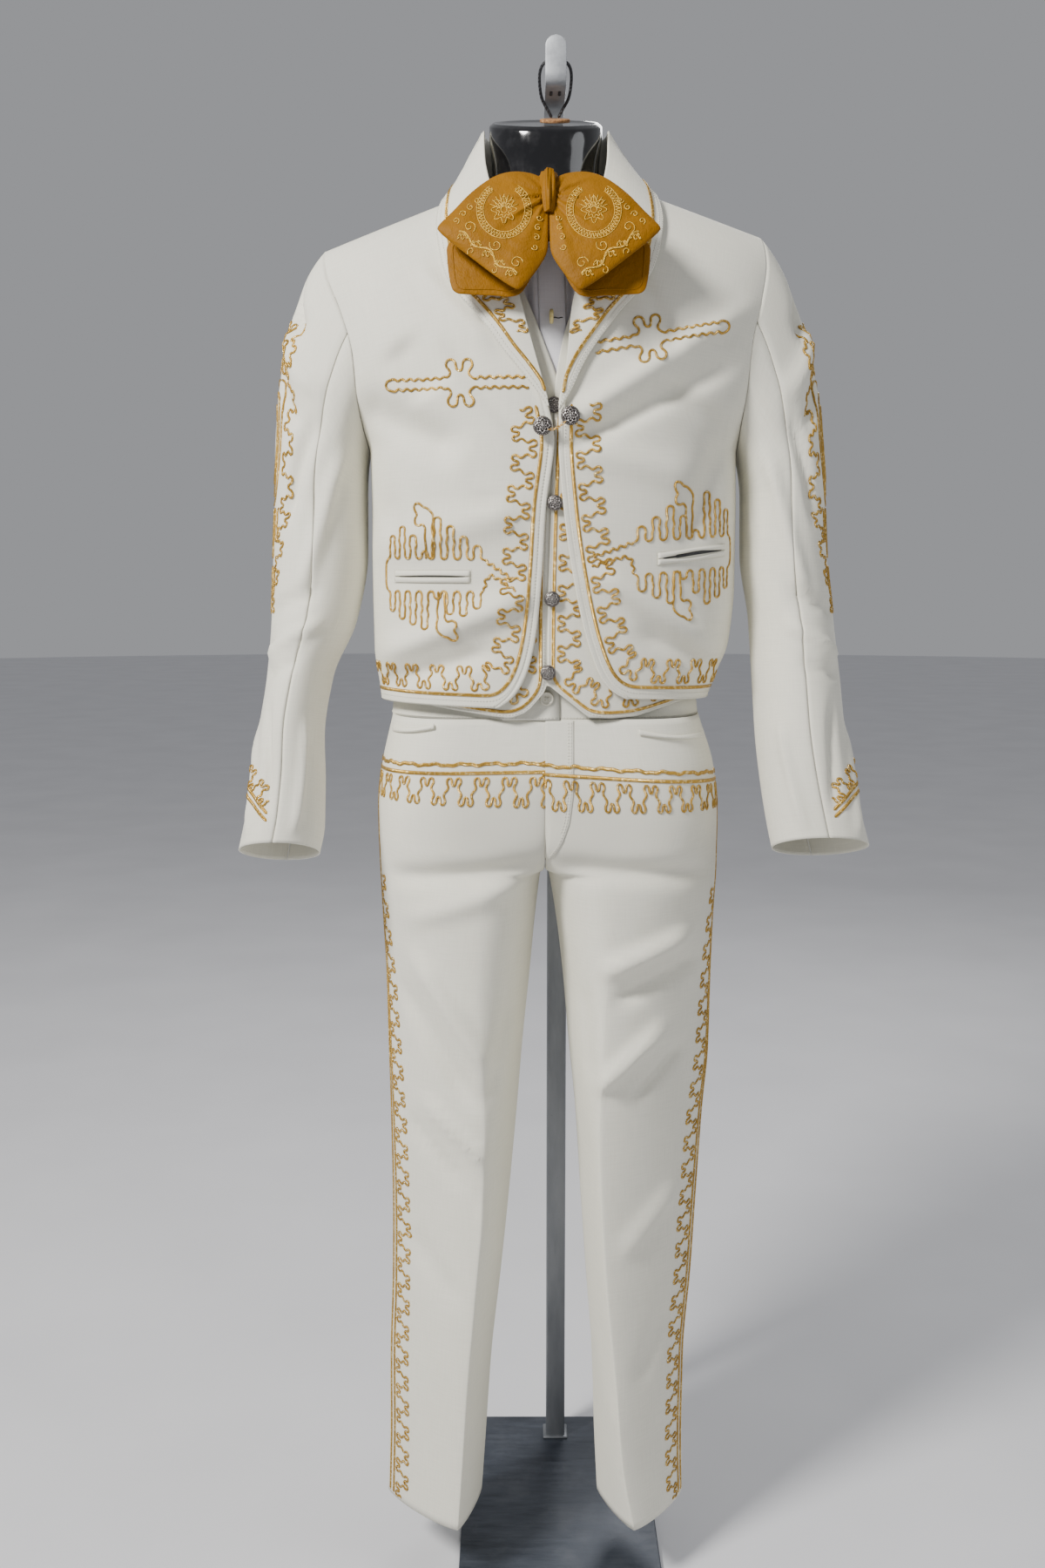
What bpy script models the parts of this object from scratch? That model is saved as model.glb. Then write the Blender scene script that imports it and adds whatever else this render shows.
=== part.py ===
"""A charro suit on a limbless torso form that hangs from a steel stand.

The suit is cut cloth: every panel is a thin wall on a surface worked out from short tables of
sections. Sizes are metres. Heights are above the floor; x runs to the right of someone facing the
suit and y runs away from them. Tables and functions use the form's own upright axis as x = y = 0,
and place() moves each finished piece to its spot on the stand's base plate.
"""

import math

import bmesh
import bpy
import numpy as np

# ---- driving sizes ------------------------------------------------------------------------------
FORM_X, FORM_Y = -0.020, -0.083     # the form's axis, from the middle of the base plate
CLOTH = 0.0012                      # wall of a single layer of suit cloth
LAPEL_CLOTH = 0.0020                # lapels and collar are two layers
SEAM = 0.0008                       # half of the gap between two pieces at a seam
BRAID_WIDTH, BRAID_THICK = 0.0045, 0.0010
LIFT = 0.0007                       # how far trim stands off the panel under it

HEM_Z, UNDERARM_Z = 1.035, 1.298    # jacket
CHEST_TOP_Z = 1.33                  # above it the front and back curve in to the shoulder
SHOULDER_Y = 0.005
BODY_SQUARE = 2.4                   # how square a level section of the body is; 2 is an ellipse
NECK_HALF = 0.072                   # half of the jacket's neck width on the shoulder line
NECK_RISE = 0.050                   # how much steeper the cloth stands at the back of the neck
WAIST_SEAM_Z, WAIST_TOP_Z = 1.019, 1.058
NECK_EDGE_Z = 1.572

BASE_SIZE = (0.24, 0.40, 0.006)
POST_SIDE, POST_Y, POST_TOP = 0.025, 0.160, 1.668
ARM_Z, ARM_HALF, ARM_WALL = 1.674, 0.011, 0.004


def table(columns, rows):
    """A short table: one array for each named column."""
    return dict(zip(columns.split(), np.array(rows, float).T))


BODY = table("z left right front back", [
    # half-widths to each side and depths to front and back of the jacket's outer face
    (1.020, 0.179, 0.178, 0.117, 0.104),
    (1.035, 0.181, 0.180, 0.118, 0.105),
    (1.100, 0.188, 0.203, 0.119, 0.106),
    (1.160, 0.189, 0.208, 0.122, 0.108),
    (1.232, 0.1885, 0.208, 0.126, 0.111),
    (1.298, 0.1895, 0.207, 0.128, 0.112),
    (1.350, 0.214, 0.227, 0.128, 0.112),
    (1.400, 0.230, 0.240, 0.126, 0.110),
    (1.450, 0.243, 0.249, 0.122, 0.108),
    (1.500, 0.256, 0.255, 0.117, 0.106),
    (1.600, 0.262, 0.262, 0.110, 0.104),
])

JACKET_LEFT = table("outer_z outer_x seam_z seam_x edge_z edge_x lift", [
    # outer: side seam, then armhole; seam: where the edge turn starts; edge: front edge, then roll
    (1.035, -0.1810, 1.032, -0.0610, 1.032, -0.0490, 0.0000),
    (1.046, -0.1823, 1.044, -0.0460, 1.044, -0.0340, 0.0000),
    (1.069, -0.1850, 1.068, -0.0320, 1.068, -0.0200, 0.0000),
    (1.112, -0.1884, 1.111, -0.0220, 1.111, -0.0100, 0.0000),
    (1.170, -0.1890, 1.175, -0.0165, 1.175, -0.0040, 0.0000),
    (1.232, -0.1885, 1.236, -0.0125, 1.236, -0.0005, 0.0000),
    (1.298, -0.1895, 1.303, -0.0045, 1.303, 0.0078, 0.0000),
    (1.319, -0.1930, 1.342, -0.0110, 1.342, 0.0010, 0.0010),
    (1.350, -0.1975, 1.385, -0.0230, 1.385, -0.0115, 0.0020),
    (1.395, -0.2008, 1.430, -0.0350, 1.430, -0.0240, 0.0025),
    (1.440, -0.2137, 1.485, -0.0480, 1.485, -0.0375, 0.0040),
    (1.482, -0.2310, 1.540, -0.0620, 1.550, -0.0545, 0.0060),
    (1.503, -0.2352, 1.561, -0.0720, 1.595, -0.0630, 0.0020),
    (1.5137, -0.2360, 1.5737, -0.0780, 1.630, -0.0655, 0.0000),
])

JACKET_RIGHT = table("outer_z outer_x seam_z seam_x edge_z edge_x lift", [
    (1.037, 0.1805, 1.0405, 0.0960, 1.041, 0.0830, 0.0000),
    (1.048, 0.1850, 1.052, 0.0820, 1.050, 0.0680, 0.0000),
    (1.069, 0.1925, 1.066, 0.0690, 1.064, 0.0570, 0.0000),
    (1.104, 0.2035, 1.098, 0.0560, 1.098, 0.0435, 0.0000),
    (1.170, 0.2080, 1.170, 0.0400, 1.170, 0.0270, 0.0000),
    (1.232, 0.2080, 1.239, 0.0290, 1.239, 0.0170, 0.0000),
    (1.298, 0.2070, 1.303, 0.0235, 1.303, 0.0118, 0.0000),
    (1.324, 0.2065, 1.340, 0.0240, 1.340, 0.0120, 0.0010),
    (1.358, 0.2105, 1.385, 0.0320, 1.385, 0.0208, 0.0020),
    (1.409, 0.2150, 1.430, 0.0360, 1.430, 0.0250, 0.0025),
    (1.450, 0.2248, 1.485, 0.0480, 1.485, 0.0375, 0.0040),
    (1.495, 0.2330, 1.540, 0.0620, 1.550, 0.0545, 0.0060),
    (1.518, 0.2320, 1.568, 0.0720, 1.595, 0.0630, 0.0020),
    (1.529, 0.2290, 1.5819, 0.0780, 1.630, 0.0665, 0.0000),
])

LAPEL_LEFT = table("roll_z roll_x roll_y edge_z edge_x", [
    # from the lowest button up: the fold, and the lapel's outer edge that lies on the front
    (1.338, 0.0020, -0.1345, 1.337, 0.0000),
    (1.350, -0.0005, -0.1345, 1.352, -0.0100),
    (1.385, -0.0105, -0.1330, 1.380, -0.0330),
    (1.430, -0.0230, -0.1275, 1.420, -0.0660),
    (1.485, -0.0365, -0.1125, 1.470, -0.1030),
    (1.550, -0.0535, -0.0780, 1.528, -0.1125),
    (1.600, -0.0640, -0.0420, 1.553, -0.1085),
    (1.6365, -0.0660, 0.0000, 1.5660, -0.1010),
])

LAPEL_RIGHT = table("roll_z roll_x roll_y edge_z edge_x", [
    (1.334, 0.0122, -0.1345, 1.333, 0.0142),
    (1.350, 0.0150, -0.1345, 1.352, 0.0240),
    (1.385, 0.0200, -0.1330, 1.385, 0.0400),
    (1.430, 0.0240, -0.1275, 1.427, 0.0700),
    (1.485, 0.0365, -0.1125, 1.476, 0.1080),
    (1.550, 0.0535, -0.0780, 1.530, 0.1195),
    (1.600, 0.0640, -0.0420, 1.560, 0.1150),
    (1.6365, 0.0670, 0.0000, 1.5745, 0.1060),
])

WAISTCOAT_LEFT = table("outer_z outer_x inner_z inner_x", [
    (1.0440, -0.1755, 1.0500, -0.0003),
    (1.0620, -0.1780, 1.0700, -0.0002),
    (1.1200, -0.1840, 1.1200, 0.0000),
    (1.1900, -0.1845, 1.1900, 0.0010),
    (1.2600, -0.1845, 1.2600, 0.0030),
    (1.3100, -0.1650, 1.3300, 0.0050),
    (1.3600, -0.1500, 1.3560, 0.0045),
    (1.4000, -0.1450, 1.4050, -0.0120),
    (1.4400, -0.1450, 1.4500, -0.0300),
    (1.4800, -0.1470, 1.4950, -0.0520),
    (1.5150, -0.1490, 1.5330, -0.0800),
    (1.5340, -0.1500, 1.5520, -0.1000),
])

WAISTCOAT_RIGHT = table("outer_z outer_x inner_z inner_x", [
    (1.0440, 0.1745, 1.0570, 0.0012),
    (1.0620, 0.1840, 1.0700, 0.0013),
    (1.1200, 0.1990, 1.1200, 0.0015),
    (1.1900, 0.2035, 1.1900, 0.0026),
    (1.2600, 0.2035, 1.2600, 0.0046),
    (1.3100, 0.1800, 1.3300, 0.0070),
    (1.3600, 0.1550, 1.3560, 0.0080),
    (1.4000, 0.1450, 1.4050, 0.0160),
    (1.4400, 0.1450, 1.4500, 0.0320),
    (1.4800, 0.1470, 1.4950, 0.0540),
    (1.5180, 0.1490, 1.5360, 0.0800),
    (1.5400, 0.1500, 1.5580, 0.1000),
])

WAISTCOAT_HEM = table("x z", [
    # lower edge of the waistcoat across both fronts: two points with a notch between them
    (-0.1800, 1.0440), (-0.1147, 1.0315), (-0.0600, 1.0235), (-0.0371, 1.0207), (-0.0200, 1.0270),
    (-0.0003, 1.0500), (0.0012, 1.0570), (0.0450, 1.0215), (0.0700, 1.0205), (0.0964, 1.0225),
    (0.1514, 1.0387), (0.1800, 1.0440),
])

SLEEVE_LEFT = table("z outer inner middle_y depth tilt pinch", [
    # level sections below the armhole; pinch under 2 presses a crease into front and back
    (1.250, -0.2950, -0.1940, 0.000, 0.064, 0.00, 2.0),
    (1.190, -0.2980, -0.1945, -0.003, 0.064, 0.02, 1.9),
    (1.120, -0.3000, -0.2070, -0.012, 0.064, 0.06, 1.8),
    (1.060, -0.3035, -0.2320, -0.028, 0.064, 0.10, 1.7),
    (1.000, -0.3110, -0.2405, -0.047, 0.061, 0.18, 1.7),
    (0.950, -0.3155, -0.2385, -0.062, 0.057, 0.26, 1.8),
    (0.905, -0.3235, -0.2380, -0.077, 0.052, 0.34, 1.8),
    (0.875, -0.3290, -0.2425, -0.087, 0.048, 0.38, 1.9),
])

SLEEVE_RIGHT = table("z outer inner middle_y depth tilt pinch", [
    (1.250, 0.3055, 0.2145, 0.000, 0.064, 0.00, 2.0),
    (1.190, 0.3090, 0.2150, -0.003, 0.064, 0.02, 1.9),
    (1.120, 0.3165, 0.2245, -0.012, 0.064, 0.06, 1.8),
    (1.060, 0.3220, 0.2270, -0.028, 0.064, 0.10, 1.7),
    (1.000, 0.3260, 0.2290, -0.047, 0.061, 0.18, 1.7),
    (0.950, 0.3330, 0.2335, -0.062, 0.057, 0.26, 1.8),
    (0.905, 0.3420, 0.2395, -0.077, 0.052, 0.34, 1.8),
    (0.880, 0.3475, 0.2440, -0.086, 0.048, 0.38, 1.9),
])

LEG = table("z out_left crease_left in_left out_right crease_right in_right front back sharp", [
    # sharp under 2 presses the crease; the side seam and the inseam lie on y = 0
    (0.080, -0.1860, -0.0990, -0.0735, 0.1675, 0.1040, 0.0650, -0.082, 0.098, 1.25),
    (0.160, -0.1835, -0.0935, -0.0680, 0.1660, 0.0900, 0.0610, -0.085, 0.096, 1.25),
    (0.260, -0.1820, -0.0870, -0.0610, 0.1665, 0.0815, 0.0575, -0.088, 0.095, 1.30),
    (0.360, -0.1780, -0.0785, -0.0500, 0.1735, 0.0715, 0.0500, -0.090, 0.094, 1.35),
    (0.460, -0.1765, -0.0705, -0.0400, 0.1785, 0.0645, 0.0430, -0.092, 0.094, 1.40),
    (0.560, -0.1770, -0.0670, -0.0310, 0.1835, 0.0610, 0.0365, -0.095, 0.096, 1.50),
    (0.640, -0.1780, -0.0680, -0.0245, 0.1890, 0.0640, 0.0285, -0.099, 0.100, 1.60),
    (0.720, -0.1790, -0.0730, -0.0165, 0.1895, 0.0680, 0.0215, -0.103, 0.106, 1.75),
    (0.790, -0.1820, -0.0720, -0.0100, 0.1910, 0.0710, 0.0130, -0.108, 0.112, 1.95),
    (0.845, -0.1840, -0.0720, -0.0030, 0.1930, 0.0730, 0.0030, -0.112, 0.116, 2.20),
])

RISE = table("z out_left out_right front back seam_z seam_front seam_back sharp", [
    # from the crotch to the waist seam; seam_: the centre seams, which curve under the crotch
    (0.868, -0.1845, 0.1930, -0.113, 0.117, 0.8500, -0.0450, 0.0480, 2.30),
    (0.890, -0.1850, 0.1930, -0.114, 0.117, 0.8640, -0.0830, 0.0880, 2.40),
    (0.915, -0.1850, 0.1925, -0.114, 0.117, 0.8950, -0.1060, 0.1110, 2.50),
    (0.960, -0.1810, 0.1880, -0.111, 0.110, 0.9560, -0.1100, 0.1090, 2.50),
    (1.019, -0.1680, 0.1700, -0.1015, 0.093, 1.0190, -0.1010, 0.0925, 2.50),
])

FORM = table("z half_x half_y middle_y tilt", [
    # closed torso: hips, waist, chest, shoulders, neck and the slanted neck top
    (0.872, 0.120, 0.060, 0.000, 0.0),
    (0.880, 0.150, 0.078, 0.000, 0.0),
    (0.930, 0.165, 0.094, 0.000, 0.0),
    (1.000, 0.155, 0.088, 0.000, 0.0),
    (1.080, 0.145, 0.085, 0.000, 0.0),
    (1.180, 0.155, 0.093, 0.000, 0.0),
    (1.300, 0.165, 0.098, 0.000, 0.0),
    (1.400, 0.172, 0.094, 0.000, 0.0),
    (1.460, 0.176, 0.084, 0.000, 0.0),
    (1.500, 0.168, 0.074, 0.000, 0.0),
    (1.530, 0.115, 0.062, 0.000, 0.0),
    (1.548, 0.074, 0.059, 0.000, 0.0),
    (1.565, 0.0590, 0.0575, 0.000, 0.1),
    (1.595, 0.0570, 0.0570, 0.000, 0.2),
    (1.630, 0.0600, 0.0600, 0.000, 0.32),
    (1.640, 0.0600, 0.0595, 0.000, 0.34),
    (1.6445, 0.0560, 0.0555, 0.000, 0.34),
])

FOLDS = table("x z to_x to_z width depth", [
    # the largest folds of the jacket fronts; a positive depth is a hollow
    (-0.150, 1.400, -0.120, 1.355, 0.030, 0.0040),
    (-0.180, 1.195, -0.030, 1.235, 0.026, -0.0030),
    (0.030, 1.310, 0.190, 1.420, 0.022, -0.0030),
    (0.090, 1.150, 0.180, 1.100, 0.024, -0.0025),
])


def smooth(xs, ys, at):
    """Monotone cubic through (xs, ys): the slope at a point is the harmonic mean of its two runs."""
    order = np.argsort(xs)
    xs, ys = np.asarray(xs)[order], np.asarray(ys)[order]
    run = np.diff(xs)
    rise = np.diff(ys) / run
    slope = np.zeros_like(ys)
    product = rise[:-1] * rise[1:]
    total = np.where(product > 0, rise[:-1] + rise[1:], 1.0)
    slope[1:-1] = np.where(product > 0, 2.0 * product / total, 0.0)
    slope[0], slope[-1] = rise[0], rise[-1]
    at = np.asarray(at, float)
    i = np.clip(np.searchsorted(xs, at) - 1, 0, len(run) - 1)
    t = np.clip((at - xs[i]) / run[i], 0.0, 1.0)
    return (
        ys[i] * (1 + 2 * t) * (1 - t) ** 2
        + slope[i] * run[i] * t * (1 - t) ** 2
        + ys[i + 1] * t * t * (3 - 2 * t)
        + slope[i + 1] * run[i] * t * t * (t - 1)
    )


def shoulder_z(x):
    """Height of the sloping shoulder line above x; each side has its own slope."""
    x = np.asarray(x, float)
    left = 1.576 - 0.380 * (np.abs(x) - NECK_HALF)
    right = 1.584 - 0.355 * (np.abs(x) - NECK_HALF)
    share = np.clip((x + NECK_HALF) / (2 * NECK_HALF), 0.0, 1.0)
    return left * (1 - share) + right * share


def half_width(x, z, inset=0.0):
    side = np.where(np.asarray(x) < 0, smooth(BODY["z"], BODY["left"], z), smooth(BODY["z"], BODY["right"], z))
    return side - inset


def fold_depth(x, z):
    """Sum of soft troughs: each is depth times a bell across its line and a bell along it."""
    total = np.zeros(np.broadcast(x, z).shape)
    for ax, az, bx, bz, width, depth in zip(*FOLDS.values()):
        length = math.hypot(bx - ax, bz - az)
        ux, uz = (bx - ax) / length, (bz - az) / length
        along = (x - ax) * ux + (z - az) * uz
        across = (x - ax) * -uz + (z - az) * ux
        reach = np.clip(np.minimum(along, length - along) / (0.35 * length) + 0.5, 0.0, 1.0)
        total = total + depth * np.exp(-((across / width) ** 2)) * reach * reach * (3 - 2 * reach)
    return total


def body_y(x, z, face, inset=0.0):
    """Depth of the worn cloth at (x, z), as y; face is front or back.

    A level section is a superellipse. Above the chest the depth shrinks by (1 - t^2.6)^0.556, where
    t runs from 0 at the chest to 1 on the shoulder line, so the cloth rounds over into the seam.
    """
    x, z = np.broadcast_arrays(np.asarray(x, float), np.asarray(z, float))
    across = np.clip(np.abs(x) / half_width(x, z, inset), 0.0, 1.0)
    depth = (smooth(BODY["z"], BODY[face], z) - inset) * (1 - across**BODY_SQUARE) ** (1 / BODY_SQUARE)
    steep = NECK_RISE * np.clip(1 - (x / NECK_HALF) ** 2, 0.0, 1.0) ** 2
    t = np.clip((z - CHEST_TOP_Z) / (shoulder_z(x) - inset + steep - CHEST_TOP_Z), 0.0, 1.0)
    round_in = (1 - t**2.6) ** 0.556
    sign = -1.0 if face == "front" else 1.0
    y = SHOULDER_Y * (1 - round_in) + sign * depth * round_in
    return y + fold_depth(x, z) * round_in if face == "front" else y


def on_front(x, z, lift, inset=0.0):
    """Points of the worn front at (x, z), moved out by lift along its normal."""
    step = 0.0015
    slope_x = (body_y(x + step, z, "front", inset) - body_y(x - step, z, "front", inset)) / (2 * step)
    slope_z = (body_y(x, z + step, "front", inset) - body_y(x, z - step, "front", inset)) / (2 * step)
    normal = np.stack([slope_x, -np.ones_like(slope_x), slope_z], -1)
    normal /= np.linalg.norm(normal, axis=-1, keepdims=True)
    x, z = np.broadcast_arrays(x, z)
    return np.stack([x, body_y(x, z, "front", inset), z], -1) + lift * normal


def grid_normals(grid, axis):
    """Unit normals of a grid of points, on the side away from the upright line through axis."""
    normal = np.cross(np.gradient(grid, axis=1), np.gradient(grid, axis=0))
    normal /= np.linalg.norm(normal, axis=-1, keepdims=True)
    away = (grid - (*axis, 0.0)) * (1.0, 1.0, 0.0)
    return normal * np.sign((normal * away).sum(axis=-1, keepdims=True))


def spread(outer_x, inner_x, half, count):
    """Places across a panel, closer together near the side seam: sine-spaced in the section's angle."""
    power = BODY_SQUARE / 2
    start = np.arcsin(np.clip(abs(outer_x) / half, 0, 1) ** power) * np.sign(outer_x)
    stop = np.arcsin(np.clip(abs(inner_x) / half, 0, 1) ** power) * np.sign(inner_x)
    angle = np.linspace(start, stop, count)
    x = np.sign(angle) * half * np.abs(np.sin(angle)) ** (1 / power)
    x[0], x[-1] = outer_x, inner_x
    return x


# ---- making solids ------------------------------------------------------------------------------
def material(name, colour, roughness, metallic=0.0, sheen=0.0):
    made = bpy.data.materials.new(name)
    made.use_nodes = True
    shader = made.node_tree.nodes["Principled BSDF"]
    shader.inputs["Base Color"].default_value = (*colour, 1.0)
    shader.inputs["Roughness"].default_value = roughness
    shader.inputs["Metallic"].default_value = metallic
    shader.inputs["Sheen Weight"].default_value = sheen
    made.diffuse_color = (*colour, 1.0)
    return made


def place(obj):
    """Moves a piece from the form's axis to its spot on the stand."""
    obj.location.x += FORM_X
    obj.location.y += FORM_Y
    return obj


def add(name, mesh, finish):
    obj = bpy.data.objects.new(name, mesh)
    SUIT.objects.link(obj)
    mesh.materials.append(finish)
    return obj


def grid_mesh(name, points, closed=False, flip=False):
    """Quads over a grid of points, rows by columns; closed joins the last column to the first."""
    rows, columns = points.shape[:2]
    mesh = bpy.data.meshes.new(name)
    index = np.arange(rows * columns).reshape(rows, columns)
    if closed:
        index = np.hstack([index, index[:, :1]])
    quads = np.stack([index[:-1, :-1], index[:-1, 1:], index[1:, 1:], index[1:, :-1]], -1).reshape(-1, 4)
    if flip:
        quads = quads[:, ::-1]
    mesh.from_pydata(points.reshape(-1, 3).tolist(), [], quads.tolist())
    mesh.update()
    mesh.shade_smooth()
    return mesh


def faces_in(points, axis):
    """True where the grid's quads face the upright line through axis more than away from it."""
    across, up = points[:-1, 1:] - points[:-1, :-1], points[1:, :-1] - points[:-1, :-1]
    away = (points[:-1, :-1] - (*axis, 0.0)) * (1.0, 1.0, 0.0)
    return float((np.cross(across, up) * away).sum()) < 0


def cloth(name, points, finish, wall=CLOTH, closed=False, axis=(0.0, 0.0), grow=-1.0):
    """A wall on a grid of points, growing towards the axis, so that the points are its outer face."""
    obj = add(name, grid_mesh(name, points, closed, faces_in(points, axis)), finish)
    shell = obj.modifiers.new("Wall", "SOLIDIFY")
    shell.thickness = wall
    shell.offset = grow
    shell.use_even_offset = False
    return place(obj)


def section_block(name, points, finish):
    """A closed body: rings of points, bottom to top, with a flat fan over each end."""
    mesh = grid_mesh(name, points, closed=True)
    shape = bmesh.new()
    shape.from_mesh(mesh)
    bmesh.ops.holes_fill(shape, edges=[e for e in shape.edges if e.is_boundary])
    bmesh.ops.recalc_face_normals(shape, faces=shape.faces)
    shape.to_mesh(mesh)
    shape.free()
    mesh.shade_smooth()
    mesh.set_sharp_from_angle(angle=math.radians(50))
    return place(add(name, mesh, finish))


def box(name, low, high, finish, bevel=0.001):
    mesh = bpy.data.meshes.new(name)
    shape = bmesh.new()
    bmesh.ops.create_cube(shape, size=1.0)
    for vert in shape.verts:
        for axis in range(3):
            vert.co[axis] = (low[axis] + high[axis]) / 2 + vert.co[axis] * (high[axis] - low[axis])
    shape.to_mesh(mesh)
    shape.free()
    obj = add(name, mesh, finish)
    if bevel:
        edge = obj.modifiers.new("Edge", "BEVEL")
        edge.width = bevel
        edge.segments = 2
        edge.limit_method = "ANGLE"
    return obj


def turned(name, profile, centre, finish, aim="front", steps=16):
    """A turned piece: the profile runs (radius, height) from the top of its axis down to the bottom."""
    mesh = bpy.data.meshes.new(name)
    points = [(radius, 0.0, height) for radius, height in profile]
    mesh.from_pydata(points, [(i, i + 1) for i in range(len(points) - 1)], [])
    obj = add(name, mesh, finish)
    spin = obj.modifiers.new("Turn", "SCREW")
    spin.steps = spin.render_steps = steps
    spin.use_merge_vertices = True
    spin.merge_threshold = 0.00001
    spin.use_smooth_shade = True
    obj.location = centre
    if aim == "front":
        obj.rotation_euler.x = math.radians(90)
    if aim == "side":
        obj.rotation_euler.y = math.radians(90)
    return place(obj)


def dome(radius, height):
    """Profile of a domed button: a quarter ellipse over a thin rim."""
    turn = np.linspace(0, math.pi / 2, 5)
    cap = [(radius * math.sin(a), 0.0012 + (height - 0.0012) * math.cos(a)) for a in turn]
    return cap + [(radius * 0.94, 0.0), (0.0, 0.0)]


def tube(name, points, radius, finish):
    data = bpy.data.curves.new(name, "CURVE")
    data.dimensions = "3D"
    data.bevel_depth = radius
    data.bevel_resolution = 2
    data.use_fill_caps = True
    line = data.splines.new("POLY")
    line.points.add(len(points) - 1)
    for spot, point in zip(line.points, points):
        spot.co = (*point, 1.0)
    obj = bpy.data.objects.new(name, data)
    SUIT.objects.link(obj)
    data.materials.append(finish)
    return place(obj)


# ---- stand and form -----------------------------------------------------------------------------
def make_stand():
    half_x, half_y = BASE_SIZE[0] / 2, BASE_SIZE[1] / 2
    box("stand_base", (-half_x, -half_y, 0), (half_x, half_y, BASE_SIZE[2]), PLATE, 0.0012)
    half = POST_SIDE / 2
    box("stand_post", (-half, POST_Y - half, BASE_SIZE[2] + 0.0003), (half, POST_Y + half, POST_TOP), STEEL, 0.002)
    run = [(POST_Y + half - FORM_Y, 0.0), (0.10, 0.0), (-0.028, 0.0)]
    bend = [(-0.028 - 0.010 * math.sin(a), 0.010 - 0.010 * math.cos(a)) for a in np.radians((30, 60, 90))]
    rise = [(-0.038, 0.030), (-0.038, 0.038), (-0.038, 0.0435), (-0.038, 0.0465)]
    widths = [1.0] * 7 + [0.94, 0.74, 0.42]
    line = run + bend + rise
    points = np.array([
        [(0.010 + side * ARM_HALF * width, y, ARM_Z + z) for side in (-1, 1)]
        for (y, z), width in zip(line, widths)
    ])
    cloth("stand_arm", points, STEEL, wall=ARM_WALL, grow=0.0)


def form_points(inset=0.0, columns=24):
    """Rings of the form: ellipses whose planes tip with the slanted neck top."""
    angle = np.linspace(0, 2 * math.pi, columns, endpoint=False)
    rings = []
    for z, half_x, half_y, middle_y, tilt in zip(*FORM.values()):
        x = (half_x - inset) * np.sin(angle)
        y = middle_y - (half_y - inset) * np.cos(angle)
        rings.append(np.stack([x, y, z + tilt * y], -1))
    return np.array(rings)


def make_form():
    section_block("form_torso", form_points(), GLOSS_BLACK)
    turned("form_neck_cap", [(0, 0.0035), (0.0150, 0.0035), (0.0160, 0.0025), (0.0160, 0.0), (0, 0)],
           (0.010, 0.002, 1.6456), CORK, aim="up", steps=20).rotation_euler.x = math.atan(0.34)
    route = table("x y z", [
        (0.0065, 0.0010, 1.6500), (0.0030, 0.0000, 1.6570), (-0.0045, -0.0050, 1.6670),
        (-0.0065, -0.0120, 1.6780), (-0.0070, -0.0190, 1.6870), (-0.0055, -0.0240, 1.6940),
        (-0.0010, -0.0270, 1.6985), (0.0100, -0.0280, 1.7005), (0.0210, -0.0270, 1.6985),
        (0.0255, -0.0240, 1.6940), (0.0270, -0.0190, 1.6870), (0.0265, -0.0120, 1.6780),
        (0.0245, -0.0050, 1.6670), (0.0170, 0.0000, 1.6570), (0.0135, 0.0010, 1.6500),
    ])
    tube("hanging_loop", np.stack([route[c] for c in "xyz"], -1), 0.0017, DARK_CORD)


# ---- jacket -------------------------------------------------------------------------------------
def front_panel(rows, columns):
    """Jacket front: across each row the cloth follows the body to the seam, then turns to the edge."""
    grid = []
    for outer_z, outer_x, seam_z, seam_x, edge_z, edge_x, lift in zip(*rows.values()):
        half = float(half_width(outer_x, outer_z))
        x = spread(outer_x, seam_x, max(half, abs(outer_x)), columns)
        z = outer_z + (seam_z - outer_z) * (x - outer_x) / (seam_x - outer_x)
        y = body_y(x, z, "front")
        row = np.stack([x, y, z], -1)
        edge = (edge_x, float(body_y(edge_x, edge_z, "front")) - lift, edge_z)
        grid.append(np.vstack([row, edge]))
    grid = np.array(grid)
    grid[:, 0, 1] -= SEAM
    grid[-1, :, 1] -= SEAM
    return grid


def back_panel(columns, left, right, under, neck_half, neck_z, inset=0.0):
    """A back: the front panels' outer rows, joined across the back. Above row under, the rows climb to
    the shoulder line, and between the neck's two sides to the neck edge."""
    count = len(left["outer_z"])
    grid = []
    for i in range(count):
        left_x, left_z = left["outer_x"][i], left["outer_z"][i]
        right_x, right_z = right["outer_x"][i], right["outer_z"][i]
        half = max(float(half_width(left_x, left_z, inset)), float(half_width(right_x, right_z, inset)))
        x = spread(left_x, right_x, max(half, abs(left_x), abs(right_x)), columns)
        share = (x - left_x) / (right_x - left_x)
        z = left_z + (right_z - left_z) * share
        if i > under:
            top = np.where(np.abs(x) < neck_half, neck_z, shoulder_z(x) - 2.0 * inset)
            ends = left["outer_z"][-1] + (right["outer_z"][-1] - left["outer_z"][-1]) * share
            z = z + (top - ends) * (i - under) / (count - 1 - under)
        grid.append(np.stack([x, body_y(x, z, "back", inset), z], -1))
    grid = np.array(grid)
    grid[:, (0, -1), 1] += SEAM
    grid[-1, :, 1] += SEAM
    return grid


def lapel_panel(rows, columns=5):
    """Lapel: each row bows outwards from the roll line to the edge, which lies on the jacket front."""
    share = np.linspace(0, 1, columns)[:, None]
    grid = []
    for roll_z, roll_x, roll_y, edge_z, edge_x in zip(*rows.values()):
        roll = np.array((roll_x, roll_y, roll_z))
        edge = on_front(np.array(edge_x), np.array(edge_z), LAPEL_CLOTH + 0.0040)
        width = np.linalg.norm(edge - roll)
        row = roll + (edge - roll) * share
        row[:, 1] -= 0.07 * width * np.sin(math.pi * share[:, 0])
        grid.append(row)
    grid = np.array(grid)
    grid[-1, :, 1] = -SEAM - 0.0010
    return grid


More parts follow.
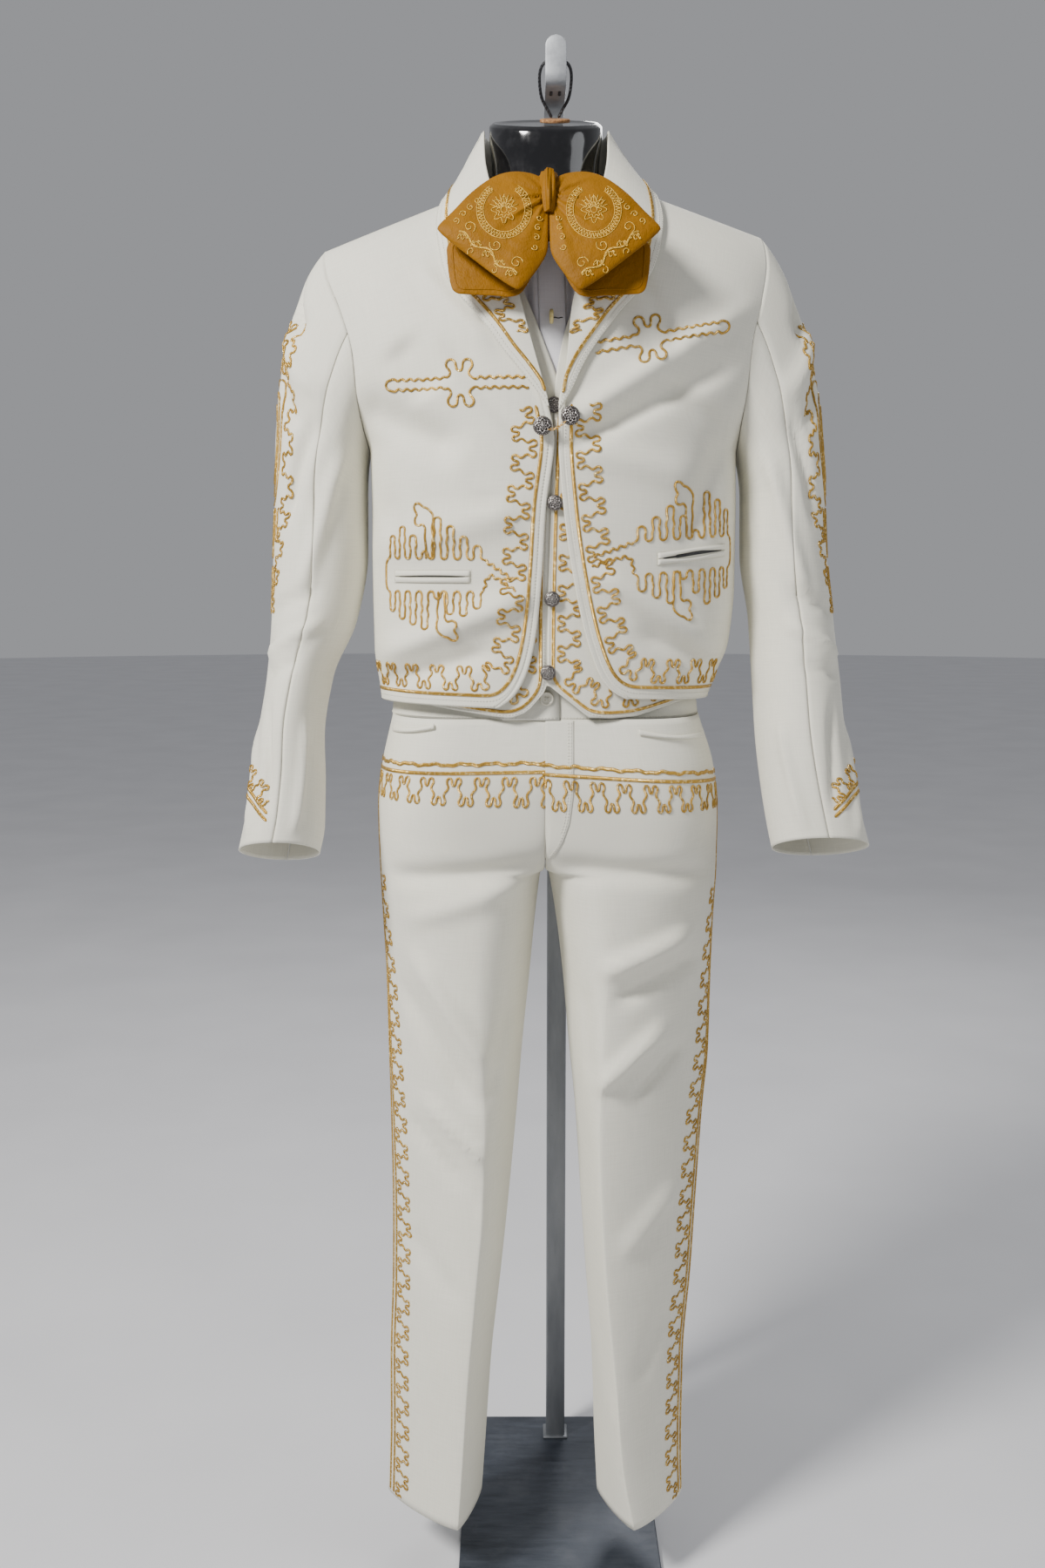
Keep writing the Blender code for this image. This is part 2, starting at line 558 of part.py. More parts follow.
def collar_panel(columns=15):
    """Collar: from the neck seam up the stand, over the fold and down to the fall's edge."""
    angle = np.linspace(-math.pi / 2, math.pi / 2, columns)
    side, rear = np.sin(angle), np.cos(angle)
    ring = lambda half_x, depth, z: np.stack([half_x * side, SHOULDER_Y + 0.0015 + depth * rear, z + 0 * side], -1)
    stand = ring(0.0705, 0.0745, 1.5790)
    stand_top = ring(0.0650, 0.0735, 1.6310)
    fold = ring(0.0675, 0.0765, 1.6365)
    fall_top = ring(0.0708, 0.0795, 1.6310)
    edge_x = np.where(side < 0, 0.101, 0.106) * side
    edge_z = np.where(side < 0, 1.5660, 1.5745) * side**2 + 1.5520 * rear**2
    edge_y = np.maximum(body_y(edge_x, edge_z, "back") + 0.0055, SHOULDER_Y + 0.0015)
    edge = np.stack([edge_x, edge_y, edge_z + 0.0030], -1)
    middle = 0.5 * (fall_top + edge)
    middle[:, :2] *= 1.03
    return np.array([stand, stand_top, fold, fall_top, middle, edge])


def armhole(front_rows, share, face):
    """Points of the armhole from the underarm (0) to the shoulder (1), as the body panels have them."""
    z = front_rows["outer_z"][6:]
    x = front_rows["outer_x"][6:]
    spots = np.linspace(0, 1, len(z))
    at_z = np.interp(share, spots, z)
    at_x = np.interp(share, spots, x)
    return np.stack([at_x, body_y(at_x, at_z, face), at_z], -1)


def sleeve_grid(sections, front_rows, head_rows=4, quarter_columns=5):
    """Sleeve, as rings of 4 x quarter_columns points, counted from the outer side to the front and round.

    The head blends from the armhole to the first level section by a cubic whose ends leave the
    armhole outwards and arrive straight down. Below it each ring is a superellipse.
    """
    out = -1.0 if sections["outer"][0] < 0 else 1.0
    angle = np.linspace(0, 2 * math.pi, 4 * quarter_columns, endpoint=False)

    def level(z, outer, inner, middle_y, depth, tilt, pinch):
        middle, half = (outer + inner) / 2, (outer - inner) / 2
        cos, sin = np.cos(angle), np.sin(angle)
        x = middle + half * np.sign(cos) * np.abs(cos) ** (2 / 2.2)
        y = middle_y - depth * np.sign(sin) * np.abs(sin) ** (2 / pinch)
        return np.stack([x, y, z - tilt * (y - middle_y)], -1)

    share = (1 + np.cos(angle)) / 2
    front = np.sin(angle) >= -1e-9
    hole = np.where(front[:, None], armhole(front_rows, share, "front"), armhole(front_rows, share, "back"))
    hole[:, 0] += out * 0.0016
    first = level(*(sections[c][0] for c in sections))
    drop = np.linalg.norm(first - hole, axis=1)[:, None]
    leave = np.array((out * 0.55, 0.0, -0.55)) * drop * (0.3 + 0.7 * share[:, None])
    leave[:, 2] -= 0.45 * drop[:, 0] * (1 - share)
    arrive = np.array((0.0, 0.0, -1.0)) * drop
    rings = []
    for t in np.linspace(0, 1, head_rows, endpoint=False):
        h00, h10 = (1 + 2 * t) * (1 - t) ** 2, t * (1 - t) ** 2
        h01, h11 = t * t * (3 - 2 * t), t * t * (t - 1)
        rings.append(h00 * hole + h10 * leave + h01 * first + h11 * arrive)
    for i in range(len(sections["z"])):
        rings.append(level(*(sections[c][i] for c in sections)))
    return np.array(rings)


def part_ring(grid, start, stop, half_gap=SEAM):
    """Columns start to stop of a ring, wrapping round, with both long edges drawn in at the seams."""
    part = grid[:, np.arange(start, stop + 1) % grid.shape[1]].copy()
    for edge, inner in ((0, 1), (-1, -2)):
        step = part[:, inner] - part[:, edge]
        part[:, edge] += step / np.linalg.norm(step, axis=1)[:, None] * half_gap
    return part


def make_sleeves():
    for side, sections, rows in (("left", SLEEVE_LEFT, JACKET_LEFT), ("right", SLEEVE_RIGHT, JACKET_RIGHT)):
        grid = sleeve_grid(sections, rows)
        quarter = grid.shape[1] // 4
        axis = ((sections["outer"][0] + sections["inner"][0]) / 2, -0.02)
        cloth(f"sleeve_upper_{side}", part_ring(grid, -quarter, quarter), IVORY, axis=axis)
        cloth(f"sleeve_under_{side}", part_ring(grid, quarter, 3 * quarter), IVORY, axis=axis)
        out = grid + grid_normals(grid, axis) * (2 * LIFT + BRAID_THICK)
        band = np.array([(1 - share) * out[-1] + share * out[-2] for share in (0.62, 0.78)])
        band = band[:, np.arange(-quarter + 2, quarter - 1)]
        cloth(f"cuff_braid_{side}", band, GOLD, wall=BRAID_THICK, axis=axis)


def edge_braid(rows, inside, direction):
    """Braid along a front edge: two lines on the panel, inside and inside + the braid's width from it."""
    lines = []
    for inset in (inside, inside + BRAID_WIDTH):
        x = rows["edge_x"][:8] + direction * inset
        z = rows["edge_z"][:8] + inset * np.array((1.0, 0.75, 0.35, 0, 0, 0, 0, 0))
        hem_x = np.linspace(rows["outer_x"][0] * 0.88, x[0], 6, endpoint=False)
        x = np.concatenate([hem_x, x])
        z = np.concatenate([z[0] + 0.0 * hem_x, z])
        lines.append(on_front(x, z, 2 * LIFT + BRAID_THICK))
    return np.array(lines)


def welt(x0, z0, x1, z1, below, tall=0.0055, columns=5):
    """One lip of a jacket pocket: a strip on the front, just above or below the slit."""
    x = np.linspace(x0, x1, columns)
    z = np.linspace(z0, z1, columns)
    near, far = (-0.0004, -tall) if below else (0.0004, tall)
    return np.array([on_front(x, z + shift, CLOTH + 2 * LIFT) for shift in (near, far)])


def make_jacket():
    cloth("jacket_front_left", front_panel(JACKET_LEFT, 8), IVORY)
    cloth("jacket_front_right", front_panel(JACKET_RIGHT, 8), IVORY)
    cloth("jacket_back", back_panel(15, JACKET_LEFT, JACKET_RIGHT, 6, NECK_HALF, NECK_EDGE_Z), IVORY)
    cloth("jacket_lapel_left", lapel_panel(LAPEL_LEFT), IVORY, wall=LAPEL_CLOTH)
    cloth("jacket_lapel_right", lapel_panel(LAPEL_RIGHT), IVORY, wall=LAPEL_CLOTH)
    cloth("jacket_collar", collar_panel(), IVORY, wall=CLOTH)
    for side, slit in (("left", (-0.159, 1.168, -0.078, 1.168)), ("right", (0.115, 1.186, 0.190, 1.196))):
        cloth(f"jacket_welt_upper_{side}", welt(*slit, below=False), IVORY)
        cloth(f"jacket_welt_lower_{side}", welt(*slit, below=True), IVORY)
    cloth("jacket_braid_left", edge_braid(JACKET_LEFT, 0.0110, -1.0), GOLD, wall=BRAID_THICK)
    cloth("jacket_braid_right", edge_braid(JACKET_RIGHT, 0.0110, 1.0), GOLD, wall=BRAID_THICK)
    spots = {"left": (-0.0045, 1.318), "right": (0.0235, 1.328)}
    for side, (x, z) in spots.items():
        turned(f"jacket_button_{side}", dome(0.0095, 0.0055), (x, float(body_y(x, z, "front")) - 0.0075, z), SILVER)
    (ax, az), (bx, bz) = spots.values()
    share = np.linspace(0, 1, 7)
    x, z = ax + 0.0035 + (bx - ax - 0.0070) * share, az + (bz - az) * share - 0.0040 * np.sin(math.pi * share)
    y = body_y(x, z, "front") - 0.0050
    tube("jacket_button_chain", np.stack([x, y, z], -1), 0.0012, BRASS)


# ---- waistcoat and shirt ------------------------------------------------------------------------
WAISTCOAT_IN, SHIRT_IN = 0.0060, 0.0125


def waistcoat_front(rows, columns):
    """Waistcoat front: as the jacket's, set in; the lowest rows follow the pointed hem."""
    grid = []
    for i, (outer_z, outer_x, inner_z, inner_x) in enumerate(zip(*rows.values())):
        half = float(half_width(outer_x, outer_z, WAISTCOAT_IN))
        x = spread(outer_x, inner_x, max(half, abs(outer_x)), columns)
        z = outer_z + (inner_z - outer_z) * (x - outer_x) / (inner_x - outer_x)
        hem = np.interp(x, WAISTCOAT_HEM["x"], WAISTCOAT_HEM["z"])
        if i < 2:
            z = hem + i * 0.5 * (z - hem)
        grid.append(np.stack([x, body_y(x, z, "front", WAISTCOAT_IN), z], -1))
    grid = np.array(grid)
    grid[:, 0, 1] -= SEAM
    grid[-1, :, 1] -= SEAM
    return grid


def make_waistcoat():
    for side, rows in (("left", WAISTCOAT_LEFT), ("right", WAISTCOAT_RIGHT)):
        cloth(f"waistcoat_front_{side}", waistcoat_front(rows, 9), IVORY)
        sign = -1.0 if side == "left" else 1.0
        z = np.linspace(1.068, 1.318, 8)
        edge = np.interp(z, rows["inner_z"][:7], rows["inner_x"][:7])
        band = np.array([
            on_front(edge + sign * inset, z, LIFT + BRAID_THICK, WAISTCOAT_IN) for inset in (0.0036, 0.0064)
        ])
        cloth(f"waistcoat_braid_{side}", band, GOLD, wall=BRAID_THICK)
    back = back_panel(10, WAISTCOAT_LEFT, WAISTCOAT_RIGHT, 5, 0.098, 1.515, WAISTCOAT_IN + 0.0030)
    cloth("waistcoat_back", back, IVORY)
    spots = ((0.0075, 1.3400), (0.0085, 1.2425), (0.0060, 1.1450), (0.0020, 1.0690))
    for number, (x, z) in enumerate(spots, 1):
        hidden = number == 1
        stand_off = 0.0006 if hidden else LIFT + BRAID_THICK + 0.0006
        y = float(body_y(x, z, "front", WAISTCOAT_IN)) - stand_off
        turned(f"waistcoat_button_{number}", dome(0.0079, 0.0022 if hidden else 0.0050), (x, y, z), SILVER)


def make_shirt():
    z = np.linspace(1.09, 1.505, 11)[:, None]
    x = np.linspace(-0.085, 0.085, 8)[None, :] * np.interp(z, (1.09, 1.40, 1.505), (1.0, 1.0, 0.60))
    front = np.stack([x, body_y(x, z + 0 * x, "front", SHIRT_IN), z + 0 * x], -1)
    cloth("shirt_front", front, WHITE)
    z = np.linspace(1.345, 1.500, 6)[:, None]
    x = np.linspace(-0.009, 0.019, 3)[None, :] + 0 * z
    band = np.stack([x, body_y(x, z + 0 * x, "front", SHIRT_IN) - LIFT - 0.0010, z + 0 * x], -1)
    cloth("shirt_placket", band, WHITE, wall=0.0010)
    y = float(body_y(0.004, 1.427, "front", SHIRT_IN)) - 0.0026
    profile = [(0, 0.0011), (0.0050, 0.0011), (0.0056, 0.0005), (0.0056, -0.0005), (0.0050, -0.0011), (0, -0.0011)]
    turned("shirt_button", profile, (0.0045, y - 0.0058, 1.427), BONE, aim="side", steps=14)


# ---- bow ----------------------------------------------------------------------------------------
UPPER_WING = ((0.0125, 1.5440), (0.0260, 1.5580), (0.0480, 1.5600), (0.0760, 1.5380), (0.1080, 1.5075),
              (0.0980, 1.4920), (0.0640, 1.4620), (0.0400, 1.4440), (0.0280, 1.4430), (0.0090, 1.4640),
              (0.0035, 1.4850), (0.0045, 1.5120))
UNDER_WING = ((0.0120, 1.5300), (0.0300, 1.5360), (0.0560, 1.5280), (0.0860, 1.5100), (0.1010, 1.4960),
              (0.0975, 1.4520), (0.0900, 1.4440), (0.0620, 1.4420), (0.0360, 1.4400), (0.0240, 1.4500),
              (0.0100, 1.4800), (0.0080, 1.5100))


CAGE_GROWTH = 1.20      # subdivision draws a cage in by about this much


def wing(name, outline, side, front_y, slope, thick):
    """A padded bow wing: a coarse cage of a rim and two drawn-in rings, rounded by subdivision."""
    rim = np.array(outline)
    rim[:, 0] = rim[:, 0] * side + 0.0015
    middle = rim.mean(axis=0)
    rim = middle + (rim - middle) * CAGE_GROWTH
    rings = []
    for share, out in ((0.60, -1.0), (1.0, 0.0), (0.60, 1.0)):
        flat = middle + (rim - middle) * share
        y = front_y - (1.55 - flat[:, 1]) * slope + out * thick / 2
        rings.append(np.stack([flat[:, 0], y, flat[:, 1]], -1))
    obj = section_block(name, np.array(rings), CARAMEL)
    soft = obj.modifiers.new("Soft", "SUBSURF")
    soft.levels = soft.render_levels = 1
    return obj


def make_bow():
    for side, sign in (("left", -1.0), ("right", 1.0)):
        wing(f"bow_wing_upper_{side}", UPPER_WING, sign, -0.126, 0.40, 0.026)
        wing(f"bow_wing_under_{side}", UNDER_WING, sign, -0.100, 0.40, 0.014)
    turns = np.linspace(0, 2 * math.pi, 12, endpoint=False)
    rings = []
    for z, half in ((1.5180, 0.0030), (1.5260, 0.0060), (1.5400, 0.0070), (1.5520, 0.0068), (1.5585, 0.0040)):
        x = 0.0015 + half * np.sin(turns)
        y = -0.110 - (1.55 - z) * 0.40 - (0.020 + half) * np.cos(turns)
        rings.append(np.stack([x, y, z + 0 * x], -1))
    section_block("bow_knot", np.array(rings), CARAMEL)
    angle = np.linspace(0, 2 * math.pi, 24, endpoint=False)
    band = np.array([
        np.stack([0.0630 * np.sin(angle), -0.0625 * np.cos(angle), z + 0.1 * -0.0625 * np.cos(angle)], -1)
        for z in (1.5680, 1.5790)
    ])
    cloth("bow_neck_band", band, CARAMEL, closed=True)


# ---- trousers -----------------------------------------------------------------------------------
def leg_row(outer, crease, inner, sharp, columns):
    """Half of a leg's section: a superellipse quarter from the side seam to the crease, and another on
    to the inseam or the centre seam. sharp is their exponent."""
    outer, crease, inner = (np.array(p, float) for p in (outer, crease, inner))
    angle = np.linspace(0, math.pi / 2, columns // 2 + 1)
    rising = np.sin(angle) ** (2 / sharp)
    falling = np.cos(angle) ** (2 / sharp)
    across = lambda end: np.stack([
        crease[0] + (end[0] - crease[0]) * falling,
        end[1] + (crease[1] - end[1]) * rising,
    ], -1)
    first, second = across(outer), across(inner)[::-1]
    flat = np.vstack([first, second[1:]])
    share = (flat[:, 0] - outer[0]) / (inner[0] - outer[0])
    z = outer[2] + (inner[2] - outer[2]) * share
    return np.column_stack([flat, z])


def trouser_panel(side, face, columns=8):
    """Front or back of one leg, from the hem up to the crotch and on to the waist seam."""
    sign = -1.0 if side == "left" else 1.0
    shift = SEAM if face == "back" else -SEAM
    rows = []
    for i in range(len(LEG["z"])):
        row = {c: LEG[c][i] for c in LEG}
        y, z = row[face], row["z"]
        rows.append(leg_row((row[f"out_{side}"], shift, z), (row[f"crease_{side}"], y, z),
                            (row[f"in_{side}"], shift, z), row["sharp"], columns))
    for i in range(len(RISE["z"])):
        row = {c: RISE[c][i] for c in RISE}
        y, z = row[face], row["z"]
        crease_x = sign * (0.0725 + 0.0015 * i)
        rows.append(leg_row((row[f"out_{side}"], shift, z), (crease_x, y, z),
                            (sign * 0.0010, row[f"seam_{face}"], row["seam_z"]), row["sharp"], columns))
    return np.array(rows)


def waist_ring(z, inset=0.0, columns=32, start=0.0, stop=2 * math.pi):
    """Level rings just above the trousers' waist seam, from the same half-widths and depths."""
    angle = np.linspace(start, stop, columns)
    side, rear = np.sin(angle), -np.cos(angle)
    last = {c: RISE[c][-1] for c in RISE}
    half = np.where(side < 0, -last["out_left"], last["out_right"]) - inset
    depth = np.where(rear < 0, -last["front"], last["back"]) - inset
    power = 2 / 2.5
    return np.stack([half * np.sign(side) * np.abs(side) ** power,
                     depth * np.sign(rear) * np.abs(rear) ** power, z + 0 * side], -1)


def trouser_front_y(x, z):
    """Depth of the trouser fronts between the crotch and the waist seam."""
    out = np.where(np.asarray(x) < 0, -np.interp(z, RISE["z"], RISE["out_left"]), np.interp(z, RISE["z"], RISE["out_right"]))
    depth = -np.interp(z, RISE["z"], RISE["front"])
    crease = 0.078
    reach = np.clip((np.abs(x) - crease) / (out - crease), 0, 1)
    return -depth * (1 - reach**2.6) ** (1 / 2.6)


def make_trousers():
    for side in ("left", "right"):
        for face in ("front", "back"):
            axis = (-0.1 if side == "left" else 0.1, 0.0)
            cloth(f"trouser_{face}_{side}", trouser_panel(side, face), IVORY, axis=axis)
    open_half = 0.012
    rings = np.array([waist_ring(z, inset, 37, open_half, 2 * math.pi - open_half)
                      for z, inset in ((WAIST_SEAM_Z + 0.0006, 0.0002), (WAIST_TOP_Z, 0.0040))])
    cloth("trouser_waistband", rings, IVORY)
    z = np.array((0.868, 0.890, 0.920, 0.960, 1.000, 1.0175))
    width = np.array((0.004, 0.016, 0.026, 0.029, 0.029, 0.029))
    fly = np.array([
        np.stack([x_share * width + 0.0010, trouser_front_y(0.0 * z, z) - 0.0016, z], -1)
        for x_share in (0.0, 0.5, 1.0)
    ])
    cloth("trouser_fly", fly, IVORY, wall=0.0010)
    y = trouser_front_y(0.0, WAIST_SEAM_Z) - 0.0005
    turned("trouser_waist_button", dome(0.0075, 0.0026), (0.0010, float(y) + 0.0006, 1.041), BONE)
    pockets = {"left": (-0.166, 1.0075, -0.118, 1.0145), "right": (0.098, 1.0085, 0.171, 1.0010)}
    for side, (x0, z0, x1, z1) in pockets.items():
        x, z = np.linspace(x0, x1, 7), np.linspace(z0, z1, 7)
        strip = np.array([np.stack([x, trouser_front_y(x, z + dz) - 0.0030, z + dz], -1) for dz in (-0.005, 0.0)])
        cloth(f"trouser_pocket_{side}", strip, IVORY)
    x = np.concatenate([np.linspace(-0.158, -0.004, 9), np.linspace(0.004, 0.165, 9)])
    line = np.interp(x, (-0.175, -0.014, 0.185), (0.960, 0.965, 0.945))
    hip = np.array([np.stack([x, trouser_front_y(x, line + dz) - 0.0034, line + dz], -1) for dz in (0.0, BRAID_WIDTH)])
    cloth("trouser_hip_braid", hip, GOLD, wall=BRAID_THICK)
    for side, sign in (("left", -1.0), ("right", 1.0)):
        z = np.concatenate([LEG["z"], RISE["z"][:-2]])
        out = np.concatenate([LEG[f"out_{side}"], RISE[f"out_{side}"][:-2]]) + sign * 0.0018
        strip = np.array([np.stack([out - 0.0 * z, y + 0 * z, z], -1) for y in (-0.0035, 0.0010)])
        cloth(f"trouser_side_braid_{side}", strip, GOLD, wall=BRAID_THICK)


# ---- everything ---------------------------------------------------------------------------------
for leftover in list(bpy.data.objects):
    bpy.data.objects.remove(leftover, do_unlink=True)
SUIT = bpy.data.collections.new("charro_suit")
bpy.context.scene.collection.children.link(SUIT)

IVORY = material("ivory_gabardine", (0.76, 0.73, 0.63), 0.72, sheen=0.25)
WHITE = material("white_shirting", (0.80, 0.79, 0.83), 0.80)
GOLD = material("gold_braid", (0.56, 0.33, 0.07), 0.40, metallic=0.7)
CARAMEL = material("caramel_satin", (0.42, 0.18, 0.02), 0.50, sheen=0.2)
SILVER = material("antique_silver", (0.45, 0.43, 0.41), 0.35, metallic=1.0)
BRASS = material("gilt_chain", (0.70, 0.45, 0.15), 0.30, metallic=1.0)
BONE = material("bone_button", (0.75, 0.68, 0.42), 0.35)
GLOSS_BLACK = material("gloss_black_form", (0.008, 0.008, 0.010), 0.12)
CORK = material("cork_cap", (0.45, 0.26, 0.12), 0.85)
DARK_CORD = material("dark_cord", (0.03, 0.03, 0.03), 0.55)
STEEL = material("grey_steel", (0.18, 0.19, 0.20), 0.45, metallic=0.6)
PLATE = material("dark_plate", (0.05, 0.06, 0.08), 0.40, metallic=0.5)

make_stand()
make_form()
make_jacket()
make_sleeves()
make_waistcoat()
make_shirt()
make_bow()
make_trousers()
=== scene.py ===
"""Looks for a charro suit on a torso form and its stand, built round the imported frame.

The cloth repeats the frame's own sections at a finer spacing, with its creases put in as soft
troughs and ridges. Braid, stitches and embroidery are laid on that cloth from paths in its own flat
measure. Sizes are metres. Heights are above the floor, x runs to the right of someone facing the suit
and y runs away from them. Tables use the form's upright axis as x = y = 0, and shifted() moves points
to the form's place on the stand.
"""

import math

import bmesh
import bpy
import numpy as np
from bpy.props import FloatProperty, FloatVectorProperty, IntProperty, PointerProperty
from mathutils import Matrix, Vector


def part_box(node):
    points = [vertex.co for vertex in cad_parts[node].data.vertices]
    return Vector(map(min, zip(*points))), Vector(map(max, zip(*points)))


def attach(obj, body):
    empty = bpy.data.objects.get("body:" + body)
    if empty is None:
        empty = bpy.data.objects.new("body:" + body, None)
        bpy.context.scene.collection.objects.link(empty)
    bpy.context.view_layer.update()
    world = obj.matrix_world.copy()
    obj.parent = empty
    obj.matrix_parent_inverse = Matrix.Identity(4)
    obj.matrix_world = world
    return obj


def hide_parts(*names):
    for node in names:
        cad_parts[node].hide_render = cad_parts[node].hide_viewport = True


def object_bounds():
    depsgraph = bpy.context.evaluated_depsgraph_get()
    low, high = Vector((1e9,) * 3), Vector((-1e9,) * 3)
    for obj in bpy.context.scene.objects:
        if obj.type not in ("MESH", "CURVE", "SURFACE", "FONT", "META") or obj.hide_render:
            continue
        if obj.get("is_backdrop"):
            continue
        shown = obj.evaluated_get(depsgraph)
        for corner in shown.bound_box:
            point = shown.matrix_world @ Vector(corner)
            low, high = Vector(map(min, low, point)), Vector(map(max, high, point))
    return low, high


bl_info = {
    "name": "Charro Suit",
    "version": (1, 0, 0),
    "blender": (4, 5, 0),
    "location": "View3D > Sidebar > Charro Suit",
    "description": "Cloth, braid, buttons and bow of a charro suit on a torso form",
    "category": "Add Mesh",
}

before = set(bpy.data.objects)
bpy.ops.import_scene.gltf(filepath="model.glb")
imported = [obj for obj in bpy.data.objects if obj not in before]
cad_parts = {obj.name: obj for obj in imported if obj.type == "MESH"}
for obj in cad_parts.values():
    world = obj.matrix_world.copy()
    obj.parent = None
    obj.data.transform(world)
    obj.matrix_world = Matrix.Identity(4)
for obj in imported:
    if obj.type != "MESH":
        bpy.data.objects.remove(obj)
CAD_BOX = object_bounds()

BODY_NAME = "root"
FORM_X, FORM_Y = -0.020, -0.083     # the form's axis on the base plate
CLOTH = 0.0012                      # wall of a single layer of suit cloth
LAPEL_CLOTH = 0.0020                # lapels are two layers
SEAM = 0.0002                       # half of the gap between two pieces at a seam
CHEST_TOP_Z = 1.33
SHOULDER_Y = 0.005
BODY_SQUARE = 2.4                   # how square a level section of the body is; 2 is an ellipse
NECK_HALF = 0.072
NECK_RISE = 0.050
NECK_EDGE_Z = 1.572
WAIST_SEAM_Z, WAIST_TOP_Z = 1.019, 1.058
WAISTCOAT_IN, WAISTCOAT_BACK_IN, SHIRT_IN = 0.0060, 0.0090, 0.0125
CAD_STEPS = 8                       # fine rows for each row of a table
ARMHOLE_ROW = 6                     # table row of the jacket that is at the underarm


def table(columns, rows):
    """A short table: one array for each named column."""
    return dict(zip(columns.split(), np.array(rows, float).T))


BODY = table("z left right front back", [
    # half-widths to each side and depths to front and back of the jacket's outer face
    (1.020, 0.179, 0.178, 0.117, 0.104),
    (1.035, 0.181, 0.180, 0.118, 0.105),
    (1.100, 0.188, 0.203, 0.119, 0.106),
    (1.160, 0.189, 0.208, 0.122, 0.108),
    (1.232, 0.1885, 0.208, 0.126, 0.111),
    (1.298, 0.1895, 0.207, 0.128, 0.112),
    (1.350, 0.214, 0.227, 0.128, 0.112),
    (1.400, 0.230, 0.240, 0.126, 0.110),
    (1.450, 0.243, 0.249, 0.122, 0.108),
    (1.500, 0.256, 0.255, 0.117, 0.106),
    (1.600, 0.262, 0.262, 0.110, 0.104),
])

JACKET_LEFT = table("outer_z outer_x seam_z seam_x edge_z edge_x lift", [
    # outer: side seam, then armhole; seam: where the edge turn starts; edge: front edge, then roll
    (1.035, -0.1810, 1.032, -0.0610, 1.032, -0.0490, 0.0000),
    (1.046, -0.1823, 1.044, -0.0460, 1.044, -0.0340, 0.0000),
    (1.069, -0.1850, 1.068, -0.0320, 1.068, -0.0200, 0.0000),
    (1.112, -0.1884, 1.111, -0.0220, 1.111, -0.0100, 0.0000),
    (1.170, -0.1890, 1.175, -0.0165, 1.175, -0.0040, 0.0000),
    (1.232, -0.1885, 1.236, -0.0125, 1.236, -0.0005, 0.0000),
    (1.298, -0.1895, 1.303, -0.0045, 1.303, 0.0078, 0.0000),
    (1.319, -0.1930, 1.342, -0.0110, 1.342, 0.0010, 0.0010),
    (1.350, -0.1975, 1.385, -0.0230, 1.385, -0.0115, 0.0020),
    (1.395, -0.2008, 1.430, -0.0350, 1.430, -0.0240, 0.0025),
    (1.440, -0.2137, 1.485, -0.0480, 1.485, -0.0375, 0.0040),
    (1.482, -0.2310, 1.540, -0.0620, 1.550, -0.0545, 0.0060),
    (1.503, -0.2352, 1.561, -0.0720, 1.595, -0.0630, 0.0020),
    (1.5137, -0.2360, 1.5737, -0.0780, 1.630, -0.0655, 0.0000),
])

JACKET_RIGHT = table("outer_z outer_x seam_z seam_x edge_z edge_x lift", [
    (1.037, 0.1805, 1.0405, 0.0960, 1.041, 0.0830, 0.0000),
    (1.048, 0.1850, 1.052, 0.0820, 1.050, 0.0680, 0.0000),
    (1.069, 0.1925, 1.066, 0.0690, 1.064, 0.0570, 0.0000),
    (1.104, 0.2035, 1.098, 0.0560, 1.098, 0.0435, 0.0000),
    (1.170, 0.2080, 1.170, 0.0400, 1.170, 0.0270, 0.0000),
    (1.232, 0.2080, 1.239, 0.0290, 1.239, 0.0170, 0.0000),
    (1.298, 0.2070, 1.303, 0.0235, 1.303, 0.0118, 0.0000),
    (1.324, 0.2065, 1.340, 0.0240, 1.340, 0.0120, 0.0010),
    (1.358, 0.2105, 1.385, 0.0320, 1.385, 0.0208, 0.0020),
    (1.409, 0.2150, 1.430, 0.0360, 1.430, 0.0250, 0.0025),
    (1.450, 0.2248, 1.485, 0.0480, 1.485, 0.0375, 0.0040),
    (1.495, 0.2330, 1.540, 0.0620, 1.550, 0.0545, 0.0060),
    (1.518, 0.2320, 1.568, 0.0720, 1.595, 0.0630, 0.0020),
    (1.529, 0.2290, 1.5819, 0.0780, 1.630, 0.0665, 0.0000),
])

LAPEL_LEFT = table("roll_z roll_x roll_y edge_z edge_x", [
    # from the lowest button up: the fold, and the lapel's outer edge that lies on the front
    (1.338, 0.0020, -0.1345, 1.337, 0.0000),
    (1.350, -0.0005, -0.1345, 1.352, -0.0100),
    (1.385, -0.0105, -0.1330, 1.380, -0.0330),
    (1.430, -0.0230, -0.1275, 1.420, -0.0660),
    (1.485, -0.0365, -0.1125, 1.470, -0.1030),
    (1.550, -0.0535, -0.0780, 1.528, -0.1125),
    (1.600, -0.0640, -0.0420, 1.553, -0.1085),
    (1.6365, -0.0660, 0.0000, 1.5660, -0.1010),
])

LAPEL_RIGHT = table("roll_z roll_x roll_y edge_z edge_x", [
    (1.334, 0.0122, -0.1345, 1.333, 0.0142),
    (1.350, 0.0150, -0.1345, 1.352, 0.0240),
    (1.385, 0.0200, -0.1330, 1.385, 0.0400),
    (1.430, 0.0240, -0.1275, 1.427, 0.0700),
    (1.485, 0.0365, -0.1125, 1.476, 0.1080),
    (1.550, 0.0535, -0.0780, 1.530, 0.1195),
    (1.600, 0.0640, -0.0420, 1.560, 0.1150),
    (1.6365, 0.0670, 0.0000, 1.5745, 0.1060),
])

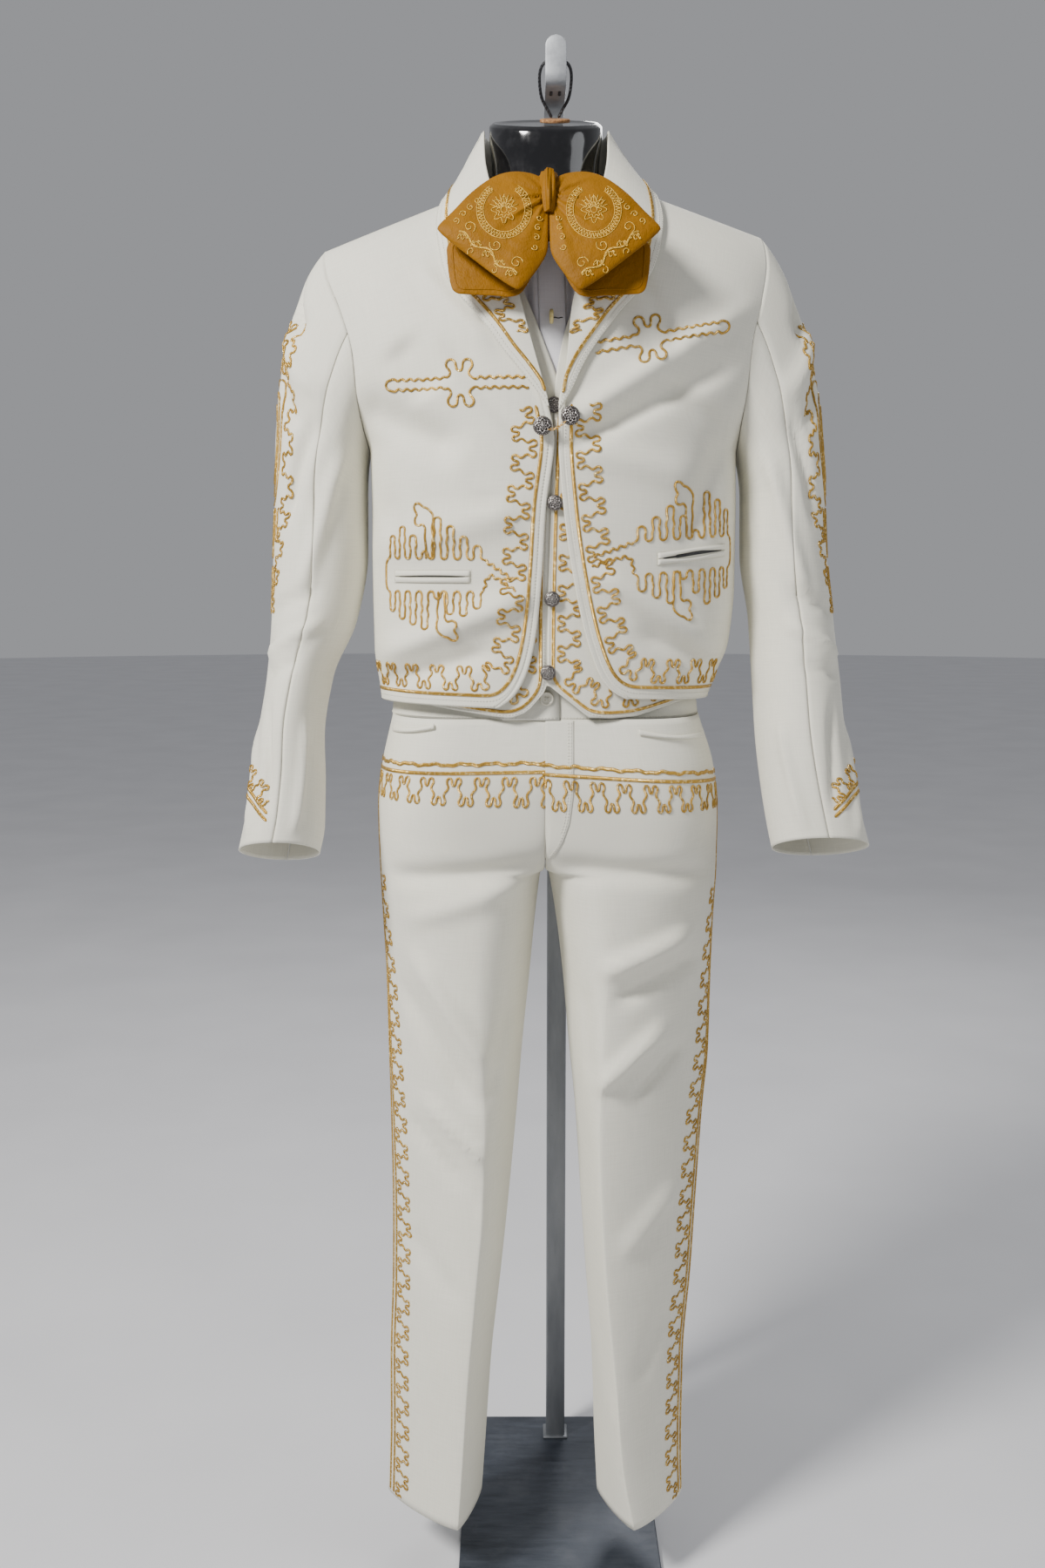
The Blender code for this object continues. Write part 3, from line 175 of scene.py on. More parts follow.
WAISTCOAT_LEFT = table("outer_z outer_x inner_z inner_x", [
    (1.0440, -0.1755, 1.0500, -0.0003),
    (1.0620, -0.1780, 1.0700, -0.0002),
    (1.1200, -0.1840, 1.1200, 0.0000),
    (1.1900, -0.1845, 1.1900, 0.0010),
    (1.2600, -0.1845, 1.2600, 0.0030),
    (1.3100, -0.1650, 1.3300, 0.0050),
    (1.3600, -0.1500, 1.3560, 0.0045),
    (1.4000, -0.1450, 1.4050, -0.0120),
    (1.4400, -0.1450, 1.4500, -0.0300),
    (1.4800, -0.1470, 1.4950, -0.0520),
    (1.5150, -0.1490, 1.5330, -0.0800),
    (1.5340, -0.1500, 1.5520, -0.1000),
])

WAISTCOAT_RIGHT = table("outer_z outer_x inner_z inner_x", [
    (1.0440, 0.1745, 1.0570, 0.0012),
    (1.0620, 0.1840, 1.0700, 0.0013),
    (1.1200, 0.1990, 1.1200, 0.0015),
    (1.1900, 0.2035, 1.1900, 0.0026),
    (1.2600, 0.2035, 1.2600, 0.0046),
    (1.3100, 0.1800, 1.3300, 0.0070),
    (1.3600, 0.1550, 1.3560, 0.0080),
    (1.4000, 0.1450, 1.4050, 0.0160),
    (1.4400, 0.1450, 1.4500, 0.0320),
    (1.4800, 0.1470, 1.4950, 0.0540),
    (1.5180, 0.1490, 1.5360, 0.0800),
    (1.5400, 0.1500, 1.5580, 0.1000),
])

WAISTCOAT_HEM = table("x z", [
    # lower edge of the waistcoat across both fronts: two points with a notch between them
    (-0.1800, 1.0440), (-0.1147, 1.0315), (-0.0600, 1.0235), (-0.0371, 1.0207), (-0.0200, 1.0270),
    (-0.0003, 1.0500), (0.0012, 1.0570), (0.0450, 1.0215), (0.0700, 1.0205), (0.0964, 1.0225),
    (0.1514, 1.0387), (0.1800, 1.0440),
])

SLEEVE_LEFT = table("z outer inner middle_y depth tilt pinch", [
    # level sections below the armhole; pinch under 2 presses a crease into front and back
    (1.250, -0.2950, -0.1940, 0.000, 0.064, 0.00, 2.0),
    (1.190, -0.2980, -0.1945, -0.003, 0.064, 0.02, 1.9),
    (1.120, -0.3000, -0.2070, -0.012, 0.064, 0.06, 1.8),
    (1.060, -0.3035, -0.2320, -0.028, 0.064, 0.10, 1.7),
    (1.000, -0.3110, -0.2405, -0.047, 0.061, 0.18, 1.7),
    (0.950, -0.3155, -0.2385, -0.062, 0.057, 0.26, 1.8),
    (0.905, -0.3235, -0.2380, -0.077, 0.052, 0.34, 1.8),
    (0.875, -0.3290, -0.2425, -0.087, 0.048, 0.38, 1.9),
])

SLEEVE_RIGHT = table("z outer inner middle_y depth tilt pinch", [
    (1.250, 0.3055, 0.2145, 0.000, 0.064, 0.00, 2.0),
    (1.190, 0.3090, 0.2150, -0.003, 0.064, 0.02, 1.9),
    (1.120, 0.3165, 0.2245, -0.012, 0.064, 0.06, 1.8),
    (1.060, 0.3220, 0.2270, -0.028, 0.064, 0.10, 1.7),
    (1.000, 0.3260, 0.2290, -0.047, 0.061, 0.18, 1.7),
    (0.950, 0.3330, 0.2335, -0.062, 0.057, 0.26, 1.8),
    (0.905, 0.3420, 0.2395, -0.077, 0.052, 0.34, 1.8),
    (0.880, 0.3475, 0.2440, -0.086, 0.048, 0.38, 1.9),
])

LEG = table("z out_left crease_left in_left out_right crease_right in_right front back sharp", [
    # sharp under 2 presses the crease; the side seam and the inseam lie on y = 0
    (0.080, -0.1860, -0.0990, -0.0735, 0.1675, 0.1040, 0.0650, -0.082, 0.098, 1.25),
    (0.160, -0.1835, -0.0935, -0.0680, 0.1660, 0.0900, 0.0610, -0.085, 0.096, 1.25),
    (0.260, -0.1820, -0.0870, -0.0610, 0.1665, 0.0815, 0.0575, -0.088, 0.095, 1.30),
    (0.360, -0.1780, -0.0785, -0.0500, 0.1735, 0.0715, 0.0500, -0.090, 0.094, 1.35),
    (0.460, -0.1765, -0.0705, -0.0400, 0.1785, 0.0645, 0.0430, -0.092, 0.094, 1.40),
    (0.560, -0.1770, -0.0670, -0.0310, 0.1835, 0.0610, 0.0365, -0.095, 0.096, 1.50),
    (0.640, -0.1780, -0.0680, -0.0245, 0.1890, 0.0640, 0.0285, -0.099, 0.100, 1.60),
    (0.720, -0.1790, -0.0730, -0.0165, 0.1895, 0.0680, 0.0215, -0.103, 0.106, 1.75),
    (0.790, -0.1820, -0.0720, -0.0100, 0.1910, 0.0710, 0.0130, -0.108, 0.112, 1.95),
    (0.845, -0.1840, -0.0720, -0.0030, 0.1930, 0.0730, 0.0030, -0.112, 0.116, 2.20),
])

RISE = table("z out_left out_right front back seam_z seam_front seam_back sharp", [
    # from the crotch to the waist seam; seam_: the centre seams, which curve under the crotch
    (0.868, -0.1845, 0.1930, -0.113, 0.117, 0.8500, -0.0450, 0.0480, 2.30),
    (0.890, -0.1850, 0.1930, -0.114, 0.117, 0.8640, -0.0830, 0.0880, 2.40),
    (0.915, -0.1850, 0.1925, -0.114, 0.117, 0.8950, -0.1060, 0.1110, 2.50),
    (0.960, -0.1810, 0.1880, -0.111, 0.110, 0.9560, -0.1100, 0.1090, 2.50),
    (1.019, -0.1680, 0.1700, -0.1015, 0.093, 1.0190, -0.1010, 0.0925, 2.50),
])

FORM = table("z half_x half_y middle_y tilt", [
    # closed torso: hips, waist, chest, shoulders, neck and the slanted neck top
    (0.872, 0.120, 0.060, 0.000, 0.0),
    (0.880, 0.150, 0.078, 0.000, 0.0),
    (0.930, 0.165, 0.094, 0.000, 0.0),
    (1.000, 0.155, 0.088, 0.000, 0.0),
    (1.080, 0.145, 0.085, 0.000, 0.0),
    (1.180, 0.155, 0.093, 0.000, 0.0),
    (1.300, 0.165, 0.098, 0.000, 0.0),
    (1.400, 0.172, 0.094, 0.000, 0.0),
    (1.460, 0.176, 0.084, 0.000, 0.0),
    (1.500, 0.168, 0.074, 0.000, 0.0),
    (1.530, 0.115, 0.062, 0.000, 0.0),
    (1.548, 0.074, 0.059, 0.000, 0.0),
    (1.565, 0.0590, 0.0575, 0.000, 0.1),
    (1.595, 0.0570, 0.0570, 0.000, 0.2),
    (1.630, 0.0600, 0.0600, 0.000, 0.32),
    (1.640, 0.0600, 0.0595, 0.000, 0.34),
    (1.6445, 0.0560, 0.0555, 0.000, 0.34),
])


def smooth(xs, ys, at):
    """Monotone cubic through (xs, ys): the slope at a point is the harmonic mean of its two runs."""
    order = np.argsort(xs)
    xs, ys = np.asarray(xs)[order], np.asarray(ys)[order]
    run = np.diff(xs)
    rise = np.diff(ys) / run
    slope = np.zeros_like(ys)
    product = rise[:-1] * rise[1:]
    total = np.where(product > 0, rise[:-1] + rise[1:], 1.0)
    slope[1:-1] = np.where(product > 0, 2.0 * product / total, 0.0)
    slope[0], slope[-1] = rise[0], rise[-1]
    at = np.asarray(at, float)
    i = np.clip(np.searchsorted(xs, at) - 1, 0, len(run) - 1)
    t = np.clip((at - xs[i]) / run[i], 0.0, 1.0)
    return (
        ys[i] * (1 + 2 * t) * (1 - t) ** 2
        + slope[i] * run[i] * t * (1 - t) ** 2
        + ys[i + 1] * t * t * (3 - 2 * t)
        + slope[i + 1] * run[i] * t * t * (t - 1)
    )


def shoulder_z(x):
    """Height of the sloping shoulder line above x; each side has its own slope."""
    x = np.asarray(x, float)
    left = 1.576 - 0.380 * (np.abs(x) - NECK_HALF)
    right = 1.584 - 0.355 * (np.abs(x) - NECK_HALF)
    share = np.clip((x + NECK_HALF) / (2 * NECK_HALF), 0.0, 1.0)
    return left * (1 - share) + right * share


def half_width(x, z, inset=0.0):
    side = np.where(np.asarray(x) < 0, smooth(BODY["z"], BODY["left"], z),
                    smooth(BODY["z"], BODY["right"], z))
    return side - inset


FRONT_FOLDS = table("x z to_x to_z width depth", [
    # the jacket fronts' creases, from the armholes and the fastened point; a positive depth is a hollow
    (-0.190, 1.345, -0.095, 1.298, 0.026, 0.0050),
    (-0.150, 1.400, -0.120, 1.355, 0.030, 0.0030),
    (-0.085, 1.247, -0.028, 1.238, 0.005, 0.0016),
    (-0.180, 1.195, -0.030, 1.235, 0.026, -0.0030),
    (-0.182, 1.084, -0.025, 1.145, 0.019, -0.0050),
    (-0.178, 1.052, -0.060, 1.090, 0.015, 0.0030),
    (-0.165, 1.250, -0.150, 1.150, 0.020, 0.0020),
    (-0.060, 1.400, -0.130, 1.480, 0.014, -0.0018),
    (-0.100, 1.395, -0.020, 1.300, 0.012, 0.0014),
    (0.025, 1.325, 0.205, 1.440, 0.017, -0.0035),
    (0.035, 1.305, 0.190, 1.385, 0.014, 0.0030),
    (0.030, 1.295, 0.150, 1.270, 0.020, -0.0020),
    (0.120, 1.360, 0.185, 1.320, 0.018, 0.0030),
    (0.055, 1.172, 0.178, 1.096, 0.018, -0.0045),
    (0.100, 1.110, 0.190, 1.070, 0.015, 0.0028),
    (0.185, 1.310, 0.150, 1.210, 0.022, 0.0035),
    (0.090, 1.480, 0.130, 1.400, 0.012, 0.0014),
])

BACK_FOLDS = table("x z to_x to_z width depth", [
    # hollows at the waist and blades, and drag lines from the armholes; a positive depth is a hollow
    (-0.160, 1.330, -0.060, 1.270, 0.026, 0.0040),
    (0.165, 1.340, 0.050, 1.285, 0.024, 0.0042),
    (-0.070, 1.190, 0.085, 1.175, 0.022, 0.0035),
    (-0.150, 1.110, -0.020, 1.140, 0.018, -0.0034),
    (0.160, 1.100, 0.040, 1.150, 0.020, -0.0036),
    (-0.090, 1.420, -0.060, 1.300, 0.024, -0.0022),
    (0.095, 1.430, 0.075, 1.310, 0.022, -0.0024),
])

SLEEVE_FOLDS = table("x z to_x to_z width depth", [
    # x is the distance round from the outer side, to the front where positive
    (0.010, 1.470, 0.060, 1.425, 0.016, 0.0045),
    (0.035, 1.425, 0.085, 1.360, 0.014, -0.0030),
    (0.020, 1.390, 0.070, 1.330, 0.012, 0.0028),
    (-0.060, 1.450, -0.020, 1.380, 0.018, 0.0035),
    (0.090, 1.330, 0.060, 1.230, 0.012, 0.0028),
    (0.120, 1.290, 0.085, 1.160, 0.012, -0.0030),
    (0.100, 1.150, 0.030, 1.130, 0.009, 0.0026),
    (0.110, 1.118, 0.040, 1.085, 0.010, -0.0030),
    (0.095, 1.078, 0.035, 1.062, 0.008, 0.0022),
    (-0.020, 1.180, -0.090, 1.140, 0.012, 0.0030),
    (-0.030, 1.120, -0.100, 1.105, 0.011, -0.0028),
    (0.060, 1.030, 0.080, 0.930, 0.010, 0.0022),
    (0.020, 1.000, 0.050, 0.900, 0.012, -0.0018),
    (0.130, 1.010, 0.120, 0.910, 0.009, -0.0020),
])

LEG_FOLDS = table("x z to_x to_z width depth", [
    # the swags that hang from the crotch and the outer thigh to the knee; a positive depth is a hollow
    (-0.165, 0.845, -0.010, 0.862, 0.018, 0.0040),
    (-0.150, 0.800, -0.020, 0.845, 0.016, -0.0025),
    (-0.140, 0.752, -0.060, 0.638, 0.014, -0.0055),
    (-0.155, 0.715, -0.085, 0.600, 0.012, 0.0045),
    (-0.132, 0.588, -0.062, 0.528, 0.011, -0.0045),
    (-0.150, 0.560, -0.095, 0.500, 0.010, 0.0035),
    (-0.040, 0.700, -0.060, 0.600, 0.012, 0.0030),
    (-0.150, 0.420, -0.100, 0.360, 0.016, 0.0025),
    (-0.070, 0.470, -0.050, 0.380, 0.012, -0.0020),
    (0.170, 0.850, 0.015, 0.862, 0.018, 0.0040),
    (0.158, 0.782, 0.066, 0.748, 0.014, -0.0055),
    (0.165, 0.750, 0.080, 0.715, 0.012, 0.0040),
    (0.130, 0.676, 0.058, 0.616, 0.012, -0.0050),
    (0.150, 0.650, 0.100, 0.600, 0.011, 0.0035),
    (0.045, 0.720, 0.050, 0.620, 0.011, 0.0028),
    (0.150, 0.480, 0.090, 0.420, 0.015, -0.0030),
    (0.140, 0.330, 0.110, 0.260, 0.016, 0.0022),
    (0.060, 0.300, 0.075, 0.200, 0.012, -0.0020),
])


def trough(x, z, folds):
    """Sum of soft troughs: each is depth times a bell across its line and a smooth step at both ends."""
    total = np.zeros(np.broadcast(x, z).shape)
    for ax, az, bx, bz, width, depth in zip(*folds.values()):
        length = math.hypot(bx - ax, bz - az)
        ux, uz = (bx - ax) / length, (bz - az) / length
        along = (x - ax) * ux + (z - az) * uz
        across = ((x - ax) * -uz + (z - az) * ux) / 0.70
        reach = np.clip(np.minimum(along, length - along) / (0.35 * length) + 0.5, 0.0, 1.0)
        total = total + 2.8 * depth * np.exp(-((across / width) ** 2)) * reach * reach * (3 - 2 * reach)
    return total


def body_y(x, z, face, inset=0.0):
    """Depth of the worn cloth at (x, z), as y; face is front or back.

    A level section is a superellipse. Above the chest the depth shrinks by (1 - t^2.6)^0.556, where
    t runs from 0 at the chest to 1 on the shoulder line, so the cloth rounds over into the seam.
    """
    x, z = np.broadcast_arrays(np.asarray(x, float), np.asarray(z, float))
    across = np.clip(np.abs(x) / half_width(x, z, inset), 0.0, 1.0)
    depth = (smooth(BODY["z"], BODY[face], z) - inset) * (1 - across**BODY_SQUARE) ** (1 / BODY_SQUARE)
    steep = NECK_RISE * np.clip(1 - (x / NECK_HALF) ** 2, 0.0, 1.0) ** 2
    t = np.clip((z - CHEST_TOP_Z) / (shoulder_z(x) - inset + steep - CHEST_TOP_Z), 0.0, 1.0)
    round_in = (1 - t**2.6) ** 0.556
    sign = -1.0 if face == "front" else 1.0
    y = SHOULDER_Y * (1 - round_in) + sign * depth * round_in
    return y - sign * trough(x, z, FRONT_FOLDS if face == "front" else BACK_FOLDS) * round_in


def spread(outer_x, inner_x, half, count):
    """Places across a panel, closer together near the side seam: sine-spaced in the section's angle."""
    power = BODY_SQUARE / 2
    start = np.arcsin(np.clip(abs(outer_x) / half, 0, 1) ** power) * np.sign(outer_x)
    stop = np.arcsin(np.clip(abs(inner_x) / half, 0, 1) ** power) * np.sign(inner_x)
    angle = np.linspace(start, stop, count)
    x = np.sign(angle) * half * np.abs(np.sin(angle)) ** (1 / power)
    x[0], x[-1] = outer_x, inner_x
    return x


def finer(rows, steps=CAD_STEPS):
    """The same table with more rows: each column read from a monotone cubic through its values."""
    count = len(next(iter(rows.values())))
    at = np.linspace(0, count - 1, (count - 1) * steps + 1)
    return {name: smooth(np.arange(count, dtype=float), column, at) for name, column in rows.items()}


def unit(vectors):
    return vectors / np.maximum(np.linalg.norm(vectors, axis=-1, keepdims=True), 1e-12)


def run_of(points):
    """Distance along a path of points, from 0 at its first."""
    return np.concatenate([[0.0], np.linalg.norm(np.diff(points, axis=0), axis=-1).cumsum()])


def resample(points, step):
    """The path read again at an even spacing close to step."""
    run = run_of(points)
    at = np.linspace(0, run[-1], max(int(round(run[-1] / step)), 2) + 1)
    return np.stack([np.interp(at, run, column) for column in points.T], -1)


def soften(points, reach, passes=2):
    """The path with its corners rounded: a moving mean over 2 x reach + 1 points, ends held."""
    for _ in range(passes):
        padded = np.vstack([2 * points[0] - points[reach:0:-1], points,
                            2 * points[-1] - points[-2:-reach - 2:-1]])
        window = np.ones(2 * reach + 1) / (2 * reach + 1)
        points = np.stack([np.convolve(column, window, "valid") for column in padded.T], -1)
    return points


class Surface:
    """A worn surface: at(u, v) gives points for arrays of flat places, u across and v along, in metres.
    axis is the upright line that it goes round; normals point away from it."""

    def __init__(self, at, axis=(0.0, 0.0)):
        self.at = at
        self.axis = axis

    def lay(self, u, v, lift=0.0, step=0.0012):
        """Points and unit normals at (u, v), moved out by lift. The normal is the cross product of the
        surface's differences across and along."""
        u, v = np.broadcast_arrays(np.asarray(u, float), np.asarray(v, float))
        across = self.at(u + step, v) - self.at(u - step, v)
        along = self.at(u, v + step) - self.at(u, v - step)
        normal = unit(np.cross(across, along))
        points = self.at(u, v)
        away = (points - (*self.axis, 0.0)) * (1.0, 1.0, 0.0)
        side = np.sign((normal * away).sum(axis=-1, keepdims=True))
        normal = normal * np.where(side == 0, 1.0, side)
        return points + lift * normal, normal


SECTION_ANGLE = np.linspace(0, math.pi / 2, 400)
SECTION = np.stack([0.195 * np.sin(SECTION_ANGLE) ** (2 / BODY_SQUARE),
                    0.120 * np.cos(SECTION_ANGLE) ** (2 / BODY_SQUARE)], -1)
SECTION_RUN = run_of(SECTION) / run_of(SECTION)[-1]     # share of a quarter section's length


def quarter_length(x, z, face, inset):
    """Length of the cloth from the centre line to the side seam, level at z."""
    a = half_width(x, z, inset)
    b = np.abs(body_y(0.0, z, face, inset))
    return run_of(SECTION)[-1] * np.sqrt((a**2 + b**2) / (0.195**2 + 0.120**2))


def across_cloth(x, z, face="front", inset=0.0):
    """Flat distance from the centre line to x, level at z."""
    share = np.clip(np.abs(x) / half_width(x, z, inset), 0, 1)
    return (np.sign(x) * np.interp(share, SECTION[:, 0] / 0.195, SECTION_RUN)
            * quarter_length(x, z, face, inset))


def body_surface(face, inset=0.0):
    """The body's cloth by flat measure: u from the centre line, v the height."""
    def at(u, v):
        share = np.clip(np.abs(u) / quarter_length(u, v, face, inset), 0, 1)
        x = np.sign(u) * half_width(u, v, inset) * np.interp(share, SECTION_RUN, SECTION[:, 0] / 0.195)
        return np.stack([x, body_y(x, v, face, inset), v + 0 * x], -1)
    return Surface(at)


def grid_surface(grid, axis):
    """A grid of points by flat measure: v runs down its first column, u along each row from there."""
    run = np.linalg.norm(np.diff(grid, axis=1), axis=-1).cumsum(axis=1)
    run = np.hstack([np.zeros((len(grid), 1)), run])
    rise = run_of(grid[:, 0])
    rows, columns = run.shape

    def at(u, v):
        u, v = np.broadcast_arrays(np.asarray(u, float), np.asarray(v, float))
        shape = u.shape
        u, v = u.ravel(), v.ravel()
        row = np.interp(v, rise, np.arange(rows))
        low = np.clip(row.astype(int), 0, rows - 2)
        total = 0.0
        for r, weight in ((low, 1 - (row - low)), (low + 1, row - low)):
            column = np.clip((run[r] < u[:, None]).sum(axis=1), 1, columns - 1)
            start, stop = run[r, column - 1], run[r, column]
            part = ((u - start) / (stop - start))[:, None]
            total = total + weight[:, None] * (grid[r, column - 1] * (1 - part) + grid[r, column] * part)
        return total.reshape(*shape, 3)

    surface = Surface(at, axis)
    surface.length = rise[-1]
    surface.width = run[:, -1]
    surface.first = grid[:, 0]
    surface.rise = rise
    return surface


# ---- meshes -------------------------------------------------------------------------------------
def shifted(points):
    return points + (FORM_X, FORM_Y, 0.0)


def mesh_of(name, points, faces, uv=None, values=None):
    """A mesh from arrays: points, faces of one size, uv for each point and named values for each point."""
    mesh = bpy.data.meshes.new(name)
    count, sides = faces.shape
    mesh.vertices.add(len(points))
    mesh.vertices.foreach_set("co", np.ascontiguousarray(points, np.float32).ravel())
    mesh.loops.add(count * sides)
    mesh.loops.foreach_set("vertex_index", np.ascontiguousarray(faces, np.int32).ravel())
    mesh.polygons.add(count)
    mesh.polygons.foreach_set("loop_start", np.arange(0, count * sides, sides, dtype=np.int32))
    mesh.update(calc_edges=True)
    if uv is not None:
        layer = mesh.uv_layers.new(name="UVMap")
        layer.data.foreach_set("uv", np.ascontiguousarray(uv[faces.ravel()], np.float32).ravel())
    for label, numbers in (values or {}).items():
        field = mesh.attributes.new(label, "FLOAT", "POINT")
        field.data.foreach_set("value", np.ascontiguousarray(numbers, np.float32).ravel())
    mesh.shade_smooth()
    return mesh


def quads_of(rows, columns, closed=False):
    index = np.arange(rows * columns).reshape(rows, columns)
    if closed:
        index = np.hstack([index, index[:, :1]])
    return np.stack([index[:-1, :-1], index[:-1, 1:], index[1:, 1:], index[1:, :-1]], -1).reshape(-1, 4)


def flat_measure(grid):
    """UV in metres: the distance along each row and down the middle column."""
    across = np.linalg.norm(np.diff(grid, axis=1), axis=-1).cumsum(axis=1)
    across = np.hstack([np.zeros((len(grid), 1)), across])
    across = across - across[:, -1:] / 2
    down = run_of(grid[:, grid.shape[1] // 2])[:, None] + 0 * across
    return np.stack([across, down], -1).reshape(-1, 2)


def faces_in(points, axis):
    """True where the grid's quads face the upright line through axis more than away from it."""
    across, up = points[:-1, 1:] - points[:-1, :-1], points[1:, :-1] - points[:-1, :-1]
    away = (points[:-1, :-1] - (*axis, 0.0)) * (1.0, 1.0, 0.0)
    return float((np.cross(across, up) * away).sum()) < 0


def piece(name, mesh, finish, node=None, slot=None, rides=BODY_NAME):
    """The finished object: its place is in its mesh, it rides on the body and stands for its node."""
    obj = bpy.data.objects.new(name, mesh)
    bpy.context.scene.collection.objects.link(obj)
    mesh.materials.append(finish)
    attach(obj, rides)
    if node:
        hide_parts(*([node] if isinstance(node, str) else node))
    return obj


def cloth(name, grid, finish, slot, wall=CLOTH, closed=False, axis=(0.0, 0.0), node=None, values=None):
    """A cloth wall on a grid whose points are its outer face; the wall grows towards the axis."""
    faces = quads_of(*grid.shape[:2], closed)
    if faces_in(grid, axis):
        faces = faces[:, ::-1]
    mesh = mesh_of(name, shifted(grid).reshape(-1, 3), faces, flat_measure(grid), values)
    obj = piece(name, mesh, finish, node, slot)
    shell = obj.modifiers.new("Wall", "SOLIDIFY")
    shell.thickness = wall
    shell.offset = -1.0
    shell.use_even_offset = False
    return obj


def cut_of(grid):
    """(width, length, area) of a grid of cloth laid flat: its longest row and column, and its area."""
    width = np.linalg.norm(np.diff(grid, axis=1), axis=-1).sum(axis=1).max()
    length = np.linalg.norm(np.diff(grid, axis=0), axis=-1).sum(axis=0).max()
    across, up = grid[:-1, 1:] - grid[:-1, :-1], grid[1:, :-1] - grid[:-1, :-1]
    area = np.linalg.norm(np.cross(across, up), axis=-1).sum()
    return float(width), float(length), float(area)


def declare(grid):
    width, length, area = cut_of(grid)
    width, length = math.ceil(width * 1000) / 1000, math.ceil(length * 1000) / 1000


def ring_caps(sides):
    """Quads that close a ring with an even count of points."""
    first = np.arange(sides // 2 - 1)
    return np.stack([first, first + 1, sides - 2 - first, sides - 1 - first], -1)


def carried(paths, normals, section, taper=True):
    """A profile carried along each path. section holds (across, out) pairs round a closed profile; the
    profile stands on the path with its out direction on the normal. Returns points, quads and UV."""
    sides = len(section)
    points, faces, uv, start = [], [], [], 0
    for path, normal in zip(paths, normals):
        tangent = unit(np.gradient(path, axis=0))
        across = unit(np.cross(tangent, normal))
        out = unit(np.cross(across, tangent))
        size = np.ones((len(path), 1, 1))
        if taper:
            size[[0, -1]] = 0.35
        ring = path[:, None] + size * (across[:, None] * section[None, :, :1] + out[:, None] * section[None, :, 1:])
        points.append(ring.reshape(-1, 3))
        quads = quads_of(len(path), sides, closed=True)
        ends = ring_caps(sides)
        faces.append(np.vstack([quads, ends, ends[:, ::-1] + (len(path) - 1) * sides]) + start)
        run = run_of(path)
        uv.append(np.stack(np.broadcast_arrays(run[:, None],
                                               np.linspace(0, 1, sides)[None]), -1).reshape(-1, 2))
        start += len(path) * sides
    return np.vstack(points), np.vstack(faces), np.vstack(uv)


BRAID_SECTION = np.array([(-1.0, -0.10), (-0.94, 0.55), (-0.52, 1.0), (0.0, 0.62),
                          (0.52, 1.0), (0.94, 0.55), (1.0, -0.10), (0.0, -0.18)])
MEANDER_SECTION = np.array([(-1.0, -0.12), (-0.72, 0.74), (0.0, 1.0), (0.72, 0.74),
                            (1.0, -0.12), (0.0, -0.2)])
CORD_SECTION = np.stack([np.cos(np.linspace(0, 2 * math.pi, 8, endpoint=False)),
                         np.sin(np.linspace(0, 2 * math.pi, 8, endpoint=False))], -1)
THREAD_SECTION = np.array([(-1.0, -0.2), (-0.6, 0.8), (0.6, 0.8), (1.0, -0.2)])


def trim(name, laid, section, width, thick, finish, slot, node=None):
    """Braid or thread: a flat profile, width wide and thick high, on each laid (path, normals)."""
    points, faces, uv = carried([p for p, _ in laid], [n for _, n in laid], section * (width / 2, thick))
    mesh = mesh_of(name, shifted(points), faces, uv)
    obj = piece(name, mesh, finish, node, slot)
    tidy_normals(mesh)
    return obj


def tidy_normals(mesh, merge=0.0):
    shape = bmesh.new()
    shape.from_mesh(mesh)
    if merge:
        bmesh.ops.remove_doubles(shape, verts=shape.verts, dist=merge)
        bmesh.ops.dissolve_degenerate(shape, edges=shape.edges, dist=merge)
    bmesh.ops.recalc_face_normals(shape, faces=shape.faces)
    shape.to_mesh(mesh)
    shape.free()
    mesh.shade_smooth()


def stitches(name, laid, finish, slot, pitch=0.0034, length=0.0023, width=0.0005):
    """Topstitching: along each laid path a spindle every pitch, sunk a little at both ends."""
    along = np.array((-0.5, -0.25, 0.25, 0.5)) * length
    swell = np.array((0.25, 1.0, 1.0, 0.25)) * width
    sink = np.array((-0.4, 0.3, 0.3, -0.4)) * width
    turn = np.array((0.25, 0.75, 1.25, 1.75)) * math.pi
    centres, tangents, normals = [], [], []
    for path, normal in laid:
        run = run_of(path)
        at = np.arange(pitch / 2, run[-1], pitch)
        read = lambda values: np.stack([np.interp(at, run, c) for c in values.T], -1)
        centres.append(read(path))
        tangents.append(unit(read(np.gradient(path, axis=0))))
        normals.append(unit(read(normal)))
    centre, tangent, normal = (np.vstack(a)[:, None, None] for a in (centres, tangents, normals))
    across = np.cross(tangent, normal)
    grid = (centre + tangent * along[None, :, None, None] + normal * sink[None, :, None, None]
            + (across * np.cos(turn)[None, None, :, None] + normal * np.sin(turn)[None, None, :, None])
            * swell[None, :, None, None])
    one = np.vstack([quads_of(4, 4, closed=True), ring_caps(4), ring_caps(4)[:, ::-1] + 12])
    faces = (one[None] + 16 * np.arange(len(grid))[:, None, None]).reshape(-1, 4)
    uv = np.tile(np.stack(np.broadcast_arrays(along[:, None], turn[None]), -1).reshape(-1, 2), (len(grid), 1))
    mesh = mesh_of(name, shifted(grid.reshape(-1, 3)), faces, uv)
    obj = piece(name, mesh, finish, None, slot)
    tidy_normals(mesh)
    return obj


# ---- braid patterns, as paths in the cloth's flat measure -------------------------------------------
def shifted_path(path, distance):
    """The path moved sideways, to its left where distance is positive, with its turns rounded."""
    even = soften(resample(path, 0.0015), 6)
    tangent = unit(np.gradient(even, axis=0))
    moved = even + distance * np.stack([-tangent[:, 1], tangent[:, 0]], -1)
    forward = (np.gradient(moved, axis=0) * tangent).sum(axis=1) > 0
    return soften(resample(moved[forward], 0.0015), 3)


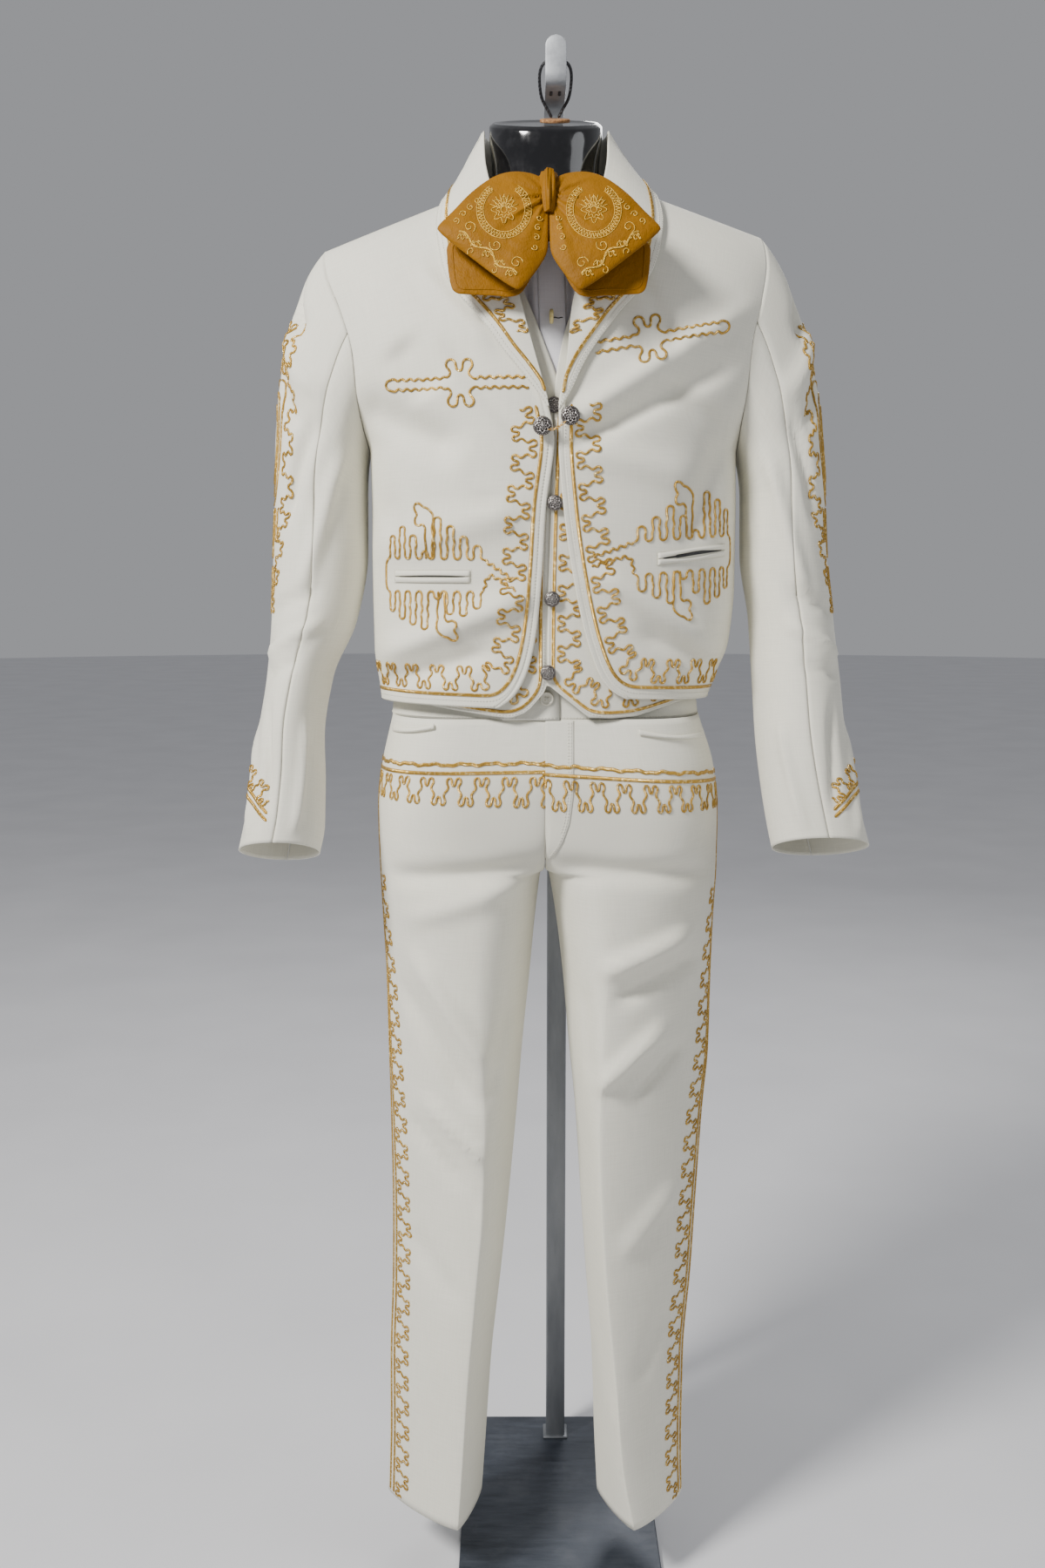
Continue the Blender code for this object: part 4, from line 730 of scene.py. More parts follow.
def ear_route():
    """Half a figure of the meander, as shares of the pitch and the reach: a narrow stem, a round ear, then
    the round dip in the middle. The other half is its mirror."""
    ear = np.radians(np.linspace(212, -16, 17))
    dip = np.radians(np.linspace(184, 270, 7))
    stem = [(0.000, 0.00), (0.040, 0.09), (0.072, 0.21), (0.070, 0.34), (0.042, 0.46)]
    return np.vstack([stem, np.stack([0.087 + 0.098 * np.cos(ear), 0.715 + 0.290 * np.sin(ear)], -1),
                      np.stack([0.250 + 0.062 * np.cos(dip), 0.560 + 0.200 * np.sin(dip)], -1)])


EARS = ear_route()
FIGURE = np.vstack([EARS, (EARS * (-1, 1) + (0.5, 0))[-2::-1]])


def greca(path, pitch, reach, side=1.0):
    """The meander along a base path: figures with two parted ears, turned up and down by turns."""
    base = soften(resample(path, 0.001), 10)
    run = run_of(base)
    units = max(int(round(run[-1] / pitch)), 1)
    one = np.vstack([FIGURE[:-1], (FIGURE * (1, -1) + (0.5, 0))[:-1]])
    route = np.vstack([one + (i, 0) for i in range(units)] + [[(units, 0.0)]]) * (run[-1] / units, reach)
    route = resample(soften(resample(route, 0.0007), 1, 2), 0.0020)
    along = np.clip(route[:, 0], 0, run[-1])
    tangent = unit(np.gradient(base, axis=0))
    left = np.stack([-tangent[:, 1], tangent[:, 0]], -1)
    read = lambda values: np.stack([np.interp(along, run, c) for c in values.T], -1)
    return read(base) + side * route[:, 1:] * unit(read(left))


def waved(route, pitch=0.0085, height=0.0014):
    """A small even wave along a route, faded at both ends."""
    base = soften(resample(np.array(route, float), 0.0008), 4)
    run = run_of(base)
    tangent = unit(np.gradient(base, axis=0))
    fade = np.clip(np.minimum(run, run[-1] - run) / 0.003, 0, 1)
    wave = height * fade * np.sin(2 * math.pi * run / pitch)
    return base + wave[:, None] * np.stack([-tangent[:, 1], tangent[:, 0]], -1)


def chest_motif(tip, root, middle_share):
    """Two wavy lines, 11 mm apart, from the root to a round tip, each with a pair of lobes on the way."""
    tip, root = np.array(tip, float), np.array(root, float)
    length = np.linalg.norm(tip - root)
    tangent = (tip - root) / length
    left = np.array((-tangent[1], tangent[0]))
    gap, lobes, tall = 0.0050, 0.026, 0.0185
    middle = middle_share * length
    wave = lambda at: gap + 0.0019 * np.sin(2 * math.pi * at / 0.0092)
    near = np.arange(0, middle - lobes * 0.52, 0.001)
    far = np.arange(middle + lobes * 0.52, length - 0.004, 0.001)
    figure = resample(FIGURE * (2 * lobes, tall), 0.0009) + (middle - lobes / 2, gap)
    run = np.vstack([np.stack([near, wave(near)], -1), figure, np.stack([far, wave(far)], -1)])
    runs = [run * (1, side) for side in (1.0, -1.0)]
    turn = np.linspace(math.pi / 2, -math.pi / 2, 16)[1:-1]
    cap = np.stack([length - 0.004 + 0.0075 * np.cos(turn), gap * 1.15 * np.sin(turn)], -1)
    line = np.vstack([runs[0], cap, runs[1][::-1]])
    line = soften(line, 2, 1)
    return resample(root + line[:, :1] * tangent + line[:, 1:] * left, 0.0012)


def comb(base, heights, up=1.0, loops=None, sway=0.0010, gap_at=None, low_at=None):
    """Tall narrow loops over a base line, as high as heights says across it. The line goes up and down
    with half circles at both ends, and its long runs sway. The loop gap_at is left out and
    low_at is kept low."""
    base, heights = np.array(base, float), np.array(heights, float)
    length = base[-1, 0] - base[0, 0]
    loops = loops or int(round(abs(length) / 0.0150))
    radius = abs(length) / loops / 4
    way = math.copysign(1.0, length)
    turn = np.linspace(0, math.pi / 2, 6)
    points = []
    for k in range(loops):
        tall = float(np.interp((k + 0.5) / loops, heights[:, 0], heights[:, 1]))
        tall = max(min(tall, 0.024 if k == low_at else tall), 2.2 * radius) if k != gap_at else 2.2 * radius
        rise = np.linspace(radius, tall - radius, max(int(tall / 0.002), 2))
        bend = (sway * np.sin(2 * math.pi * rise / 0.0135 + 1.9 * k)
                * np.sin(math.pi * (rise - radius) / max(tall - 2 * radius, 1e-6)))
        left = [(radius * math.sin(a), radius - radius * math.cos(a)) for a in turn[:-1]]
        left += list(np.stack([radius + bend, rise], -1))
        top = [(2 * radius - 1.12 * radius * math.cos(a), tall - radius + radius * math.sin(a))
               for a in np.linspace(0, math.pi, 12)]
        right = list(np.stack([3 * radius - bend, rise], -1)[::-1])
        right += [(4 * radius - radius * math.sin(a), radius - radius * math.cos(a)) for a in turn[::-1]]
        points += [(4 * radius * k + x, y) for x, y in left + top + right]
    points = soften(resample(np.array(points), 0.0010), 1, 2)
    x = base[0, 0] + way * points[:, 0]
    line = np.interp(x, *(base[np.argsort(base[:, 0])].T))
    return np.stack([x, line + up * points[:, 1]], -1)


def horn(foot, up=1.0, lean=1.0, tall=0.052):
    """The tall curled figure that crowns a comb: up one side with a hooked top and down the other."""
    route = np.array([(-0.0035, 0.000), (-0.0035, 0.012), (-0.0047, 0.021),
                      (-0.0040, 0.029), (-0.0075, 0.033),
                      (-0.0125, 0.031), (-0.0168, 0.033), (-0.0172, 0.038),
                      (-0.0142, 0.0415), (-0.0168, 0.045),
                      (-0.0187, 0.049), (-0.0165, 0.0530), (-0.0115, 0.0525),
                      (-0.0075, 0.0490), (-0.0035, 0.0485),
                      (0.0008, 0.0455), (0.0044, 0.042), (0.0050, 0.036), (0.0035, 0.029), (0.0049, 0.021),
                      (0.0035, 0.012), (0.0035, 0.000)])
    route = route * (lean, up * tall / 0.052)
    return soften(resample(np.array(foot, float) + route, 0.0010), 1)


def concentric(centre, half_wide, half_tall, rings=3, gap=0.0062):
    """Ovals inside each other, each closed."""
    turn = np.linspace(0, 2 * math.pi, 90)
    return [np.stack([centre[0] + (half_wide - i * gap) * np.sin(turn),
                      centre[1] + (half_tall - i * gap * 1.4) * np.cos(turn)], -1) for i in range(rings)]


def on(surface, paths, lift):
    """Each flat path laid on a surface, as (points, normals)."""
    return [surface.lay(path[:, 0], path[:, 1], lift) for path in paths]


BRAID_LIFT = 0.0002
LINE_WIDTH, LINE_THICK = 0.0036, 0.0011         # the straight braid
CORD_WIDTH, CORD_THICK = 0.0027, 0.0012         # the meander


def gold_lines(name, surface, paths, node=None, width=LINE_WIDTH, thick=LINE_THICK, extra=0.0):
    paths = [resample(path, 0.0025) for path in paths]
    return trim(name, on(surface, paths, BRAID_LIFT + extra), BRAID_SECTION, width, thick,
                finish("gold_braid"), "gold_braid", node)


def gold_meander(name, surface, paths, node=None, width=CORD_WIDTH, thick=CORD_THICK, extra=0.0):
    return trim(name, on(surface, paths, BRAID_LIFT + extra), MEANDER_SECTION, width, thick,
                finish("gold_braid"), "gold_braid", node)


# ---- finishes -----------------------------------------------------------------------------------
class Finish:
    """A node tree being built for one finish: links are made as nodes are added."""

    def __init__(self, name, roughness, metallic=0.0, **constants):
        self.material = bpy.data.materials.new(name)
        self.material.use_nodes = True
        self.nodes = self.material.node_tree.nodes
        self.links = self.material.node_tree.links
        self.shader = self.nodes["Principled BSDF"]
        self.shader.inputs["Roughness"].default_value = roughness
        self.shader.inputs["Metallic"].default_value = metallic
        for socket, value in constants.items():
            self.shader.inputs[socket.replace("_", " ")].default_value = value

    def add(self, kind, inputs=None, **settings):
        """A node with its settings and inputs; an input is a value or another node's output."""
        made = self.nodes.new(kind)
        for key, value in settings.items():
            setattr(made, key, value)
        for key, value in (inputs or {}).items():
            if isinstance(value, bpy.types.NodeSocket):
                self.links.new(value, made.inputs[key])
            else:
                made.inputs[key].default_value = value
        return made

    def coordinates(self, source="Object"):
        return self.add("ShaderNodeTexCoord").outputs[source]

    def scaled(self, vector, scale):
        return self.add("ShaderNodeMapping", {"Vector": vector, "Scale": scale}).outputs[0]

    def noise(self, vector, scale, detail=2.0, roughness=0.5):
        return self.add("ShaderNodeTexNoise", {"Vector": vector, "Scale": scale, "Detail": detail,
                                               "Roughness": roughness}).outputs["Fac"]

    def maths(self, operation, first, second=0.0, third=0.0):
        made = self.add("ShaderNodeMath", operation=operation)
        for socket, value in zip(made.inputs, (first, second, third)):
            if isinstance(value, bpy.types.NodeSocket):
                self.links.new(value, socket)
            else:
                socket.default_value = value
        return made.outputs[0]

    def ramp(self, factor, stops):
        """A colour ramp; stops are (place, colour)."""
        made = self.add("ShaderNodeValToRGB", {"Fac": factor})
        while len(made.color_ramp.elements) < len(stops):
            made.color_ramp.elements.new(0.5)
        for element, (spot, colour) in zip(made.color_ramp.elements, stops):
            element.position = spot
            element.color = (*colour, 1.0)
        return made.outputs["Color"]

    def mix(self, factor, first, second, blend="MIX"):
        made = self.add("ShaderNodeMix", data_type="RGBA", blend_type=blend)
        for socket, value in ((made.inputs[0], factor), (made.inputs[6], first), (made.inputs[7], second)):
            if isinstance(value, bpy.types.NodeSocket):
                self.links.new(value, socket)
            else:
                socket.default_value = value if isinstance(value, float) else (*value[:3], 1.0)
        return made.outputs[2]

    def colour(self, socket):
        self.links.new(socket, self.shader.inputs["Base Color"])

    def rough(self, socket):
        self.links.new(socket, self.shader.inputs["Roughness"])

    def bump(self, height, distance, strength=1.0):
        made = self.add("ShaderNodeBump", {"Height": height, "Distance": distance, "Strength": strength})
        self.links.new(made.outputs["Normal"], self.shader.inputs["Normal"])


def tone(colour, factor):
    return tuple(min(c * factor, 1.0) for c in colour)


def woven(name, colour, roughness, sheen, twill=0.0016, depth=0.00010, mottle=0.05):
    """Suiting: fine diagonal ribs with uneven threads, faint patches of tone, and a soft sheen."""
    made = Finish(name, roughness, Sheen_Weight=sheen, Sheen_Roughness=0.45)
    made.shader.inputs["Sheen Tint"].default_value = (1.0, 0.98, 0.93, 1.0)
    made.shader.inputs["Specular IOR Level"].default_value = 0.25
    flat = made.coordinates("UV")
    split = made.add("ShaderNodeSeparateXYZ", {"Vector": flat})
    ribs = made.maths("SINE", made.maths("MULTIPLY", made.maths("ADD", split.outputs[0], split.outputs[1]),
                                         2 * math.pi / twill))
    warp = made.noise(made.scaled(flat, (700.0, 30.0, 1.0)), 1.0)
    weft = made.noise(made.scaled(flat, (30.0, 700.0, 1.0)), 1.0)
    threads = made.maths("ADD", warp, weft)
    height = made.maths("MULTIPLY_ADD", ribs, 0.18, threads)
    patches = made.noise(made.coordinates(), 5.0, 4.0, 0.6)
    base = made.ramp(patches, [(0.30, tone(colour, 1 - mottle)), (0.70, tone(colour, 1 + mottle * 0.4))])
    grain = made.ramp(made.maths("MULTIPLY", threads, 0.5),
                      [(0.35, (0.93, 0.93, 0.925)), (0.62, (1.0, 1.0, 1.0))])
    made.base = made.mix(1.0, base, grain, "MULTIPLY")
    made.colour(made.base)
    made.bump(height, depth)
    return made


def ivory_gabardine(colours):
    return woven("ivory_gabardine", colours.cloth, 0.70, 0.18)


def trouser_gabardine(colours):
    """The suit's cloth: thin over the black form, with painted shade at the crotch and one small rust speck near a
    hem.
    """
    made = woven("ivory_gabardine_trousers", colours.cloth, 0.70, 0.18)
    place = made.coordinates()
    split = made.add("ShaderNodeSeparateXYZ", {"Vector": place})
    spot = made.add("ShaderNodeVectorMath", {0: place, 1: (0.0968, -0.165, 0.1533)}, operation="DISTANCE")
    far = made.maths("ADD", spot.outputs["Value"], made.maths("MULTIPLY", made.noise(place, 260.0), 0.006))
    speck = made.ramp(far, [(0.0045, (1, 1, 1)), (0.0090, (0, 0, 0))])
    # a darker band across the crotch: partly the black form showing through the thin cloth, partly painted shade at
    # the crotch
    high = made.maths("SUBTRACT", split.outputs[2], 0.905)
    wide = made.maths("MULTIPLY", made.maths("ADD", split.outputs[0], 0.02), 0.42)
    reach = made.maths("SQRT", made.maths("ADD", made.maths("MULTIPLY", high, high),
                                          made.maths("MULTIPLY", wide, wide)))
    shade = made.ramp(reach, [(0.030, (0.80, 0.80, 0.80)), (0.066, (0, 0, 0))])
    through = made.mix(shade, made.base, tone(colours.cloth, 0.80))
    made.colour(made.mix(speck, through, (0.35, 0.18, 0.07)))
    return made


def white_shirting(colours):
    made = woven("white_shirting", colours.shirt, 0.60, 0.10, 0.0009, 0.00005, 0.03)
    return made


def sewing_thread(colours):
    made = Finish("ivory_thread", 0.55, Sheen_Weight=0.2)
    made.colour(made.ramp(made.noise(made.coordinates(), 400.0), [(0.3, tone(colours.cloth, 0.84)),
                                                                  (0.7, tone(colours.cloth, 1.0))]))
    return made


def gold_braid(colours):
    """Metal-wrapped cord: slanted wraps with painted highlights on top, painted shade between, painted glints."""
    made = Finish("gold_braid", 0.34, 0.85)
    split = made.add("ShaderNodeSeparateXYZ", {"Vector": made.coordinates("UV")})
    fold = made.maths("ABSOLUTE", made.maths("SUBTRACT", split.outputs[1], 0.43))
    slant = made.maths("MULTIPLY_ADD", fold, 0.0042, split.outputs[0])
    wraps = made.maths("SINE", made.maths("MULTIPLY", slant, 2 * math.pi / 0.0017))
    height = made.maths("MULTIPLY_ADD", wraps, 0.5, 0.5)
    glint = made.noise(made.coordinates(), 330.0, 2.0)
    wear = made.noise(made.coordinates(), 30.0, 3.0)
    # painted shade between the wraps and painted highlights on their crests, read from the wraps' height
    colour = made.ramp(height, [(0.0, tone(colours.gold, 0.38)), (0.45, tone(colours.gold, 0.9)),
                                (1.0, tone(colours.gold, 1.35))])
    # painted glints: where the glint noise is high the colour goes to the glint colour
    painted_glint_mask = made.ramp(glint, [(0.52, (0, 0, 0)), (0.70, (1, 1, 1))])
    colour = made.mix(painted_glint_mask, colour, tone(colours.gold_painted_glint, 1.0))
    dull = made.ramp(wear, [(0.30, (0.80, 0.78, 0.75)), (0.65, (1, 1, 1))])
    made.colour(made.mix(1.0, colour, dull, "MULTIPLY"))
    made.rough(made.maths("MULTIPLY_ADD", glint, -0.30, 0.52))
    made.bump(made.maths("MULTIPLY_ADD", glint, 0.5, height), 0.00035)
    return made


def gold_thread(colours):
    """Flat machine embroidery in shiny thread: its stitches' run as fine ribs, with painted shade and highlight."""
    made = Finish("gold_embroidery", 0.36, 0.45)
    split = made.add("ShaderNodeSeparateXYZ", {"Vector": made.coordinates("UV")})
    ribs = made.maths("SINE", made.maths("MULTIPLY", split.outputs[0], 2 * math.pi / 0.0010))
    uneven = made.noise(made.coordinates(), 500.0, 2.0)
    # painted shade between the ribs and painted highlight on them, over an uneven tone of the thread
    colour = made.ramp(made.maths("MULTIPLY_ADD", ribs, 0.25, uneven),
                       [(0.30, (0.42, 0.23, 0.02)), (0.55, (0.68, 0.42, 0.05)), (0.80, (0.95, 0.66, 0.15))])
    made.colour(colour)
    made.bump(made.maths("MULTIPLY_ADD", ribs, 0.4, uneven), 0.0002)
    return made


def caramel_satin(colours):
    """Satin-faced cotton: a fine twill with painted shade in its hollows, and a broad soft sheen."""
    made = Finish("caramel_satin", 0.55, Sheen_Weight=0.08, Sheen_Roughness=0.30, Specular_IOR_Level=0.12)
    made.shader.inputs["Sheen Tint"].default_value = (1.0, 0.72, 0.35, 1.0)
    place = made.coordinates()
    fine = made.noise(made.scaled(place, (900.0, 900.0, 300.0)), 1.0)
    patches = made.noise(place, 26.0, 3.0)
    # painted shade in the twill's hollows, over random patches of tone
    made.colour(made.mix(made.maths("MULTIPLY", fine, 0.35),
                         made.ramp(patches, [(0.3, tone(colours.bow, 0.80)), (0.7, tone(colours.bow, 1.12))]),
                         tone(colours.bow, 0.62)))
    puckers = made.noise(place, 150.0, 3.0, 0.6)
    made.bump(made.maths("MULTIPLY_ADD", puckers, 3.0, fine), 0.00035)
    return made


def antique_silver(colours):
    """Cast filigree: bright on its ridges and black in its recesses, read from the piece's relief."""
    made = Finish("antique_silver", 0.30, 1.0)
    relief = made.add("ShaderNodeAttribute", attribute_name="relief").outputs["Fac"]
    grime = made.noise(made.coordinates(), 900.0, 3.0)
    depth = made.maths("MULTIPLY_ADD", made.maths("SUBTRACT", grime, 0.5), 0.5, relief)
    made.colour(made.ramp(depth, [(0.25, (0.035, 0.030, 0.028)), (0.55, (0.30, 0.27, 0.25)),
                                  (0.85, (0.72, 0.69, 0.66))]))
    made.rough(made.maths("MULTIPLY_ADD", depth, -0.35, 0.62))
    made.bump(grime, 0.00015)
    return made


def gilt_chain(colours):
    made = Finish("gilt_chain", 0.28, 1.0)
    made.colour(made.ramp(made.noise(made.coordinates(), 500.0),
                          [(0.3, (0.42, 0.22, 0.05)), (0.7, (0.80, 0.52, 0.18))]))
    return made


def bone_button(colours):
    made = Finish("bone_button", 0.33, Coat_Weight=0.3)
    made.colour(made.ramp(made.noise(made.coordinates(), 180.0, 3.0),
                          [(0.3, (0.60, 0.46, 0.14)), (0.7, (0.80, 0.68, 0.32))]))
    made.bump(made.noise(made.coordinates(), 900.0), 0.00005)
    return made


def waist_button(colours):
    made = Finish("cream_button", 0.35, Coat_Weight=0.3)
    made.colour(made.ramp(made.noise(made.coordinates(), 180.0, 3.0),
                          [(0.3, (0.66, 0.62, 0.49)), (0.7, (0.78, 0.75, 0.62))]))
    made.bump(made.noise(made.coordinates(), 900.0), 0.00005)
    return made


def gloss_black(colours):
    """Moulded form: glossy black with a faint haze of dust and fine scuffs."""
    made = Finish("gloss_black_form", 0.10, Coat_Weight=0.5, Coat_Roughness=0.06)
    place = made.coordinates()
    dust = made.noise(place, 60.0, 5.0, 0.65)
    scuffs = made.noise(made.scaled(place, (260.0, 260.0, 12.0)), 1.0, 2.0)
    made.colour(made.ramp(dust, [(0.45, (0.0035, 0.0035, 0.0045)), (0.85, (0.020, 0.020, 0.022))]))
    made.rough(made.maths("MULTIPLY_ADD", made.maths("MULTIPLY", dust, scuffs), 0.45, 0.02))
    made.bump(made.noise(place, 34.0, 2.0), 0.0003)
    return made


def cork(colours):
    made = Finish("cork_cap", 0.85)
    place = made.coordinates()
    cells = made.add("ShaderNodeTexVoronoi", {"Vector": place, "Scale": 700.0}).outputs["Distance"]
    made.colour(made.ramp(made.noise(place, 420.0, 3.0),
                          [(0.35, (0.20, 0.085, 0.03)), (0.65, (0.48, 0.25, 0.10))]))
    made.bump(cells, 0.0006)
    return made


# dark cord; the same finish colours the dark strips of painted shade in the pocket mouths, the hook's slots and the
# shirt's buttonhole
def dark_cord(colours):
    made = Finish("dark_cord", 0.42)
    split = made.add("ShaderNodeSeparateXYZ", {"Vector": made.coordinates("UV")})
    lay = made.maths("ADD", made.maths("MULTIPLY", split.outputs[0], 2 * math.pi / 0.004),
                     made.maths("MULTIPLY", split.outputs[1], 4 * math.pi))
    twist = made.maths("MULTIPLY_ADD", made.maths("SINE", lay), 0.5, 0.5)
    # painted shade in the twist's grooves and painted highlight on its strands
    made.colour(made.ramp(twist, [(0.0, (0.010, 0.010, 0.012)), (1.0, (0.055, 0.055, 0.060))]))
    made.bump(twist, 0.0006)
    return made


def painted_steel(colours):
    """Powder-coated steel: fine orange peel, rubbed lighter patches and small dark chips."""
    made = Finish("grey_steel", 0.42, 0.35)
    place = made.coordinates()
    peel = made.noise(place, 420.0, 2.0)
    rub = made.noise(made.scaled(place, (30.0, 30.0, 6.0)), 1.0, 4.0, 0.6)
    chips = made.ramp(made.noise(place, 120.0, 4.0, 0.7), [(0.70, (0, 0, 0)), (0.74, (1, 1, 1))])
    base = made.ramp(rub, [(0.30, (0.130, 0.140, 0.155)), (0.70, (0.230, 0.240, 0.255))])
    made.colour(made.mix(chips, base, (0.05, 0.05, 0.055)))
    made.rough(made.maths("MULTIPLY_ADD", rub, 0.30, 0.26))
    made.bump(peel, 0.00012)
    return made


def hook_steel(colours):
    """The hook's light grey coat, scuffed where the loop rubs."""
    made = Finish("light_grey_steel", 0.45, 0.2)
    place = made.coordinates()
    rub = made.noise(place, 45.0, 5.0, 0.65)
    made.colour(made.ramp(rub, [(0.30, (0.30, 0.31, 0.33)), (0.68, (0.50, 0.52, 0.54))]))
    made.rough(made.maths("MULTIPLY_ADD", rub, 0.35, 0.25))
    made.bump(made.noise(place, 500.0), 0.00010)
    return made


def dark_plate(colours):
    made = Finish("dark_plate", 0.36, 0.4)
    place = made.coordinates()
    scuffs = made.noise(made.scaled(place, (14.0, 90.0, 14.0)), 1.0, 5.0, 0.7)
    dust = made.noise(place, 18.0, 5.0, 0.6)
    base = made.ramp(scuffs, [(0.30, (0.030, 0.037, 0.050)), (0.75, (0.080, 0.092, 0.115))])
    made.colour(made.mix(made.ramp(dust, [(0.50, (0, 0, 0)), (0.80, (0.4, 0.4, 0.4))]),
                         base, (0.16, 0.17, 0.19)))
    made.rough(made.maths("MULTIPLY_ADD", scuffs, 0.40, 0.20))
    made.bump(made.noise(place, 700.0), 0.00008)
    return made


FINISHES = {
    "ivory_gabardine": ivory_gabardine, "trouser_gabardine": trouser_gabardine,
    "white_shirting": white_shirting, "ivory_thread": sewing_thread, "gold_braid": gold_braid,
    "gold_embroidery": gold_thread, "caramel_satin": caramel_satin, "antique_silver": antique_silver,
    "gilt_chain": gilt_chain, "bone_button": bone_button, "cream_button": waist_button,
    "gloss_black_form": gloss_black, "cork_cap": cork, "dark_cord": dark_cord,
    "grey_steel": painted_steel, "light_grey_steel": hook_steel, "dark_plate": dark_plate,
}
MADE_FINISHES = {}


def finish(name):
    """The finish of that name, made the first time that it is asked for."""
    if name not in MADE_FINISHES:
        MADE_FINISHES[name] = FINISHES[name](bpy.context.scene.charro_colours).material
    return MADE_FINISHES[name]


# ---- stage, stand and form ------------------------------------------------------------------------
def block(name, low, high, finish_name, slot, node, bevel=0.0015, segments=3):
    """A rounded block between two corners, given on the stand."""
    corners = np.array([[x, y, z] for z in (0, 1) for y in (0, 1) for x in (0, 1)], float)
    points = np.array(low) + corners * (np.array(high) - np.array(low))
    faces = np.array([(0, 2, 3, 1), (4, 5, 7, 6), (0, 1, 5, 4), (1, 3, 7, 5), (3, 2, 6, 7), (2, 0, 4, 6)])
    mesh = mesh_of(name, points, faces)
    obj = piece(name, mesh, finish(finish_name), node, slot)
    edge = obj.modifiers.new("Edge", "BEVEL")
    edge.width = bevel
    edge.segments = segments
    edge.limit_method = "ANGLE"
    return obj


def solid_of_rings(name, rings, finish_name, slot, node=None, values=None, place=shifted):
    """A closed body from rings of points; the first and last ring shrink to points."""
    middle = lambda ring: np.repeat(ring.mean(axis=0, keepdims=True), len(ring), axis=0)
    grid = np.concatenate([middle(rings[0])[None], rings, middle(rings[-1])[None]])
    labels = None
    if values is not None:
        labels = {k: np.concatenate([v[:1], v, v[-1:]]).ravel() for k, v in values.items()}
    mesh = mesh_of(name, place(grid).reshape(-1, 3), quads_of(*grid.shape[:2], True), values=labels)
    obj = piece(name, mesh, finish(finish_name), node, slot)
    tidy_normals(mesh, 1e-6)
    return obj


def tube(name, path, radius, finish_name, slot, node=None, step=0.0015):
    path = soften(resample(np.array(path, float), step), 3, 2)
    tangent = unit(np.gradient(path, axis=0))
    guide = unit(np.cross(tangent, np.array((0.31, 0.94, 0.12))))
    return trim(name, [(path, guide)], CORD_SECTION, 2 * radius, radius, finish(finish_name), slot, node)


LOOP_ROUTE = table("x y z", [
    (0.0065, 0.0010, 1.6500), (0.0030, 0.0000, 1.6570), (-0.0045, -0.0050, 1.6670),
    (-0.0065, -0.0120, 1.6780), (-0.0070, -0.0190, 1.6870), (-0.0055, -0.0240, 1.6940),
    (-0.0010, -0.0270, 1.6985), (0.0100, -0.0280, 1.7005), (0.0210, -0.0270, 1.6985),
    (0.0255, -0.0240, 1.6940), (0.0270, -0.0190, 1.6870), (0.0265, -0.0120, 1.6780),
    (0.0245, -0.0050, 1.6670), (0.0170, 0.0000, 1.6570), (0.0135, 0.0010, 1.6500),
])


def make_form():
    rows = finer(FORM, 6)
    angle = np.linspace(0, 2 * math.pi, 96, endpoint=False)
    x = rows["half_x"][:, None] * np.sin(angle)
    y = rows["middle_y"][:, None] - rows["half_y"][:, None] * np.cos(angle)
    z = rows["z"][:, None] + rows["tilt"][:, None] * y
    rings = np.stack([x, y, z], -1)
    top = rings[-1]
    centre = top.mean(axis=0)
    lip = np.array([centre + (top - centre) * s - (0, 0, d)
                    for s, d in ((0.93, 0.0004), (0.88, 0.0016), (0.5, 0.0018))])
    solid_of_rings("form_torso_gloss", np.concatenate([rings, lip]), "gloss_black_form",
                   "gloss_black_form", "form_torso")
    turn = np.linspace(0, 2 * math.pi, 48, endpoint=False)
    profile = np.array([(0.0156, 0.0000), (0.0160, 0.0006), (0.0160, 0.0028),
                        (0.0154, 0.0034), (0.0100, 0.0037)])
    slope = math.atan(0.34)
    flat = np.stack([profile[:, :1] * np.sin(turn), profile[:, :1] * np.cos(turn),
                     profile[:, 1:] + 0 * turn], -1)
    tipped = flat @ np.array([(1, 0, 0), (0, math.cos(slope), math.sin(slope)),
                              (0, -math.sin(slope), math.cos(slope))])
    solid_of_rings("form_neck_cap_cork", tipped + (0.010, 0.002, 1.6456), "cork_cap",
                   "cork_cap", "form_neck_cap")
    tube("hanging_loop_cord", np.stack([LOOP_ROUTE[c] for c in "xyz"], -1), 0.0017, "dark_cord", "dark_cord",
         "hanging_loop")


def make_stand():
    plate_low, plate_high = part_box("stand_base")
    block("stand_base_plate", plate_low, plate_high, "dark_plate", "dark_plate", "stand_base", 0.0015)
    post_low, post_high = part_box("stand_post")
    block("stand_post_tube", post_low, post_high, "grey_steel", "grey_steel", "stand_post", 0.0022, 4)
    cap = 0.0015
    block("stand_post_foot_weld", (post_low.x - 0.004, post_low.y - 0.004, plate_high.z - 0.0002),
          (post_high.x + 0.004, post_high.y + 0.004, plate_high.z + 0.003), "grey_steel",
          "grey_steel", None, cap)
    make_hook()


